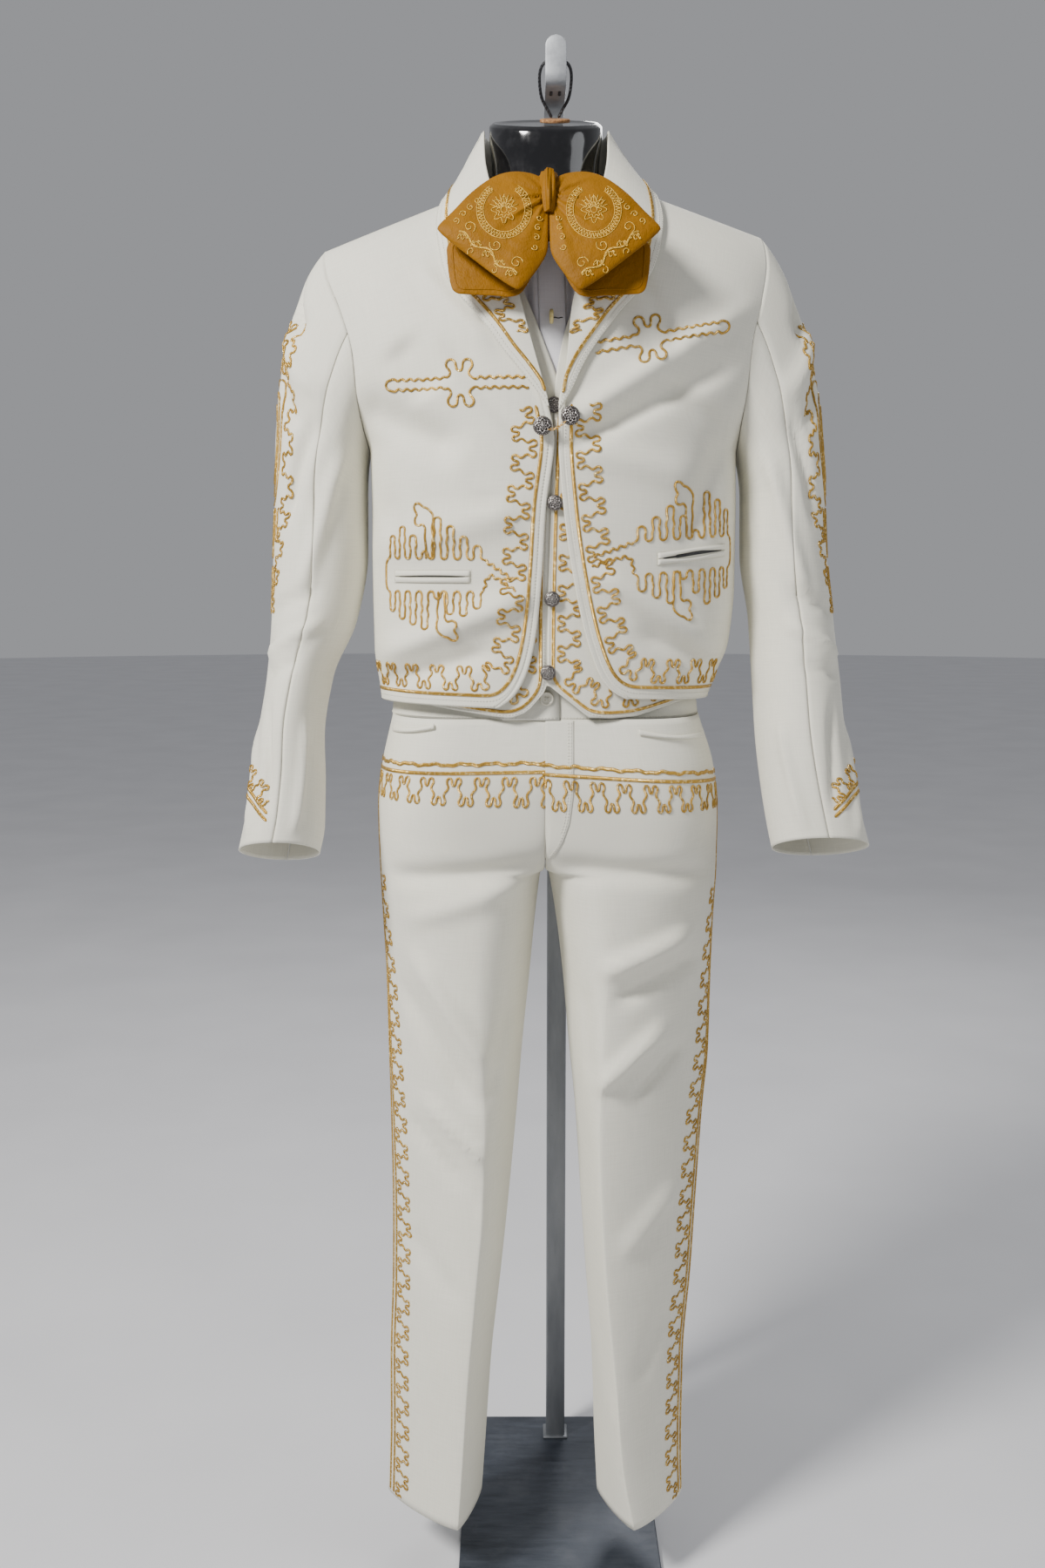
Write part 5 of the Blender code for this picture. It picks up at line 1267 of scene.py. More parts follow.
def make_hook():
    """The forward arm: a channel bar whose end turns up into a rounded tongue, with two slots under it."""
    low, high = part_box("stand_arm")
    middle_x = (low.x + high.x) / 2 - FORM_X
    half = (high.x - low.x) / 2
    wall = 0.004
    arm_z, radius = low.z + wall / 2, 0.010
    back_y, tip_y = high.y - FORM_Y, low.y - FORM_Y + wall / 2
    run = [(y, arm_z) for y in np.linspace(back_y, tip_y + radius, 60)]
    bend = [(tip_y + radius - radius * math.sin(a), arm_z + radius - radius * math.cos(a))
            for a in np.linspace(0.05, math.pi / 2, 14)]
    tall = high.z - arm_z - radius
    rise = [(tip_y, arm_z + radius + s * tall) for s in np.linspace(0.04, 1, 30)]
    line = np.array(run + bend + rise)
    top = line[-1, 1]
    round_start = top - half
    drop = np.clip((line[:, 1] - round_start) / half, 0, 1)
    width = half * np.sqrt(np.clip(1 - drop**2, 0.0, 1))
    width[:len(run)] = half
    tangent = unit(np.gradient(line, axis=0))
    out = np.stack([-tangent[:, 1], tangent[:, 0]], -1)
    edge = 0.0010
    section = []
    for side, level in ((-1, -1), (1, -1), (1, 1), (-1, 1)):
        for turn in (0.0, 0.5, 1.0):
            a = math.pi / 2 * turn
            if (side, level) in ((-1, -1), (1, 1)):
                offset = (1 - math.cos(a), 1 - math.sin(a))
            else:
                offset = (1 - math.sin(a), 1 - math.cos(a))
            section.append((side, level, offset[0] * edge, offset[1] * edge))
    rings = []
    for (y, z), w, o in zip(line, width, out):
        ring = []
        for side, level, inset, drop_in in section:
            across = side * max(w - inset, 0.0)
            lift = level * (wall / 2 - drop_in)
            ring.append((middle_x + across, y + o[0] * lift, z + o[1] * lift))
        rings.append(ring)
    solid_of_rings("stand_arm_hook", np.array(rings), "light_grey_steel", "grey_steel", "stand_arm")
    # the two slots: dark strips of painted shade under the arm
    slots = []
    for x in (-0.0045, 0.0045):
        start = np.array((middle_x + x, tip_y + 0.022, arm_z - wall / 2 - 0.0003))
        slots.append(np.array([start, start + (0, 0.016, 0)]))
    laid = [(resample(s, 0.002), np.tile((0.0, 0.0, -1.0), (len(resample(s, 0.002)), 1))) for s in slots]
    trim("stand_arm_slots_painted_shade", laid, THREAD_SECTION, 0.0034, 0.0004, finish("dark_cord"), "grey_steel")


def make_stage(sizes):
    """Floor, camera and three soft lights round it."""
    scene = bpy.context.scene
    turn = np.linspace(0, 2 * math.pi, 64, endpoint=False)
    radius = np.array((0.02, 1.0, 3.0, 8.0, 20.0))[:, None]
    disc = np.stack([radius * np.sin(turn), radius * np.cos(turn), 0 * radius - 0.0004 + 0 * turn], -1)
    mesh = mesh_of("floor", disc.reshape(-1, 3), quads_of(len(radius), len(turn), True))
    floor = bpy.data.objects.new("floor", mesh)
    scene.collection.objects.link(floor)
    tidy_normals(mesh)
    pale = Finish("pale_floor", 0.65)
    patches = pale.noise(pale.coordinates(), 3.0, 4.0)
    pale.colour(pale.ramp(patches, [(0.3, (0.70, 0.70, 0.72)), (0.7, (0.75, 0.75, 0.77))]))
    mesh.materials.append(pale.material)
    floor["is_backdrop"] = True

    camera = bpy.data.cameras.new("camera")
    camera.lens = sizes.lens
    camera.sensor_width = 36.0
    camera.clip_start, camera.clip_end = 0.02, 100.0
    holder = bpy.data.objects.new("camera", camera)
    holder.location = (-0.0445, -1.783, 1.175)
    holder.rotation_euler = (math.radians(82.0), 0.0, 0.0)
    scene.collection.objects.link(holder)
    scene.camera = holder

    world = bpy.data.worlds.new("studio")
    world.use_nodes = True
    world.node_tree.nodes["Background"].inputs["Color"].default_value = (0.62, 0.63, 0.66, 1.0)
    world.node_tree.nodes["Background"].inputs["Strength"].default_value = sizes.fill
    scene.world = world
    lights = (("key", (-1.9, -1.9, 3.1), 170.0, 0.8, (1.0, 0.98, 0.95)),
              ("side", (2.3, -1.0, 1.9), 12.0, 1.4, (0.95, 0.97, 1.0)),
              ("back", (0.8, 2.4, 2.6), 26.0, 1.4, (1.0, 1.0, 1.0)))
    for name, spot, power, size, colour in lights:
        lamp = bpy.data.lights.new(name, "AREA")
        lamp.shape = "DISK"
        lamp.size = size
        lamp.energy = power
        lamp.color = colour
        holder = bpy.data.objects.new(name, lamp)
        holder.location = spot
        aim = np.array((0.0, 0.0, 1.05)) - spot
        holder.rotation_euler = (math.atan2(math.hypot(aim[0], aim[1]), -aim[2]), 0.0,
                                 math.atan2(aim[1], aim[0]) - math.pi / 2)
        scene.collection.objects.link(holder)


# ---- jacket -------------------------------------------------------------------------------------
EDGE_SHARES = np.array((0.0, 0.18, 0.34, 0.44, 0.52, 0.60, 0.74, 0.88, 0.96, 1.0))   # across the turned edge
EDGE_DEPTHS = np.array((0.0, 0.0002, 0.0003, 0.0001, -0.0006, 0.0001, 0.0004, 0.0003, -0.0002, -0.0010))


def front_panel(rows, columns):
    """Jacket front: across each row the cloth follows the body to the seam, then turns to the edge, which
    has a stitched groove and a rolled end."""
    grid = []
    for outer_z, outer_x, seam_z, seam_x, edge_z, edge_x, lift in zip(*rows.values()):
        half = float(half_width(outer_x, outer_z))
        x = spread(outer_x, seam_x, max(half, abs(outer_x)), columns)
        z = outer_z + (seam_z - outer_z) * (x - outer_x) / (seam_x - outer_x)
        row = np.stack([x, body_y(x, z, "front"), z], -1)
        end = np.array((edge_x, float(body_y(edge_x, edge_z, "front")) - lift, edge_z))
        turn = row[-1] + (end - row[-1]) * EDGE_SHARES[1:, None]
        turn[:, 1] -= EDGE_DEPTHS[1:]
        grid.append(np.vstack([row, turn]))
    grid = np.array(grid)
    grid[0, :, 1] += 0.0008
    grid[:, 0, 1] -= SEAM
    grid[-1, :, 1] -= SEAM
    return grid


def back_panel(columns, left, right, under, neck_half, neck_z, inset=0.0):
    """A back: the fronts' outer rows joined across the back. Above row under, the rows climb to the
    shoulder line, and between the neck's two sides to the neck edge."""
    count = len(left["outer_z"])
    grid = []
    for i in range(count):
        left_x, left_z = left["outer_x"][i], left["outer_z"][i]
        right_x, right_z = right["outer_x"][i], right["outer_z"][i]
        half = max(float(half_width(left_x, left_z, inset)), float(half_width(right_x, right_z, inset)))
        x = spread(left_x, right_x, max(half, abs(left_x), abs(right_x)), columns)
        share = (x - left_x) / (right_x - left_x)
        z = left_z + (right_z - left_z) * share
        if i > under:
            top = np.where(np.abs(x) < neck_half, neck_z, shoulder_z(x) - 2.0 * inset)
            ends = left["outer_z"][-1] + (right["outer_z"][-1] - left["outer_z"][-1]) * share
            z = z + (top - ends) * (i - under) / (count - 1 - under)
        y = body_y(x, z, "back", inset)
        if inset == 0.0:
            y = y - 0.0009 * np.exp(-((x / 0.0016) ** 2))
        grid.append(np.stack([x, y, z], -1))
    grid = np.array(grid)
    grid[:, (0, -1), 1] += SEAM
    grid[-1, :, 1] += SEAM
    return grid


def on_front(x, z, lift, inset=0.0):
    """Points of the worn front at (x, z), moved out by lift along its normal."""
    return body_surface("front", inset).lay(across_cloth(x, z, "front", inset), z, lift)[0]


def lapel_panel(rows, columns=40):
    """Lapel: each row bows outwards from the roll line to the edge, which lies on the jacket front."""
    share = np.linspace(0, 1, columns)[:, None]
    grid = []
    for roll_z, roll_x, roll_y, edge_z, edge_x in zip(*rows.values()):
        roll = np.array((roll_x, roll_y, roll_z))
        edge = on_front(np.array(edge_x), np.array(edge_z), LAPEL_CLOTH + 0.0036)
        width = np.linalg.norm(edge - roll)
        row = roll + (edge - roll) * share
        row[:, 1] -= 0.07 * width * np.sin(math.pi * share[:, 0])
        far = (1 - share[:, 0]) * width
        row[:, 1] += (0.0005 * np.exp(-((far - 0.0060) / 0.0010) ** 2)
                      + 0.0009 * np.exp(-((far / 0.0012) ** 2)))
        grid.append(row)
    grid = np.array(grid)
    grid[-1, :, 1] = -SEAM - 0.0010
    return grid


def collar_panel(columns=64):
    """Collar: from the neck seam up the stand, over the fold and down to the fall's edge."""
    angle = np.linspace(-math.pi / 2, math.pi / 2, columns)
    side, rear = np.sin(angle), np.cos(angle)
    ring = lambda half_x, depth, z: np.stack([half_x * side,
                                              SHOULDER_Y + 0.0015 + depth * rear, z + 0 * side], -1)
    edge_x = np.where(side < 0, 0.101, 0.106) * side
    edge_z = np.where(side < 0, 1.5660, 1.5745) * side**2 + 1.5520 * rear**2
    edge_y = np.maximum(body_y(edge_x, edge_z, "back") + 0.0055, SHOULDER_Y + 0.0015)
    edge = np.stack([edge_x, edge_y, edge_z + 0.0030], -1)
    fall_top = ring(0.0708, 0.0795, 1.6310)
    middle = 0.5 * (fall_top + edge)
    middle[:, :2] *= 1.03
    coarse = np.array([ring(0.0705, 0.0745, 1.5790), ring(0.0672, 0.0738, 1.6080),
                       ring(0.0650, 0.0735, 1.6310),
                       ring(0.0675, 0.0765, 1.6365), fall_top, middle, edge])
    return smooth_rows(coarse, 9)


def smooth_rows(grid, steps):
    """More rows: a Catmull-Rom curve through each column of points."""
    padded = np.concatenate([2 * grid[:1] - grid[1:2], grid, 2 * grid[-1:] - grid[-2:-1]])
    t = np.linspace(0, 1, steps, endpoint=False)[:, None, None]
    rows = []
    for a, b, c, d in zip(padded[:-3], padded[1:-2], padded[2:-1], padded[3:]):
        rows.append(0.5 * (2 * b + (c - a) * t + (2 * a - 5 * b + 4 * c - d) * t**2
                           + (3 * b - a - 3 * c + d) * t**3))
    return np.vstack([*rows, grid[-1:]])


def armhole(front_rows, share, face):
    """Points of the armhole from the underarm (0) to the shoulder (1), as the body panels have them."""
    z = front_rows["outer_z"][ARMHOLE_ROW * CAD_STEPS:]
    x = front_rows["outer_x"][ARMHOLE_ROW * CAD_STEPS:]
    spots = np.linspace(0, 1, len(z))
    at_z = np.interp(share, spots, z)
    at_x = np.interp(share, spots, x)
    return np.stack([at_x, body_y(at_x, at_z, face), at_z], -1)


def sleeve_grid(sections, front_rows, head_rows=28, quarter_columns=18):
    """Sleeve, as rings of 4 x quarter_columns points, counted from the outer side to the front and round.

    The head blends from the armhole to the first level section by a cubic whose ends leave the
    armhole outwards and arrive straight down. Below it each ring is a superellipse. Creases are
    troughs in the distance round from the outer side and the height.
    """
    out = -1.0 if sections["outer"][0] < 0 else 1.0
    angle = np.linspace(0, 2 * math.pi, 4 * quarter_columns, endpoint=False)

    def level(z, outer, inner, middle_y, depth, tilt, pinch):
        middle, half = (outer + inner) / 2, (outer - inner) / 2
        cos, sin = np.cos(angle), np.sin(angle)
        x = middle + half * np.sign(cos) * np.abs(cos) ** (2 / 2.2)
        y = middle_y - depth * np.sign(sin) * np.abs(sin) ** (2 / pinch)
        return np.stack([x, y, z - tilt * (y - middle_y)], -1)

    share = (1 + np.cos(angle)) / 2
    front = np.sin(angle) >= -1e-9
    hole = np.where(front[:, None], armhole(front_rows, share, "front"), armhole(front_rows, share, "back"))
    hole[:, 0] += out * 0.0003
    first = level(*(sections[c][0] for c in sections))
    drop = np.linalg.norm(first - hole, axis=1)[:, None]
    leave = np.array((out * 0.55, 0.0, -0.55)) * drop * (0.3 + 0.7 * share[:, None])
    leave[:, 2] -= 0.45 * drop[:, 0] * (1 - share)
    arrive = np.array((0.0, 0.0, -1.0)) * drop
    rings = []
    for t in np.linspace(0, 1, head_rows, endpoint=False):
        h00, h10 = (1 + 2 * t) * (1 - t) ** 2, t * (1 - t) ** 2
        h01, h11 = t * t * (3 - 2 * t), t * t * (t - 1)
        rings.append(h00 * hole + h10 * leave + h01 * first + h11 * arrive)
    for i in range(len(sections["z"])):
        rings.append(level(*(sections[c][i] for c in sections)))
    grid = np.array(rings)
    axis = ((sections["outer"][0] + sections["inner"][0]) / 2, -0.02)
    round_from_outer = np.where(angle > math.pi, angle - 2 * math.pi, angle) * 0.060
    share_down = np.clip(np.linspace(0, head_rows + len(sections["z"]), len(grid)) / 6.0, 0, 1)[:, None]
    hollow = trough(round_from_outer[None] * (1 if out < 0 else 1), grid[:, :, 2], SLEEVE_FOLDS)
    cuff_ease = np.clip((len(grid) - 1 - np.arange(len(grid))) / 4.0, 0, 1)[:, None]
    return grid - ring_normals(grid) * (hollow * share_down * cuff_ease)[..., None]


def ring_normals(grid):
    """Unit normals of a closed grid, pointing away from the middle of each ring."""
    wide = np.concatenate([grid[:, -2:], grid, grid[:, :2]], axis=1)
    normal = np.cross(np.gradient(wide, axis=1), np.gradient(wide, axis=0))[:, 2:-2]
    normal = unit(normal)
    middle = grid.mean(axis=1, keepdims=True)
    side = np.sign((normal * (grid - middle)).sum(axis=-1, keepdims=True))
    return normal * np.where(side == 0, 1.0, side)


def part_ring(grid, start, stop, half_gap=SEAM):
    """Columns start to stop of a ring, wrapping round, with both long edges drawn in and turned under."""
    part = grid[:, np.arange(start, stop + 1) % grid.shape[1]].copy()
    middle = grid.mean(axis=1)
    for edge, inner in ((0, 1), (-1, -2)):
        step = part[:, inner] - part[:, edge]
        part[:, edge] += unit(step) * half_gap
        inward = unit((middle - part[:, edge]) * (1.0, 1.0, 0.0))
        turned = part[:, edge] + 0.0011 * inward
        lip = part[:, edge] + unit(step) * 0.0022
        part = np.concatenate([turned[:, None], lip[:, None], part[:, 1:]], axis=1) if edge == 0 else \
            np.concatenate([part[:, :-1], lip[:, None], turned[:, None]], axis=1)
    return part


def jacket_rows(side):
    return finer(JACKET_LEFT if side == "left" else JACKET_RIGHT)


def jacket_edge(rows, top_z, hem_start=0.985):
    """Flat path from near the side seam along the hem, round the corner and up the front edge."""
    keep = rows["edge_z"] < top_z
    edge_x, edge_z = rows["edge_x"][keep], rows["edge_z"][keep]
    share = np.linspace(hem_start, 0, 40, endpoint=False)
    hem_x = edge_x[0] + (rows["outer_x"][0] - edge_x[0]) * share
    hem_z = edge_z[0] + (rows["outer_z"][0] - edge_z[0]) * share
    x, z = np.concatenate([hem_x, edge_x]), np.concatenate([hem_z, edge_z])
    return resample(np.stack([across_cloth(x, z), z], -1), 0.002)


def make_jacket(sizes):
    ivory = finish("ivory_gabardine")
    left, right = jacket_rows("left"), jacket_rows("right")
    front = body_surface("front")
    for side, rows, sign in (("left", left, 1.0), ("right", right, -1.0)):
        grid = front_panel(rows, 64)
        panel = cloth(f"jacket_front_{side}_cloth", grid, ivory, "ivory_gabardine",
                      node=f"jacket_front_{side}")
        edge = jacket_edge(rows, 1.345)
        stitched = [shifted_path(edge, sign * 0.0015), shifted_path(edge, sign * 0.0068)]
        thread = stitches(f"jacket_front_{side}_topstitch", on(front, stitched, 0.0001),
                          finish("ivory_thread"),
                          "ivory_gabardine")
        line = gold_lines(f"jacket_edge_line_{side}", front, [shifted_path(edge, sign * 0.0128)],
                          f"jacket_braid_{side}")
        base = shifted_path(edge, sign * (0.0128 + 0.0045 + sizes.greca_reach))
        meander = gold_meander(f"jacket_edge_greca_{side}", front,
                               [greca(base, sizes.greca_pitch, sizes.greca_reach)])
        welts = make_pocket(side, front)
        motifs = make_front_motifs(side, front)
        declare(grid)
    grid = back_panel(84, left, right, ARMHOLE_ROW * CAD_STEPS, NECK_HALF, NECK_EDGE_Z)
    back = cloth("jacket_back_cloth", grid, ivory, "ivory_gabardine", node="jacket_back")
    rear = body_surface("back")
    hem_z = lambda u: np.interp(u, (-0.25, 0.25), (1.035, 1.037))
    ends = [float(across_cloth(np.array(rows["outer_x"][0] * 0.99), np.array(1.04), "back"))
            for rows in (left, right)]
    u = np.linspace(ends[0], ends[1], 200)
    hem = np.stack([u, hem_z(u)], -1)
    thread = stitches("jacket_back_topstitch", on(rear, [hem + (0, 0.0015), hem + (0, 0.0068)], 0.0001),
                      finish("ivory_thread"), "ivory_gabardine")
    line = gold_lines("jacket_back_line", rear, [hem + (0, 0.0128)])
    base = hem + (0, 0.0128 + 0.0045 + sizes.greca_reach)
    meander = gold_meander("jacket_back_greca", rear, [greca(base, sizes.greca_pitch, sizes.greca_reach)])
    declare(grid)
    make_lapels(sizes)
    make_collar()


WELTS = {"left": (-0.159, 1.168, -0.078, 1.168), "right": (0.115, 1.186, 0.190, 1.196)}


def make_pocket(side, front):
    """A double-welt pocket: two lips that swell along the slit, painted shade in its mouth, and its stitches."""
    x0, z0, x1, z1 = WELTS[side]
    pieces = []
    columns = 40
    x, z = np.linspace(x0, x1, columns), np.linspace(z0, z1, columns)
    u = across_cloth(x, z)
    share = np.linspace(0, 1, columns)
    gape = (0.0026 if side == "right" else 0.0010) * np.sin(math.pi * share) ** 1.5
    tall = 0.0058
    for lip, sign in (("upper", 1.0), ("lower", -1.0)):
        rows = []
        for t in np.linspace(0, 1, 9):
            height = CLOTH + 0.0003 + 0.0011 * math.sin(math.pi * min(t + 0.12, 1.0)) ** 0.6
            offset = sign * (0.0004 + gape * (1 - t) + tall * t) if sign > 0 else \
                sign * (0.0004 + gape * 1.3 * (1 - t) + tall * t)
            ends = np.minimum(np.clip(share / 0.02, 0, 1), np.clip((1 - share) / 0.02, 0, 1))
            points, _ = front.lay(u, z + offset, 0.0)
            lifted, _ = front.lay(u, z + offset, 1.0)
            rows.append(points + (lifted - points) * (height * (0.45 + 0.55 * ends))[:, None])
        pieces.append(cloth(f"jacket_welt_{lip}_{side}_cloth", np.array(rows), finish("ivory_gabardine"),
                            "ivory_gabardine", wall=CLOTH, node=f"jacket_welt_{lip}_{side}"))
    # the slit's mouth: dark strips of painted shade
    for i, wide in enumerate((0.0018, 0.0034) if side == "right" else (0.0012,)):
        inset = 0.006 + 0.014 * i
        mouth = resample(np.array([(u[0] + inset, np.interp(inset, u - u[0], z)),
                                   (u[-1] - inset, z[-1])]), 0.002)
        pieces.append(trim(f"jacket_pocket_mouth_{side}_{i + 1}", on(front, [mouth], 0.0001 + 0.0002 * i),
                           THREAD_SECTION, wide, 0.0005, finish("dark_cord"), "ivory_gabardine"))
    outline = np.array([(u[0] - 0.0012, z[0] - tall - 0.0012), (u[-1] + 0.0012, z[-1] - tall - 0.0012),
                        (u[-1] + 0.0012, z[-1] + tall + 0.0012), (u[0] - 0.0012, z[0] + tall + 0.0012)])
    closed = np.vstack([outline, outline[:1]])
    pieces.append(stitches(f"jacket_welt_stitches_{side}", on(front, [resample(closed, 0.001)], 0.0001),
                           finish("ivory_thread"), "ivory_gabardine", 0.0024, 0.0016, 0.0003))
    return pieces


def make_front_motifs(side, front):
    """The chest figure, and the combs and horns above and below the pocket with their wavy ties."""
    flat = lambda x, z: (float(across_cloth(np.array(x), np.array(z))), z)
    if side == "left":
        chest = [chest_motif(flat(-0.1620, 1.3620), flat(-0.0180, 1.3620), 0.47)]
        x0, x1, up_z, low_z = -0.1660, -0.0640, (1.1870, 1.1850), (1.1530, 1.1530)
        up = [(0.0, 0.018), (0.14, 0.030), (0.30, 0.040), (0.48, 0.048), (0.66, 0.036),
              (0.84, 0.021), (1.0, 0.010)]
        down = [(0.0, 0.016), (0.12, 0.026), (0.28, 0.034), (0.45, 0.040), (0.62, 0.032),
                (0.80, 0.026), (1.0, 0.014)]
        top_horn, low_horn, lean, end = (-0.1290, 1.1905), (-0.1120, 1.1500), 1.0, 1.0
        ties = [[(-0.0640, 1.1850), (-0.0330, 1.1640)],
                [(-0.0640, 1.1530), (-0.0620, 1.1660), (-0.0570, 1.1700), (-0.0310, 1.1530)]]
    else:
        chest = [chest_motif(flat(0.1840, 1.4210), flat(0.0480, 1.3960), 0.40)]
        x0, x1, up_z, low_z = 0.0900, 0.1950, (1.2030, 1.2110), (1.1700, 1.1790)
        up = [(0.0, 0.012), (0.14, 0.020), (0.30, 0.034), (0.50, 0.044), (0.68, 0.048),
              (0.85, 0.036), (1.0, 0.022)]
        down = [(0.0, 0.014), (0.16, 0.024), (0.34, 0.034), (0.50, 0.040), (0.66, 0.038),
                (0.84, 0.030), (1.0, 0.018)]
        top_horn, low_horn, lean, end = (0.1610, 1.2110), (0.1400, 1.1700), 1.0, -1.0
        ties = [[(0.0900, 1.2030), (0.0480, 1.1880)],
                [(0.0900, 1.1700), (0.0880, 1.1850), (0.0830, 1.1890), (0.0460, 1.1780)]]
    u0, u1 = flat(x0, up_z[0])[0], flat(x1, up_z[1])[0]
    combs = []
    for heights, (za, zb), way, peak in ((up, up_z, 1.0, top_horn), (down, low_z, -1.0, low_horn)):
        gap_at = int((flat(*peak)[0] - u0) / (u1 - u0) * 8)
        spot = u0 + (gap_at + 0.5) / 8 * (u1 - u0)
        peak = (float(np.interp(spot, (u0, u1), (x0, x1))), np.interp(spot, (u0, u1), (za, zb)))
        combs.append(comb([(u0, za), (u1, zb)], heights, way, 8, 0.0010, gap_at,
                          gap_at - 1 if way > 0 else gap_at + 1))
        combs.append(horn(flat(*peak), way, lean * (1.0 if way > 0 else -1.0), 0.056 if way > 0 else 0.050))
    end = (u0, u1)[side == "right"]
    out = -0.004 if side == "left" else 0.004
    low_end, up_end = (low_z[side == "right"], up_z[side == "right"])
    waves = [waved([flat(*spot) for spot in tie]) for tie in ties] + [soften(resample(np.array(
        [(end, up_end), (end + out, up_end - 0.004), (end + out, low_end + 0.004),
         (end, low_end)]), 0.001), 4)]
    made = [gold_meander(f"jacket_chest_figure_{side}", front, chest),
            gold_meander(f"jacket_pocket_combs_{side}", front, combs + waves)]
    return made


def make_lapels(sizes):
    for side, rows in (("left", LAPEL_LEFT), ("right", LAPEL_RIGHT)):
        grid = lapel_panel(finer(rows, 12))
        panel = cloth(f"jacket_lapel_{side}_cloth", grid, finish("ivory_gabardine"), "ivory_gabardine",
                      wall=LAPEL_CLOTH, node=f"jacket_lapel_{side}")
        surface = grid_surface(grid[:, ::-1], (0.0, 0.0))
        top = surface.length
        v = np.linspace(0.004, top * 0.985, 160)
        widths = np.interp(v, surface.rise, surface.width)
        path = lambda inside: np.stack([np.minimum(inside + 0 * v, widths * 0.9), v], -1)
        thread = stitches(f"jacket_lapel_{side}_topstitch", on(surface, [path(0.0016), path(0.0060)], 0.0001),
                          finish("ivory_thread"), "ivory_gabardine")
        start = v > 0.020
        line = gold_lines(f"jacket_lapel_{side}_line", surface, [path(0.0135)[start]])
        middle = 0.0135 + 0.0030 + sizes.greca_reach
        height = np.interp(v, surface.rise, surface.first[:, 2])
        long = (v > 0.040) & (height < 1.520) & (widths > 0.036)
        meander = gold_meander(f"jacket_lapel_{side}_greca", surface,
                               [greca(np.stack([np.minimum(middle, widths * 0.66), v], -1)[long],
                                      sizes.greca_pitch * 0.92, sizes.greca_reach * 0.86, -1.0)])
        declare(grid)


def make_collar():
    grid = collar_panel()
    panel = cloth("jacket_collar_cloth", grid, finish("ivory_gabardine"),
                  "ivory_gabardine", node="jacket_collar")
    fall = smooth_rows(grid[27:], 2)[:, 2:-2]
    down = grid_surface(fall.transpose(1, 0, 2)[:, ::-1], (0.0, 0.0))
    v = np.linspace(0.004, down.length - 0.004, 260)
    path = lambda inside: np.stack([inside + 0 * v, v], -1)
    thread = stitches("jacket_collar_topstitch", on(down, [path(0.0016)], 0.0001), finish("ivory_thread"),
                      "ivory_gabardine")
    line = gold_lines("jacket_collar_line", down, [path(0.0110)])
    declare(grid)


# ---- sleeves ------------------------------------------------------------------------------------
def make_sleeves(sizes):
    for side, sections in (("left", SLEEVE_LEFT), ("right", SLEEVE_RIGHT)):
        grid = sleeve_grid(finer(sections), jacket_rows(side))
        quarter = grid.shape[1] // 4
        axis = ((sections["outer"][0] + sections["inner"][0]) / 2, -0.02)
        upper = part_ring(grid, -quarter, quarter)
        under = part_ring(grid, quarter, 3 * quarter)
        for part, half in (("upper", upper), ("under", under)):
            panel = cloth(f"sleeve_{part}_{side}_cloth", half, finish("ivory_gabardine"), "ivory_gabardine",
                          axis=axis, node=f"sleeve_{part}_{side}")
            extra = [] if part == "under" else make_sleeve_braid(side, half, axis, sizes)
            declare(half)


def make_sleeve_braid(side, half, axis, sizes):
    """Two arched lines and a greca at the cuff, and the long figure down the outer side."""
    wrist = grid_surface(half[::-1], axis)
    width = wrist.width[0]
    u = np.linspace(0.004, width - 0.004, 140)
    turn = (u / width - 0.5) * math.pi
    arch = lambda rise: np.stack([u, rise + 0.054 * np.maximum(np.cos(turn), 0)], -1)
    lines = gold_lines(f"cuff_lines_{side}", wrist, [arch(0.021), arch(0.030)], f"cuff_braid_{side}")
    meander = gold_meander(f"cuff_greca_{side}", wrist,
                           [greca(arch(0.030 + 0.005 + sizes.greca_reach * 0.9), sizes.greca_pitch * 0.88,
                                  sizes.greca_reach * 0.82)])
    spread_at = lambda v: np.interp(v, wrist.rise, wrist.width) / 2
    centre_v = float(np.interp(1.288, wrist.first[:, 2], wrist.rise))
    toward_front = 0.011
    figures = []
    for flip in (1.0, -1.0):
        for reach, foot, tall, loops in (((0.028, 0.048, 0.042, 4),) if flip > 0 else
                                         ((0.030, 0.048, 0.062, 4), (0.022, 0.112, 0.052, 3))):
            base = [(-reach, 0.0), (reach, 0.0)]
            line = comb(base, [(0.0, tall * 0.45), (0.5, tall), (1.0, tall * 0.45)], 1.0, loops)
            figures.append(np.stack([line[:, 0], flip * (foot + line[:, 1])], -1))
    figures += concentric((0.0, 0.0), 0.0300, 0.0440)
    for flip in (1.0, -1.0):
        edge = np.array([(-0.165, 0.0), (0.090, 0.0)])
        meandering = greca(edge, 0.030, 0.0075)
        bow_out = flip * (0.0410 * np.clip(1 - (np.abs(meandering[:, 0] + 0.01) / 0.165) ** 1.8, 0, 1) + 0.003)
        figures.append(np.stack([meandering[:, 1] + bow_out, meandering[:, 0]], -1))
    laid = []
    for figure in figures:
        v = centre_v + figure[:, 1]
        centre = spread_at(v) + toward_front
        laid.append(np.stack([centre + figure[:, 0], v], -1))
    outer = gold_meander(f"sleeve_figure_{side}", wrist, laid)
    return [lines, meander, outer]


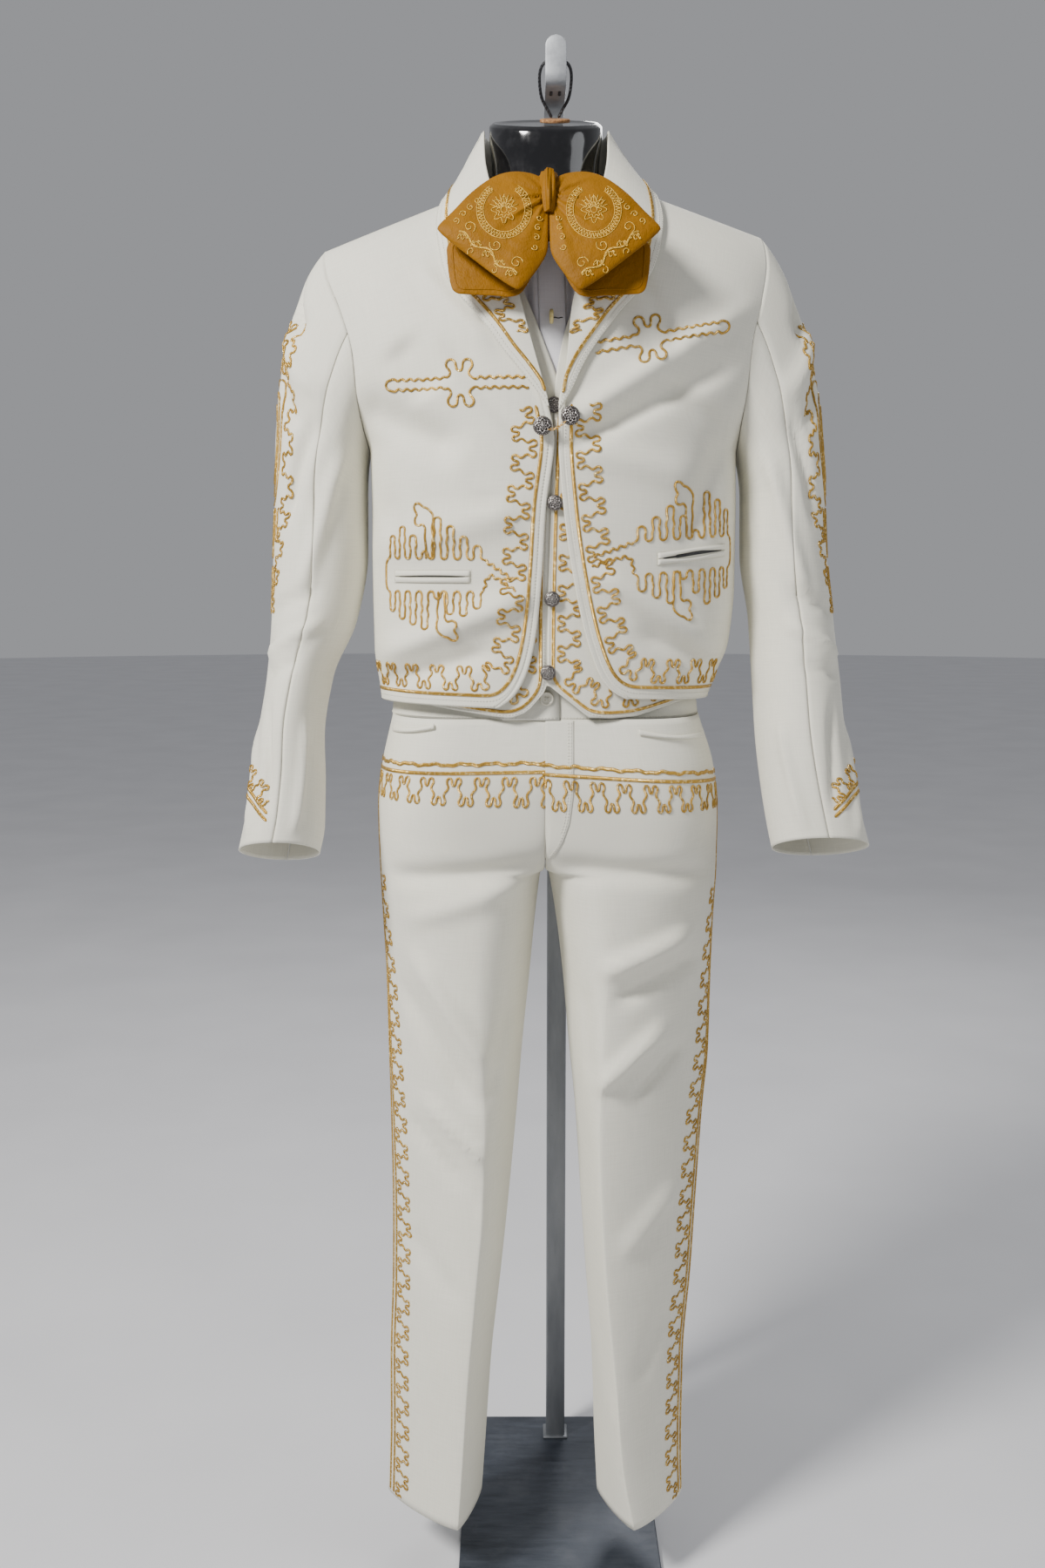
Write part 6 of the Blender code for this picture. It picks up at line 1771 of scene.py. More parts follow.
# ---- waistcoat and shirt ------------------------------------------------------------------------
def waistcoat_front(rows, columns, lap=0.0):
    """Waistcoat front: as the jacket's, set in; the lowest rows follow the pointed hem. With a lap, the
    edge goes on that far under the other front."""
    grid = []
    for i, (outer_z, outer_x, inner_z, inner_x) in enumerate(zip(*rows.values())):
        half = float(half_width(outer_x, outer_z, WAISTCOAT_IN))
        x = spread(outer_x, inner_x, max(half, abs(outer_x)), columns)
        x = np.concatenate([x[:-1], np.linspace(x[-2], x[-1] + lap, 6)[1:]])
        z = outer_z + (inner_z - outer_z) * (x - outer_x) / (inner_x - outer_x)
        hem = np.interp(x, WAISTCOAT_HEM["x"], WAISTCOAT_HEM["z"])
        blend = min(i / (2.0 * CAD_STEPS), 1.0)
        z = hem + blend * (z - hem)
        y = body_y(x, z, "front", WAISTCOAT_IN)
        y = y + (0.0018 * np.clip((x - inner_x + 0.003) / 0.003, 0, 1) if lap else 0.0009 * (x == x[-1]))
        grid.append(np.stack([x, y, z], -1))
    grid = np.array(grid)
    grid[:, 0, 1] -= SEAM
    grid[-1, :, 1] -= SEAM
    return grid


def make_waistcoat(sizes):
    chest = body_surface("front", WAISTCOAT_IN)
    flat = lambda x, z: np.stack([across_cloth(x, z, "front", WAISTCOAT_IN), z], -1)
    for side, table_rows, sign in (("left", WAISTCOAT_LEFT, -1.0), ("right", WAISTCOAT_RIGHT, 1.0)):
        rows = finer(table_rows)
        grid = waistcoat_front(rows, 52, 0.008 if side == "left" else 0.0)
        panel = cloth(f"waistcoat_front_{side}_cloth", grid, finish("ivory_gabardine"), "ivory_gabardine",
                      node=f"waistcoat_front_{side}")
        z = np.linspace(1.330, 1.060, 90)
        down = np.stack([np.interp(z, rows["inner_z"], rows["inner_x"]), z], -1)
        hem = np.stack([WAISTCOAT_HEM["x"], WAISTCOAT_HEM["z"]], -1)
        hem = hem[(hem[:, 0] * sign > 0) & (np.abs(hem[:, 0]) < 0.170)]
        hem = hem if sign > 0 else hem[::-1]
        outline = np.vstack([down, hem])
        edge = resample(flat(outline[:, 0], outline[:, 1]), 0.0015)
        inside = lambda distance: shifted_path(edge, sign * distance)
        thread = stitches(f"waistcoat_{side}_topstitch", on(chest, [inside(0.0020)], 0.0001),
                          finish("ivory_thread"), "ivory_gabardine")
        line = gold_lines(f"waistcoat_{side}_line", chest, [inside(0.0058)],
                          f"waistcoat_braid_{side}", 0.0034)
        reach = sizes.greca_reach * 0.92
        meander = gold_meander(f"waistcoat_{side}_greca", chest,
                               [greca(inside(0.0058 + 0.0045 + reach), sizes.greca_pitch, reach)])
        declare(grid)
    back = back_panel(44, finer(WAISTCOAT_LEFT), finer(WAISTCOAT_RIGHT), 5 * CAD_STEPS, 0.098, 1.515,
                      WAISTCOAT_BACK_IN)
    panel = cloth("waistcoat_back_cloth", back, finish("ivory_gabardine"),
                  "ivory_gabardine", node="waistcoat_back")
    declare(back)


SHIRT_FOLDS = table("x z to_x to_z width depth", [
    # the soft upright rucks beside the placket; a positive depth is a hollow
    (-0.022, 1.500, -0.014, 1.340, 0.0050, 0.0035),
    (-0.036, 1.500, -0.026, 1.360, 0.0060, -0.0015),
    (0.028, 1.500, 0.022, 1.350, 0.0045, 0.0025),
    (0.004, 1.400, 0.008, 1.350, 0.0060, -0.0010),
])


def make_shirt():
    white = finish("white_shirting")
    z = np.linspace(1.09, 1.505, 64)[:, None]
    x = np.linspace(-0.085, 0.085, 50)[None, :] * np.interp(z, (1.09, 1.40, 1.505), (1.0, 1.0, 0.60))
    y = body_y(x, z + 0 * x, "front", SHIRT_IN) + np.maximum(trough(x, z + 0 * x, SHIRT_FOLDS), -0.0004)
    front = np.stack([x, y, z + 0 * x], -1)
    panel = cloth("shirt_front_cloth", front, white, "white_shirting", node="shirt_front")
    z = np.linspace(1.345, 1.500, 60)[:, None]
    share = np.linspace(0, 1, 17)[None, :]
    x = -0.009 + 0.028 * share + 0 * z + 0.0012 * np.sin((z - 1.345) * 28.0)
    roll = 0.0008 * (np.exp(-((share / 0.05) ** 2)) + np.exp(-(((1 - share) / 0.05) ** 2)))
    y = body_y(x, z + 0 * x, "front", SHIRT_IN) - 0.0017 + roll - 0.0005 * np.sin(z * 90.0) * share
    band = np.stack([x, y, z + 0 * x], -1)
    placket = cloth("shirt_placket_cloth", band, white, "white_shirting", wall=0.0010, node="shirt_placket")
    surface = grid_surface(band, (0.0, 0.0))
    v = np.linspace(0.002, surface.length - 0.002, 80)
    runs = [np.stack([inset + 0 * v, v], -1) for inset in (0.0030, 0.0250)]
    thread = stitches("shirt_placket_stitches", on(surface, runs, 0.0001), white,
                      "white_shirting", 0.0022, 0.0015,
                      0.00022)
    middle_v = float(np.interp(1.427, band[:, 0, 2], surface.rise))
    # the buttonhole's slit as a dark thread: painted shade
    hole = np.stack([np.linspace(0.0150, 0.0245, 24), middle_v + 0.0004 * np.sin(np.linspace(0, 9, 24))], -1)
    buttonhole = trim("shirt_buttonhole_painted_shade", on(surface, [hole], 0.0001), THREAD_SECTION, 0.0011, 0.0004,
                      finish("dark_cord"), "white_shirting")
    declare(front)
    declare(band)
    make_shirt_button()


def make_shirt_button():
    """Seen on its edge: a dished disc with a rounded rim, set a little out from the shirt."""
    low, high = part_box("shirt_button")
    centre = np.array(((low.x + high.x) / 2 - FORM_X, (low.y + high.y) / 2 - FORM_Y, (low.z + high.z) / 2))
    centre[1] -= 0.0020
    radius = max((high.z - low.z) / 2, 0.0072)
    turn = np.linspace(0, 2 * math.pi, 40, endpoint=False)
    profile = np.array([(0.30, 0.0010), (0.62, 0.0012), (0.80, 0.0021), (0.93, 0.0019),
                        (1.0, 0.0007), (1.0, -0.0007),
                        (0.93, -0.0017), (0.50, -0.0022), (0.20, -0.0022)])
    rings = np.stack([profile[:, 1:] + 0 * turn, profile[:, :1] * radius * np.cos(turn),
                      profile[:, :1] * radius * np.sin(turn)], -1)
    solid_of_rings("shirt_button_bone", rings + centre, "bone_button", "bone_button", "shirt_button")


# ---- trousers -----------------------------------------------------------------------------------
def leg_row(outer, crease, inner, sharp, columns):
    """Half of a leg's section: a superellipse quarter from the side seam to the crease, and another on
    to the inseam or the centre seam. sharp is their exponent."""
    outer, crease, inner = (np.array(p, float) for p in (outer, crease, inner))
    angle = np.linspace(0, math.pi / 2, columns // 2 + 1)
    rising = np.sin(angle) ** (2 / sharp)
    falling = np.cos(angle) ** (2 / sharp)
    across = lambda end: np.stack([
        crease[0] + (end[0] - crease[0]) * falling,
        end[1] + (crease[1] - end[1]) * rising,
    ], -1)
    first, second = across(outer), across(inner)[::-1]
    flat = np.vstack([first, second[1:]])
    share = (flat[:, 0] - outer[0]) / (inner[0] - outer[0])
    z = outer[2] + (inner[2] - outer[2]) * share
    return np.column_stack([flat, z])


def leg_table(side, face):
    """Every section of one half leg: from the hem to the crotch, then on to the waist seam."""
    sign = -1.0 if side == "left" else 1.0
    shift = SEAM if face == "back" else -SEAM
    legs, rises = len(LEG["z"]), len(RISE["z"])
    both = lambda leg, rise: np.concatenate([leg * np.ones(legs), rise * np.ones(rises)])
    return {
        "outer_x": both(LEG[f"out_{side}"], RISE[f"out_{side}"]), "z": both(LEG["z"], RISE["z"]),
        "crease_x": both(LEG[f"crease_{side}"], sign * (0.0725 + 0.0015 * np.arange(rises))),
        "crease_y": both(LEG[face], RISE[face]),
        "inner_x": both(LEG[f"in_{side}"], sign * 0.0003), "inner_y": both(shift, RISE[f"seam_{face}"]),
        "inner_z": both(LEG["z"], RISE["seam_z"]), "sharp": both(LEG["sharp"], RISE["sharp"]),
    }


def trouser_panel(side, face, columns=44):
    """Front or back of one leg, from the hem up to the waist seam, with its creases as troughs that
    fade out at every seam."""
    shift = SEAM if face == "back" else -SEAM
    out = 1.0 if face == "back" else -1.0
    grid = np.array([
        leg_row((ox, shift, z), (cx, cy), (ix, iy, iz), sharp, columns)
        for ox, z, cx, cy, ix, iy, iz, sharp in zip(*finer(leg_table(side, face), 9).values())
    ])
    hollow = trough(grid[:, :, 0] * (1.0 if face == "front" else 0.96), grid[:, :, 2], LEG_FOLDS)
    columns_in = np.minimum(np.arange(grid.shape[1]), np.arange(grid.shape[1])[::-1])
    edge = np.clip(columns_in / 5.0, 0, 1)[None]
    top = np.clip((len(grid) - 1 - np.arange(len(grid))) / 20.0, 0, 1)[:, None]
    grid[:, :, 1] -= out * hollow * edge * top * (1.0 if face == "front" else 0.85)
    return grid


def waist_ring(z, inset=0.0, columns=32, start=0.0, stop=2 * math.pi):
    """Level rings just above the trousers' waist seam, from the same half-widths and depths."""
    angle = np.linspace(start, stop, columns)
    side, rear = np.sin(angle), -np.cos(angle)
    last = {c: RISE[c][-1] for c in RISE}
    half = np.where(side < 0, -last["out_left"], last["out_right"]) - inset
    depth = np.where(rear < 0, -last["front"], last["back"]) - inset
    power = 2 / 2.5
    return np.stack([half * np.sign(side) * np.abs(side) ** power,
                     depth * np.sign(rear) * np.abs(rear) ** power, z + 0 * side], -1)


def at_height(surface, u, z):
    """The v at which a surface is at height z, for each u, by three corrections."""
    v = surface.rise[-1] - (surface.first[-1, 2] - z)
    v = v + 0 * u
    for _ in range(3):
        v = v + (z - surface.at(u, v)[:, 2])
    return v


def make_trousers(sizes):
    cloth_finish = finish("trouser_gabardine")
    for side in ("left", "right"):
        for face in ("front", "back"):
            axis = (-0.1 if side == "left" else 0.1, 0.0)
            grid = trouser_panel(side, face)
            panel = cloth(f"trouser_{face}_{side}_cloth", grid, cloth_finish, "ivory_gabardine", axis=axis,
                          node=f"trouser_{face}_{side}")
            extra = make_leg_braid(side, face, grid, axis, sizes)
            declare(grid)
    lap = np.linspace(0.0012, -0.0012, 150)      # the end on the right lies over the other
    rings = np.array([waist_ring(WAIST_SEAM_Z - 0.0010 + t * (WAIST_TOP_Z - WAIST_SEAM_Z + 0.0010),
                                 lap - 0.0006 + 0.0040 * t, 150, -0.045, 2 * math.pi + 0.045)
                      for t in np.linspace(0, 1, 12)])
    band = cloth("trouser_waistband_cloth", rings, cloth_finish, "ivory_gabardine", node="trouser_waistband")
    round_band = grid_surface(rings.transpose(1, 0, 2), (0.0, 0.0))
    v = np.linspace(0.004, round_band.length - 0.004, 400)
    thread = stitches("trouser_waistband_stitches",
                      on(round_band, [np.stack([0.0022 + 0 * v, v], -1),
                                      np.stack([0.0365 + 0 * v, v], -1)], 0.0001),
                      finish("ivory_thread"), "ivory_gabardine")
    declare(rings)
    make_fly()
    make_trouser_pockets()
    make_waist_button()


FLY_PROUD = 0.0013                  # how far the fly stands off the right front
FLY_REACH = 0.0330                  # how far from the centre the hip band stays lifted over it
HIP_BAND_Z = {"left": 0.9600, "right": 0.9450}    # height of the band at each side seam
HIP_CENTRE_Z = 0.9650
SIDE_LINES = (0.0080, 0.0160)       # the two lines beside a side seam, from the seam


def make_leg_braid(side, face, grid, axis, sizes):
    """Hip band: a wavy line, a straight line and a greca; side seam: two lines and a greca. On the right
    front the hip band passes over the fly."""
    surface = grid_surface(grid, axis)
    hip_surface = surface
    if (side, face) == ("right", "front"):
        over_fly = grid.copy()
        over_fly[..., 1] -= (FLY_PROUD - 0.0001) * np.clip((FLY_REACH - grid[..., 0]) / 0.003, 0, 1)
        hip_surface = grid_surface(over_fly, axis)
    hip_z = HIP_BAND_Z[side]
    u = np.linspace(0.004, float(surface.width[-60]) - 0.001, 170)
    share = u / u[-1]
    line_z = hip_z + (HIP_CENTRE_Z - hip_z) * share
    v = at_height(surface, u, line_z)
    hip = np.stack([u, v], -1)
    wave = np.stack([u, v + 0.0088 + 0.0009 * np.sin(u * 2 * math.pi / 0.031)
                     + 0.0006 * np.sin(u * 2 * math.pi / 0.013)], -1)
    seam_v = np.linspace(0.004, float(np.interp(hip_z - 0.004, surface.first[:, 2], surface.rise)), 500)
    side_line = lambda inside: np.stack([inside + 0 * seam_v, seam_v], -1)
    hip_node = "trouser_hip_braid" if (side, face) == ("left", "front") else None
    lines = gold_lines(f"trouser_hip_lines_{face}_{side}", hip_surface, [hip, wave], hip_node, 0.0040)
    hip_reach = sizes.greca_reach * 1.02
    hip_base = hip - (0, 0.0045 + hip_reach)
    hip_greca = gold_meander(f"trouser_hip_greca_{face}_{side}", hip_surface,
                             [greca(hip_base, sizes.greca_pitch * 0.88, hip_reach)])
    node = f"trouser_side_braid_{side}" if face == "front" else None
    seam_lines = gold_lines(f"trouser_side_lines_{face}_{side}", surface,
                            [side_line(inside) for inside in SIDE_LINES], node,
                            0.0032)
    reach = sizes.greca_reach * 0.95
    below = seam_v < float(np.interp(hip_z - 0.120, surface.first[:, 2], surface.rise))
    seam_greca = gold_meander(f"trouser_side_greca_{face}_{side}", surface,
                              [greca(side_line(SIDE_LINES[1] + 0.0045 + reach)[below], sizes.greca_pitch, reach)])
    return [lines, hip_greca, seam_lines, seam_greca]


def trouser_front_y(x, z):
    """Depth of the trouser fronts between the crotch and the waist seam."""
    out = np.where(np.asarray(x) < 0, -np.interp(z, RISE["z"], RISE["out_left"]),
                   np.interp(z, RISE["z"], RISE["out_right"]))
    depth = -np.interp(z, RISE["z"], RISE["front"])
    crease = 0.078
    reach = np.clip((np.abs(x) - crease) / (out - crease), 0, 1)
    return -depth * (1 - reach**2.6) ** (1 / 2.6)


def panel_depth(grid, x, z):
    """Depth of a panel at x and z, for a grid whose rows go up and run towards smaller x."""
    x, z = np.broadcast_arrays(x, z)
    near = grid[(grid[:, -1, 2] > 0.840) & (grid[:, -1, 2] < 1.040), ::-1]
    found = []
    for at_x, at_z in zip(x.ravel(), z.ravel()):
        across = [(np.interp(at_x, row[:, 0], row[:, 2]), np.interp(at_x, row[:, 0], row[:, 1]))
                  for row in near]
        found.append(np.interp(at_z, *np.array(across).T))
    return np.array(found).reshape(x.shape)


def make_fly():
    """The fly's facing on the right front, along the front seam, and its J of stitches."""
    front = trouser_panel("right", "front")
    z = np.linspace(0.868, 1.0175, 64)
    width = np.interp(z, (0.868, 0.876, 0.890, 0.910, 0.940, 1.0175),
                      (0.003, 0.010, 0.018, 0.025, 0.029, 0.029))
    grid = np.array([
        np.stack([share * (width + 0.0010) - 0.0004,
                  panel_depth(front, share * (width + 0.0010) - 0.0004, z)
                  - FLY_PROUD + 0.0008 * (share > 0.97), z], -1)
        for share in (0.0, 0.03, 0.15, 0.3, 0.45, 0.6, 0.75, 0.88, 0.97, 1.0)
    ])
    fly = cloth("trouser_fly_cloth", grid, finish("trouser_gabardine"), "ivory_gabardine", wall=0.0010,
                node="trouser_fly")
    lay = Surface(lambda u, v: np.stack([u, panel_depth(front, u, v) - FLY_PROUD, v + 0 * u], -1))
    bend_z = np.linspace(1.0165, 0.8720, 120)
    inner = np.interp(bend_z, z, width) - 0.0035 + 0.0010
    j_line = np.stack([np.maximum(inner, 0.0010), bend_z], -1)
    rows = [soften(resample(j_line, 0.001), 4), soften(resample(j_line - (0.0028, 0), 0.001), 4)[:118]]
    thread = stitches("trouser_fly_stitches", on(lay, rows, 0.0001),
                      finish("ivory_thread"), "ivory_gabardine")
    declare(grid)


POCKETS = {"left": (-0.166, 1.0075, -0.118, 1.0145), "right": (0.098, 1.0085, 0.171, 1.0010)}


def make_trouser_pockets():
    """Slanted pocket mouths: a folded lip that stands off the hip, with a row of stitches."""
    for side, (x0, z0, x1, z1) in POCKETS.items():
        x, z = np.linspace(x0, x1, 48), np.linspace(z0, z1, 48)
        share = np.linspace(0, 1, 48)
        sag = 0.0030 * np.sin(math.pi * share)
        rows = []
        for t in np.linspace(0, 1, 10):
            fold = 0.0010 * math.sin(math.pi * t)
            rows.append(np.stack([x, trouser_front_y(x, z - 0.005 + 0.005 * t) - 0.0024 - fold
                                  - 0.0004 * sag / 0.003,
                                  z - 0.0055 + 0.0055 * t - sag * (0.4 + 0.6 * t)], -1))
        grid = np.array(rows)
        cloth(f"trouser_pocket_{side}_cloth", grid, finish("trouser_gabardine"), "ivory_gabardine",
                    node=f"trouser_pocket_{side}")
        surface = grid_surface(grid.transpose(1, 0, 2), (0.0, 0.0))
        v = np.linspace(0.002, surface.length - 0.002, 60)
        stitches(f"trouser_pocket_{side}_stitches", on(surface, [np.stack([0.0016 + 0 * v, v], -1)], 0.0002),
                          finish("ivory_thread"), "ivory_gabardine", 0.0026, 0.0018, 0.00035)


def make_waist_button():
    """A sewn four-hole button: dished face, round rim, four sunk holes and crossed thread."""
    low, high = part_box("trouser_waist_button")
    centre = np.array(((low.x + high.x) / 2 - FORM_X, high.y - FORM_Y, (low.z + high.z) / 2))
    radius, thick = (high.x - low.x) / 2, high.y - low.y
    turn = np.linspace(0, 2 * math.pi, 64, endpoint=False)
    r = np.concatenate([np.linspace(0.04, 0.66, 18), np.linspace(0.70, 1.0, 12)])
    face = np.interp(r, (0, 0.60, 0.70, 0.84, 0.95, 1.0),
                     (0.62, 0.62, 0.80, 1.0, 0.86, 0.45))[:, None] + 0 * turn
    across, up = r[:, None] * np.sin(turn), r[:, None] * np.cos(turn)
    for hx, hz in ((-0.19, -0.19), (0.19, -0.19), (-0.19, 0.19), (0.19, 0.19)):
        face = face - 0.42 * np.exp(-(((across - hx) ** 2 + (up - hz) ** 2) / 0.085**2) ** 2)
    rings = np.stack([across * radius, -face * thick, up * radius], -1)
    back = np.stack([np.sin(turn) * radius * 0.96, 0 * turn - 0.0002, np.cos(turn) * radius * 0.96], -1)
    solid_of_rings("trouser_waist_button_cream", np.concatenate([rings, back[None]]) + centre, "cream_button",
                   "bone_button", "trouser_waist_button")
    reach = 0.19 * radius
    laid = []
    for sign in (-1, 1):
        path = np.stack([np.linspace(-reach, reach, 9), 0 * np.linspace(0, 1, 9) - thick * 0.72,
                         sign * np.linspace(-reach, reach, 9)], -1) + centre
        laid.append((path, np.tile((0.0, -1.0, 0.0), (9, 1))))
    trim("trouser_waist_button_thread", laid, THREAD_SECTION, 0.0009, 0.0005, finish("ivory_thread"),
         "ivory_gabardine")


# ---- buttons and chain --------------------------------------------------------------------------
def filigree_button(name, node, height_share=1.0):
    """A domed cast button: a beaded rim, a ring of looped petals, an eight-armed star and a bead."""
    low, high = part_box(node)
    centre = np.array(((low.x + high.x) / 2 - FORM_X, high.y - FORM_Y, (low.z + high.z) / 2))
    radius, height = (high.x - low.x) / 2, (high.y - low.y) * height_share
    turn = np.linspace(0, 2 * math.pi, 112, endpoint=False)
    r = np.linspace(0.03, 1.0, 44)[:, None]
    bell = lambda x, at, wide: np.exp(-(((x - at) / wide) ** 2))
    beads = bell(r, 0.925, 0.050) * (0.55 + 0.45 * np.cos(28 * turn))
    petals = (bell(r, 0.66 + 0.075 * np.cos(8 * turn), 0.045)
              + 0.8 * bell(r, 0.60, 0.12) * bell(np.cos(4 * turn), 0, 0.16))
    star = bell(r, 0.30 + 0.10 * np.cos(8 * turn + 0.4), 0.045)
    wire = 0.7 * bell(r, 0.80, 0.022) + 0.7 * bell(r, 0.46, 0.022)
    bead = 1.1 * bell(r, 0.0, 0.12)
    relief = np.clip(beads + petals + star + wire + bead, 0, 1.2)
    crown = height * (0.42 + 0.58 * np.sqrt(np.clip(1 - (0.96 * r) ** 2, 0, 1)))
    out = crown + 0.00042 * (relief - 0.4) * (radius / 0.0095) + 0 * turn
    front = np.stack([r * radius * np.sin(turn), -out, r * radius * np.cos(turn)], -1)
    rim = [np.stack([s * radius * np.sin(turn), -d + 0 * turn, s * radius * np.cos(turn)], -1)
           for s, d in ((1.015, height * 0.36), (1.0, height * 0.24), (0.90, height * 0.12), (0.5, 0.0002))]
    relief = np.concatenate([relief, np.full((1, len(turn)), 0.8), np.full((3, len(turn)), 0.3)])
    return solid_of_rings(name, np.concatenate([front, np.array(rim)]) + centre,
                          "antique_silver", "antique_silver",
                          node, {"relief": relief})


def make_chain():
    """The chain that joins the jacket's buttons: open oval links, each a quarter turn from the last."""
    spots = [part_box(f"jacket_button_{side}") for side in ("left", "right")]
    ends = [np.array(((low.x + high.x) / 2 - FORM_X, high.y - FORM_Y - 0.0028, (low.z + high.z) / 2 + rise))
            for (low, high), rise in zip(spots, (-0.001, 0.001))]
    share = np.linspace(0, 1, 160)
    line = ends[0] + share[:, None] * (ends[1] - ends[0])
    line[:, 2] -= 0.0075 * 4 * share * (1 - share)
    line[:, 1] -= 0.0012 * 4 * share * (1 - share)
    run = run_of(line)
    pitch, half_long, half_wide = 0.0030, 0.0021, 0.00135
    at = np.arange(pitch / 2, run[-1], pitch)
    centres = np.stack([np.interp(at, run, c) for c in line.T], -1)
    tangents = unit(np.stack([np.interp(at, run, c) for c in np.gradient(line, axis=0).T], -1))
    turn = np.linspace(0, 2 * math.pi, 20)
    laid = []
    for i, (centre, tangent) in enumerate(zip(centres, tangents)):
        flat = unit(np.cross(tangent, np.array((0.0, -1.0, 0.0))))
        out = np.cross(flat, tangent)
        lean = 0.35 if i % 2 else 1.22
        wide = flat * math.cos(lean) + out * math.sin(lean)
        path = centre + half_long * np.cos(turn)[:, None] * tangent + half_wide * np.sin(turn)[:, None] * wide
        laid.append((path, np.tile(unit(np.cross(tangent, wide)), (len(turn), 1))))
    points, faces, uv = carried([p for p, _ in laid], [n for _, n in laid],
                                CORD_SECTION * 0.00042, taper=False)
    mesh = mesh_of("jacket_chain_links", shifted(points), faces, uv)
    piece("jacket_chain_links", mesh, finish("gilt_chain"), "jacket_button_chain", "gilt_chain")
    tidy_normals(mesh)


def make_buttons():
    for side in ("left", "right"):
        filigree_button(f"jacket_button_{side}_silver", f"jacket_button_{side}")
    make_chain()
    for i in range(1, 5):
        filigree_button(f"waistcoat_button_{i}_silver", f"waistcoat_button_{i}")


# ---- bow ----------------------------------------------------------------------------------------
UPPER_WING = table("x z", [
    (0.0010, 1.5500), (0.0070, 1.5590), (0.0200, 1.5645), (0.0380, 1.5655),
    (0.0560, 1.5595), (0.0760, 1.5445),
    (0.0950, 1.5240), (0.1085, 1.5095), (0.1080, 1.5035), (0.0950, 1.4915),
    (0.0750, 1.4755), (0.0520, 1.4575),
    (0.0350, 1.4462), (0.0285, 1.4452), (0.0195, 1.4540), (0.0080, 1.4700),
    (0.0018, 1.4830), (0.0006, 1.5000),
    (0.0004, 1.5250),
])
UNDER_WING = table("x z", [
    (0.0120, 1.5300), (0.0300, 1.5360), (0.0560, 1.5280), (0.0860, 1.5100),
    (0.1000, 1.4960), (0.1010, 1.4820),
    (0.0975, 1.4560), (0.0920, 1.4460), (0.0780, 1.4440), (0.0560, 1.4430),
    (0.0360, 1.4420), (0.0240, 1.4500),
    (0.0100, 1.4800), (0.0080, 1.5100),
])


def round_outline(outline, side, count=120):
    """A closed smooth curve through the outline, as (x, z)."""
    points = np.stack([outline["x"] * side + 0.0015, outline["z"]], -1)
    ring = smooth_rows(np.concatenate([points[-2:], points, points[:3]])[:, None], 16)[32:-32, 0]
    run = run_of(ring)
    at = np.linspace(0, run[-1], count, endpoint=False)
    return np.stack([np.interp(at, run, c) for c in ring.T], -1)


class Wing:
    """A padded loop of the bow. Its thickness is thick times (1 - r^2.6)^0.55, where r runs from 0 in
    the middle to 1 on the rim. Gathers are ridges that leave the knot and fade outwards."""

    def __init__(self, outline, side, front_y, slope, thick, gathers, pull):
        self.rim = round_outline(outline, side)
        self.side, self.front_y, self.slope, self.thick = side, front_y, slope, thick
        self.gathers, self.pull = gathers, pull
        self.middle = self.rim.mean(axis=0)
        away = self.rim - self.middle
        angle = np.arctan2(away[:, 1], away[:, 0])
        order = np.argsort(angle)
        self.angles = np.concatenate([angle[order] - 2 * math.pi, angle[order], angle[order] + 2 * math.pi])
        self.reach = np.tile(np.linalg.norm(away, axis=1)[order], 3)

    def depth(self, x, z, out):
        dx, dz = x - self.middle[0], z - self.middle[1]
        share = np.hypot(dx, dz) / np.interp(np.arctan2(dz, dx), self.angles, self.reach)
        share = np.clip(share, 0, 1)
        puff = self.thick * (1 - share**2.6) ** 0.55
        knot_x, knot_z = 0.0015, 1.5400
        from_knot = np.hypot(x - knot_x, z - knot_z)
        bearing = np.arctan2(z - knot_z, (x - knot_x) * self.side)
        fade = np.exp(-from_knot / self.pull) * np.clip(from_knot / 0.010, 0, 1)
        ridge = 1.6 - 2.6 * np.abs(
            np.sin(0.5 * self.gathers * bearing + 0.35 * self.side + 6.0 * from_knot)) ** 0.7
        ridge = ridge + 0.4 * np.cos(self.gathers * 2.3 * bearing + 1.0)
        ripple = 0.0016 * np.sin(from_knot * 95.0 + bearing * 3.0 + self.side) * share**2 * (1 - share**6)
        soft = (0.0011 * np.sin(x * 170.0 + z * 90.0 + 2.0 * np.sin(z * 110.0))
                * np.cos(z * 210.0 - x * 60.0 * self.side))
        swell = (puff * (0.5 + 0.5 * out * out)
                 + (0.0070 * ridge * fade + ripple + soft) * np.sqrt(1 - share**2.6))
        return self.front_y - (1.55 - z) * self.slope + out * np.maximum(swell, 0)

    def place(self, x, z, out=-0.5):
        return np.stack([x, self.depth(x, z, out), z + 0 * x], -1)

    def rings(self):
        """Rings from the middle of the front, over the rim and back to the middle of the back."""
        shares = 1 - (1 - np.linspace(0, 1, 30)) ** 1.7
        front = [self.middle + (self.rim - self.middle) * s for s in shares[1:]]
        rings = [self.place(p[:, 0], p[:, 1], -0.5) for p in front]
        rings += [self.place(p[:, 0], p[:, 1], 0.5) for p in front[-2::-1]]
        return np.array(rings)

    def surface(self):
        return Surface(lambda u, v: self.place(u, v), (0.0, 0.0))

    def inside(self, distance):
        """The rim, drawn in by a distance, as a flat path."""
        away = self.rim - self.middle
        return self.middle + away * (1 - distance / np.linalg.norm(away, axis=1, keepdims=True))


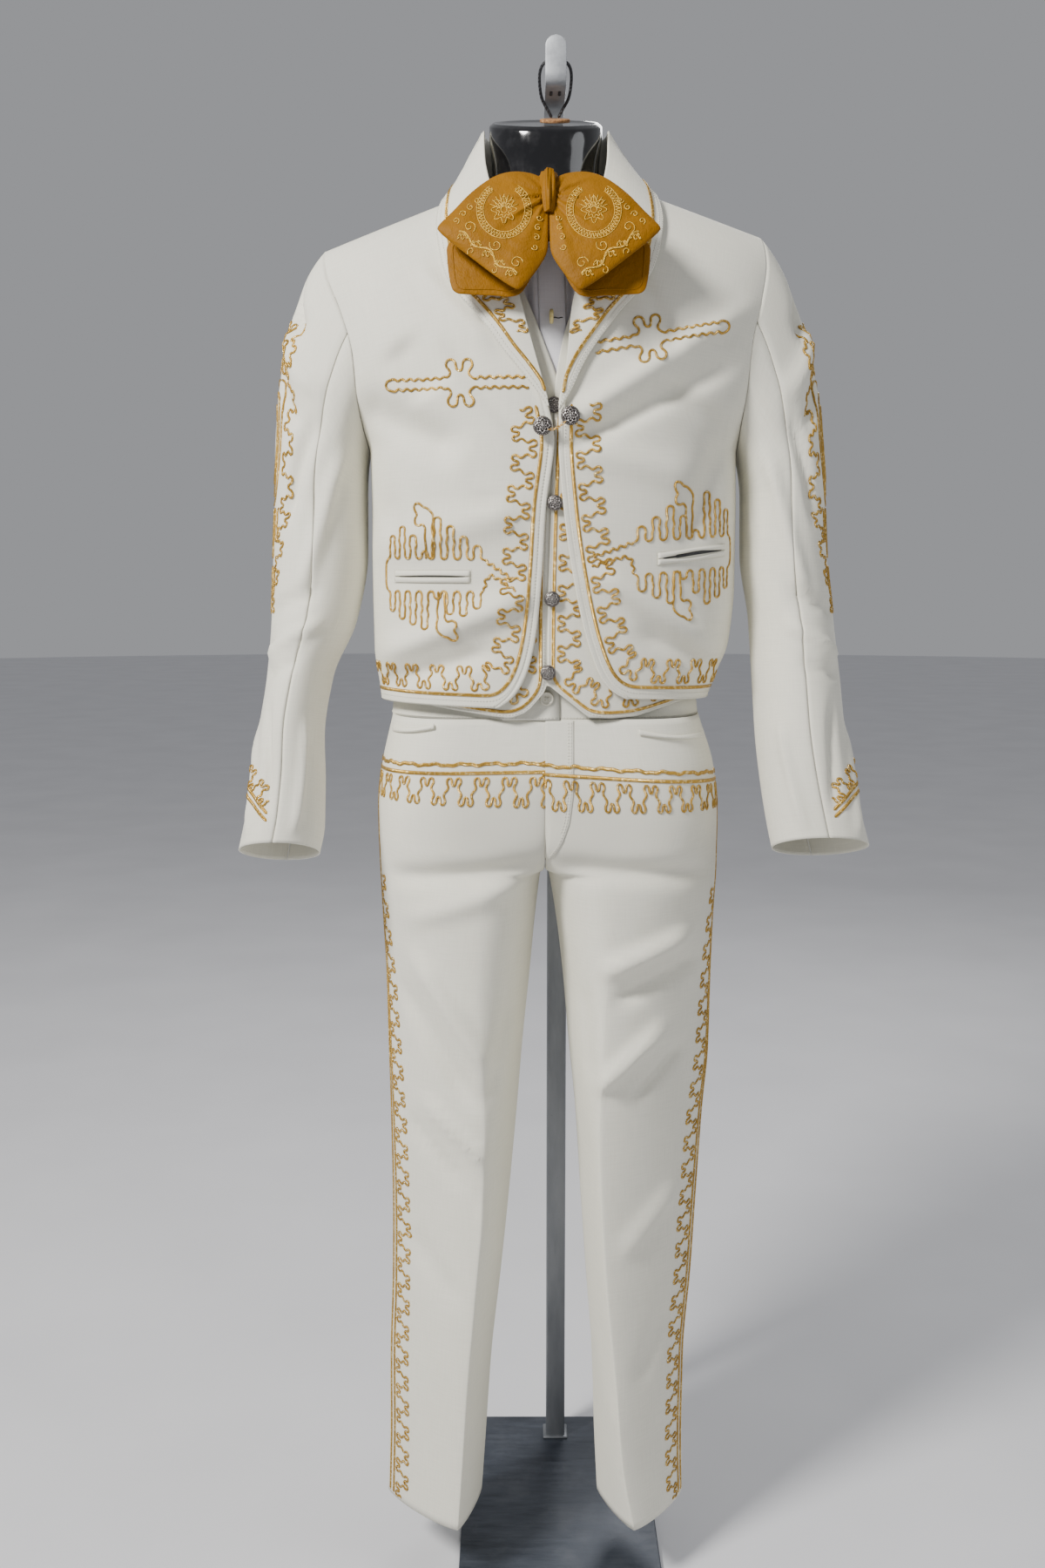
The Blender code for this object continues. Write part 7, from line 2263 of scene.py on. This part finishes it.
def make_bow():
    for side, sign in (("left", -1.0), ("right", 1.0)):
        upper = Wing(UPPER_WING, sign, -0.126, 0.40, 0.027, 11.0, 0.030)
        under = Wing(UNDER_WING, sign, -0.100, 0.40, 0.016, 8.0, 0.045)
        for level, wing in (("upper", upper), ("under", under)):
            obj = solid_of_rings(f"bow_wing_{level}_{side}_satin", wing.rings(),
                                 "caramel_satin", "caramel_satin",
                                 f"bow_wing_{level}_{side}")
        make_bow_embroidery(side, sign, upper)
        hem = under.inside(0.006)
        hem = hem[hem[:, 1] < 1.500]
        laid = on(under.surface(), [resample(hem, 0.0015)], 0.0001)
        trim(f"bow_under_hem_{side}", laid, CORD_SECTION, 0.0013, 0.0005,
             finish("caramel_satin"), "caramel_satin")
    make_knot()
    make_neck_band()


def scroll(centre, radius, turns, start, way=1.0):
    """A spiral tendril about its centre."""
    share = np.linspace(0, 1, 46)
    angle = start + way * share * turns * 2 * math.pi
    size = radius * (1 - 0.82 * share)
    return np.stack([centre[0] + size * np.cos(angle), centre[1] + size * np.sin(angle)], -1)


def make_bow_embroidery(side, sign, wing):
    """A generic figure: an oval wreath round an eight-petalled rosette, and vine scrolls with round
    leaves along the lower edges."""
    surface = wing.surface()
    centre = np.array((0.0015 + sign * 0.0440, 1.5240))
    turn = np.linspace(0, 2 * math.pi, 100)

    def oval(wide, tall, waves=0, size=0.0, start=0.0, stop=2 * math.pi, count=100):
        angle = np.linspace(start, stop, count)
        wave = size * np.cos(waves * angle)
        return centre + np.stack([(wide + wave) * np.sin(angle) * sign, -(tall + wave) * np.cos(angle)], -1)

    band = (-2.62, 2.62)
    ring = [oval(0.0236, 0.0262, 50, 0.0023, *band, 400)]
    figure = [oval(0.0268, 0.0294, 0, 0.0, *band), oval(0.0203, 0.0229, 0, 0.0, *band),
              oval(0.0100, 0.0115, 8, 0.0026), oval(0.0060, 0.0070, 8, 0.0015), oval(0.0030, 0.0034)]
    for k in range(9):
        lean = -1.2 + 0.3 * k
        figure.append(centre + np.stack([np.linspace(0.003, 0.0150, 14) * math.sin(lean) * sign,
                                         np.linspace(0.003, 0.0165, 14) * math.cos(lean)], -1))
    vines = []
    lower = wing.inside(0.0120)
    lower = lower[np.argsort(lower[:, 0] * sign)]
    lower = lower[(lower[:, 1] < 1.500) & ((lower[:, 0] - 0.0015) * sign > 0.030)]
    stem = resample(soften(resample(lower, 0.001), 4, 3), 0.001)
    run = run_of(stem)
    normal = unit(np.stack([-np.gradient(stem[:, 1]), np.gradient(stem[:, 0])], -1)) * sign
    waved = stem + (0.0030 * np.sin(run * 2 * math.pi / 0.030) + 0.0016)[:, None] * normal
    vines.append(waved)
    vines.append(waved + 0.0009 * normal)
    for i, at in enumerate(np.arange(0.007, run[-1] - 0.003, 0.0150)):
        spot = np.array([np.interp(at, run, c) for c in waved.T])
        lean = np.array([np.interp(at, run, c) for c in normal.T])
        flip = 1.0 if i % 2 == 0 else -0.7
        vines.append(scroll(spot + flip * lean * 0.0078, 0.0064 if flip > 0 else 0.0040, 1.25, 1.3 * i, flip))
        for k in (-1, 0, 1):
            leaf = spot - flip * lean * 0.0040 + np.array((k * 0.0036, 0.0008 * k * k))
            vines.append(np.stack([leaf[0] + 0.0026 * np.cos(turn[::8] + k) * 0.6,
                                   leaf[1] + 0.0026 * np.sin(turn[::8])], -1))
    for i in range(4):
        spot = np.array((0.0015 + sign * (0.0700 + 0.0070 * i), 1.5340 - 0.0070 * i))
        vines.append(scroll(spot, 0.0036, 1.2, i * 1.7, 1.0 if i % 2 else -1.0))
        spot = np.array((0.0015 + sign * (0.0095 + 0.0015 * i), 1.5160 - 0.0100 * i))
        vines.append(scroll(spot, 0.0034, 1.2, i * 1.1, 1.0 if i % 2 else -1.0))
    for label, paths, wide, tall in (("ring", ring, 0.0011, 0.0007), ("figure", figure, 0.0010, 0.0006),
                                     ("vine", vines, 0.0011, 0.0007)):
        laid = on(surface, paths, 0.0001)
        trim(f"bow_{label}_{side}", laid, CORD_SECTION, wide, tall,
             finish("gold_embroidery"), "caramel_satin")


def make_knot():
    """The knot: a barrel of gathered satin whose pleats run down it and pinch at both ends."""
    turn = np.linspace(0, 2 * math.pi, 96, endpoint=False)
    rings = []
    for z in np.linspace(1.5230, 1.5660, 40):
        share = (z - 1.5230) / 0.0430
        half = 0.0098 * (0.60 + 0.40 * math.sin(math.pi * min(max(share, 0.02), 0.98)) ** 0.5)
        half *= 0.82 + 0.36 * share
        pleat = 0.0011 * np.cos(9 * turn + 2.2 * share) + 0.0006 * np.cos(17 * turn - 3.0 * share)
        x = 0.0015 + (half + pleat) * np.sin(turn)
        depth = 0.0195 + half + pleat
        y = -0.110 - (1.55 - z) * 0.40 - depth * np.cos(turn)
        rings.append(np.stack([x, y, z + 0.0008 * np.cos(3 * turn)], -1))
    obj = solid_of_rings("bow_knot_satin", np.array(rings), "caramel_satin", "caramel_satin", "bow_knot")


def make_neck_band():
    angle = np.linspace(0, 2 * math.pi, 145)
    rows = []
    for t in np.linspace(0, 1, 8):
        z = 1.5680 + 0.0110 * t
        swell = 0.0007 * math.sin(math.pi * t)
        depth = 0.0625 + swell
        rows.append(np.stack([(0.0630 + swell) * np.sin(angle), -depth * np.cos(angle),
                              z - 0.1 * depth * np.cos(angle)], -1))
    grid = np.array(rows)
    mesh_grid = grid[:, :-1]
    band = cloth("bow_neck_band_satin", mesh_grid, finish("caramel_satin"), "caramel_satin", closed=True,
                 node="bow_neck_band")
    declare(grid)


# ---- the add-on ---------------------------------------------------------------------------------
class CharroSizes(bpy.types.PropertyGroup):
    greca_pitch: FloatProperty(name="Meander pitch", description="Length of one unit of the braid meander",
                               default=0.032, min=0.02, max=0.08, unit="LENGTH")
    greca_reach: FloatProperty(name="Meander reach", description="Half of the width of the braid meander",
                               default=0.0125, min=0.005, max=0.03, unit="LENGTH")
    lens: FloatProperty(name="Lens", description="Focal length of the camera, in millimetres", default=35.0,
                        min=18.0, max=120.0)
    fill: FloatProperty(name="Fill light", description="Strength of the studio's even light", default=0.52,
                        min=0.0, max=3.0)


class CharroColours(bpy.types.PropertyGroup):
    cloth: FloatVectorProperty(name="Cloth", description="Base colour of the suit cloth",
                               subtype="COLOR", size=3,
                               default=(0.82, 0.80, 0.69), min=0.0, max=1.0)
    shirt: FloatVectorProperty(name="Shirt", description="Base colour of the shirt", subtype="COLOR", size=3,
                               default=(0.80, 0.79, 0.83), min=0.0, max=1.0)
    gold: FloatVectorProperty(name="Gold braid",
                              description="Base colour of the metallic braid", subtype="COLOR",
                              size=3, default=(0.62, 0.37, 0.07), min=0.0, max=1.0)
    # the colour of the braid's painted glints
    gold_painted_glint: FloatVectorProperty(name="Gold glint", description="Colour of the braid's bright threads",
                                    subtype="COLOR", size=3, default=(1.0, 0.78, 0.36), min=0.0, max=1.0)
    bow: FloatVectorProperty(name="Bow", description="Base colour of the satin bow", subtype="COLOR", size=3,
                             default=(0.275, 0.116, 0.004), min=0.0, max=1.0)


class StageOperator(bpy.types.Operator):
    """Add the floor, the camera and the lights"""
    bl_idname = "charro.stage"
    bl_label = "Stage"

    def execute(self, context):
        make_stage(context.scene.charro_sizes)
        return {"FINISHED"}


class StandOperator(bpy.types.Operator):
    """Add the stand with its hook, the torso form and the hanging loop"""
    bl_idname = "charro.stand"
    bl_label = "Stand and form"

    def execute(self, context):
        make_stand()
        make_form()
        return {"FINISHED"}


class JacketOperator(bpy.types.Operator):
    """Add the jacket's fronts, back, lapels, collar and pockets with their braid"""
    bl_idname = "charro.jacket"
    bl_label = "Jacket"

    def execute(self, context):
        make_jacket(context.scene.charro_sizes)
        return {"FINISHED"}


class SleevesOperator(bpy.types.Operator):
    """Add the jacket's two-piece sleeves with their braid"""
    bl_idname = "charro.sleeves"
    bl_label = "Sleeves"

    def execute(self, context):
        make_sleeves(context.scene.charro_sizes)
        return {"FINISHED"}


class WaistcoatOperator(bpy.types.Operator):
    """Add the waistcoat with its braid"""
    bl_idname = "charro.waistcoat"
    bl_label = "Waistcoat"

    def execute(self, context):
        make_waistcoat(context.scene.charro_sizes)
        return {"FINISHED"}


class ShirtOperator(bpy.types.Operator):
    """Add the shirt front, its placket and its button"""
    bl_idname = "charro.shirt"
    bl_label = "Shirt front"

    def execute(self, context):
        make_shirt()
        return {"FINISHED"}


class BowOperator(bpy.types.Operator):
    """Add the padded satin bow, its knot and its neck band"""
    bl_idname = "charro.bow"
    bl_label = "Bow"

    def execute(self, context):
        make_bow()
        return {"FINISHED"}


class TrousersOperator(bpy.types.Operator):
    """Add the trousers with their waistband, fly, pockets, button and braid"""
    bl_idname = "charro.trousers"
    bl_label = "Trousers"

    def execute(self, context):
        make_trousers(context.scene.charro_sizes)
        return {"FINISHED"}


class ButtonsOperator(bpy.types.Operator):
    """Add the silver filigree buttons and the chain"""
    bl_idname = "charro.buttons"
    bl_label = "Buttons and chain"

    def execute(self, context):
        make_buttons()
        return {"FINISHED"}


STEPS = (StageOperator, StandOperator, ShirtOperator, WaistcoatOperator, JacketOperator, SleevesOperator,
         TrousersOperator, BowOperator, ButtonsOperator)


class CharroPanel(bpy.types.Panel):
    bl_idname = "VIEW3D_PT_charro_suit"
    bl_label = "Charro Suit"
    bl_space_type = "VIEW_3D"
    bl_region_type = "UI"
    bl_category = "Charro Suit"

    def draw(self, context):
        column = self.layout.column()
        for group in (context.scene.charro_sizes, context.scene.charro_colours):
            for name in group.__annotations__:
                column.prop(group, name)
        for step in STEPS:
            column.operator(step.bl_idname)


CLASSES = (CharroSizes, CharroColours, *STEPS, CharroPanel)


def register():
    for item in CLASSES:
        bpy.utils.register_class(item)
    bpy.types.Scene.charro_sizes = PointerProperty(type=CharroSizes)
    bpy.types.Scene.charro_colours = PointerProperty(type=CharroColours)


def unregister():
    del bpy.types.Scene.charro_colours
    del bpy.types.Scene.charro_sizes
    for item in reversed(CLASSES):
        bpy.utils.unregister_class(item)


def main():
    register()
    for step in STEPS:
        group, name = step.bl_idname.split(".")
        getattr(getattr(bpy.ops, group), name)()
    plain = lambda box: [[round(float(c), 5) for c in corner] for corner in box]
    {"before": plain(CAD_BOX), "after": plain(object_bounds())}


if __name__ == "__main__":
    main()
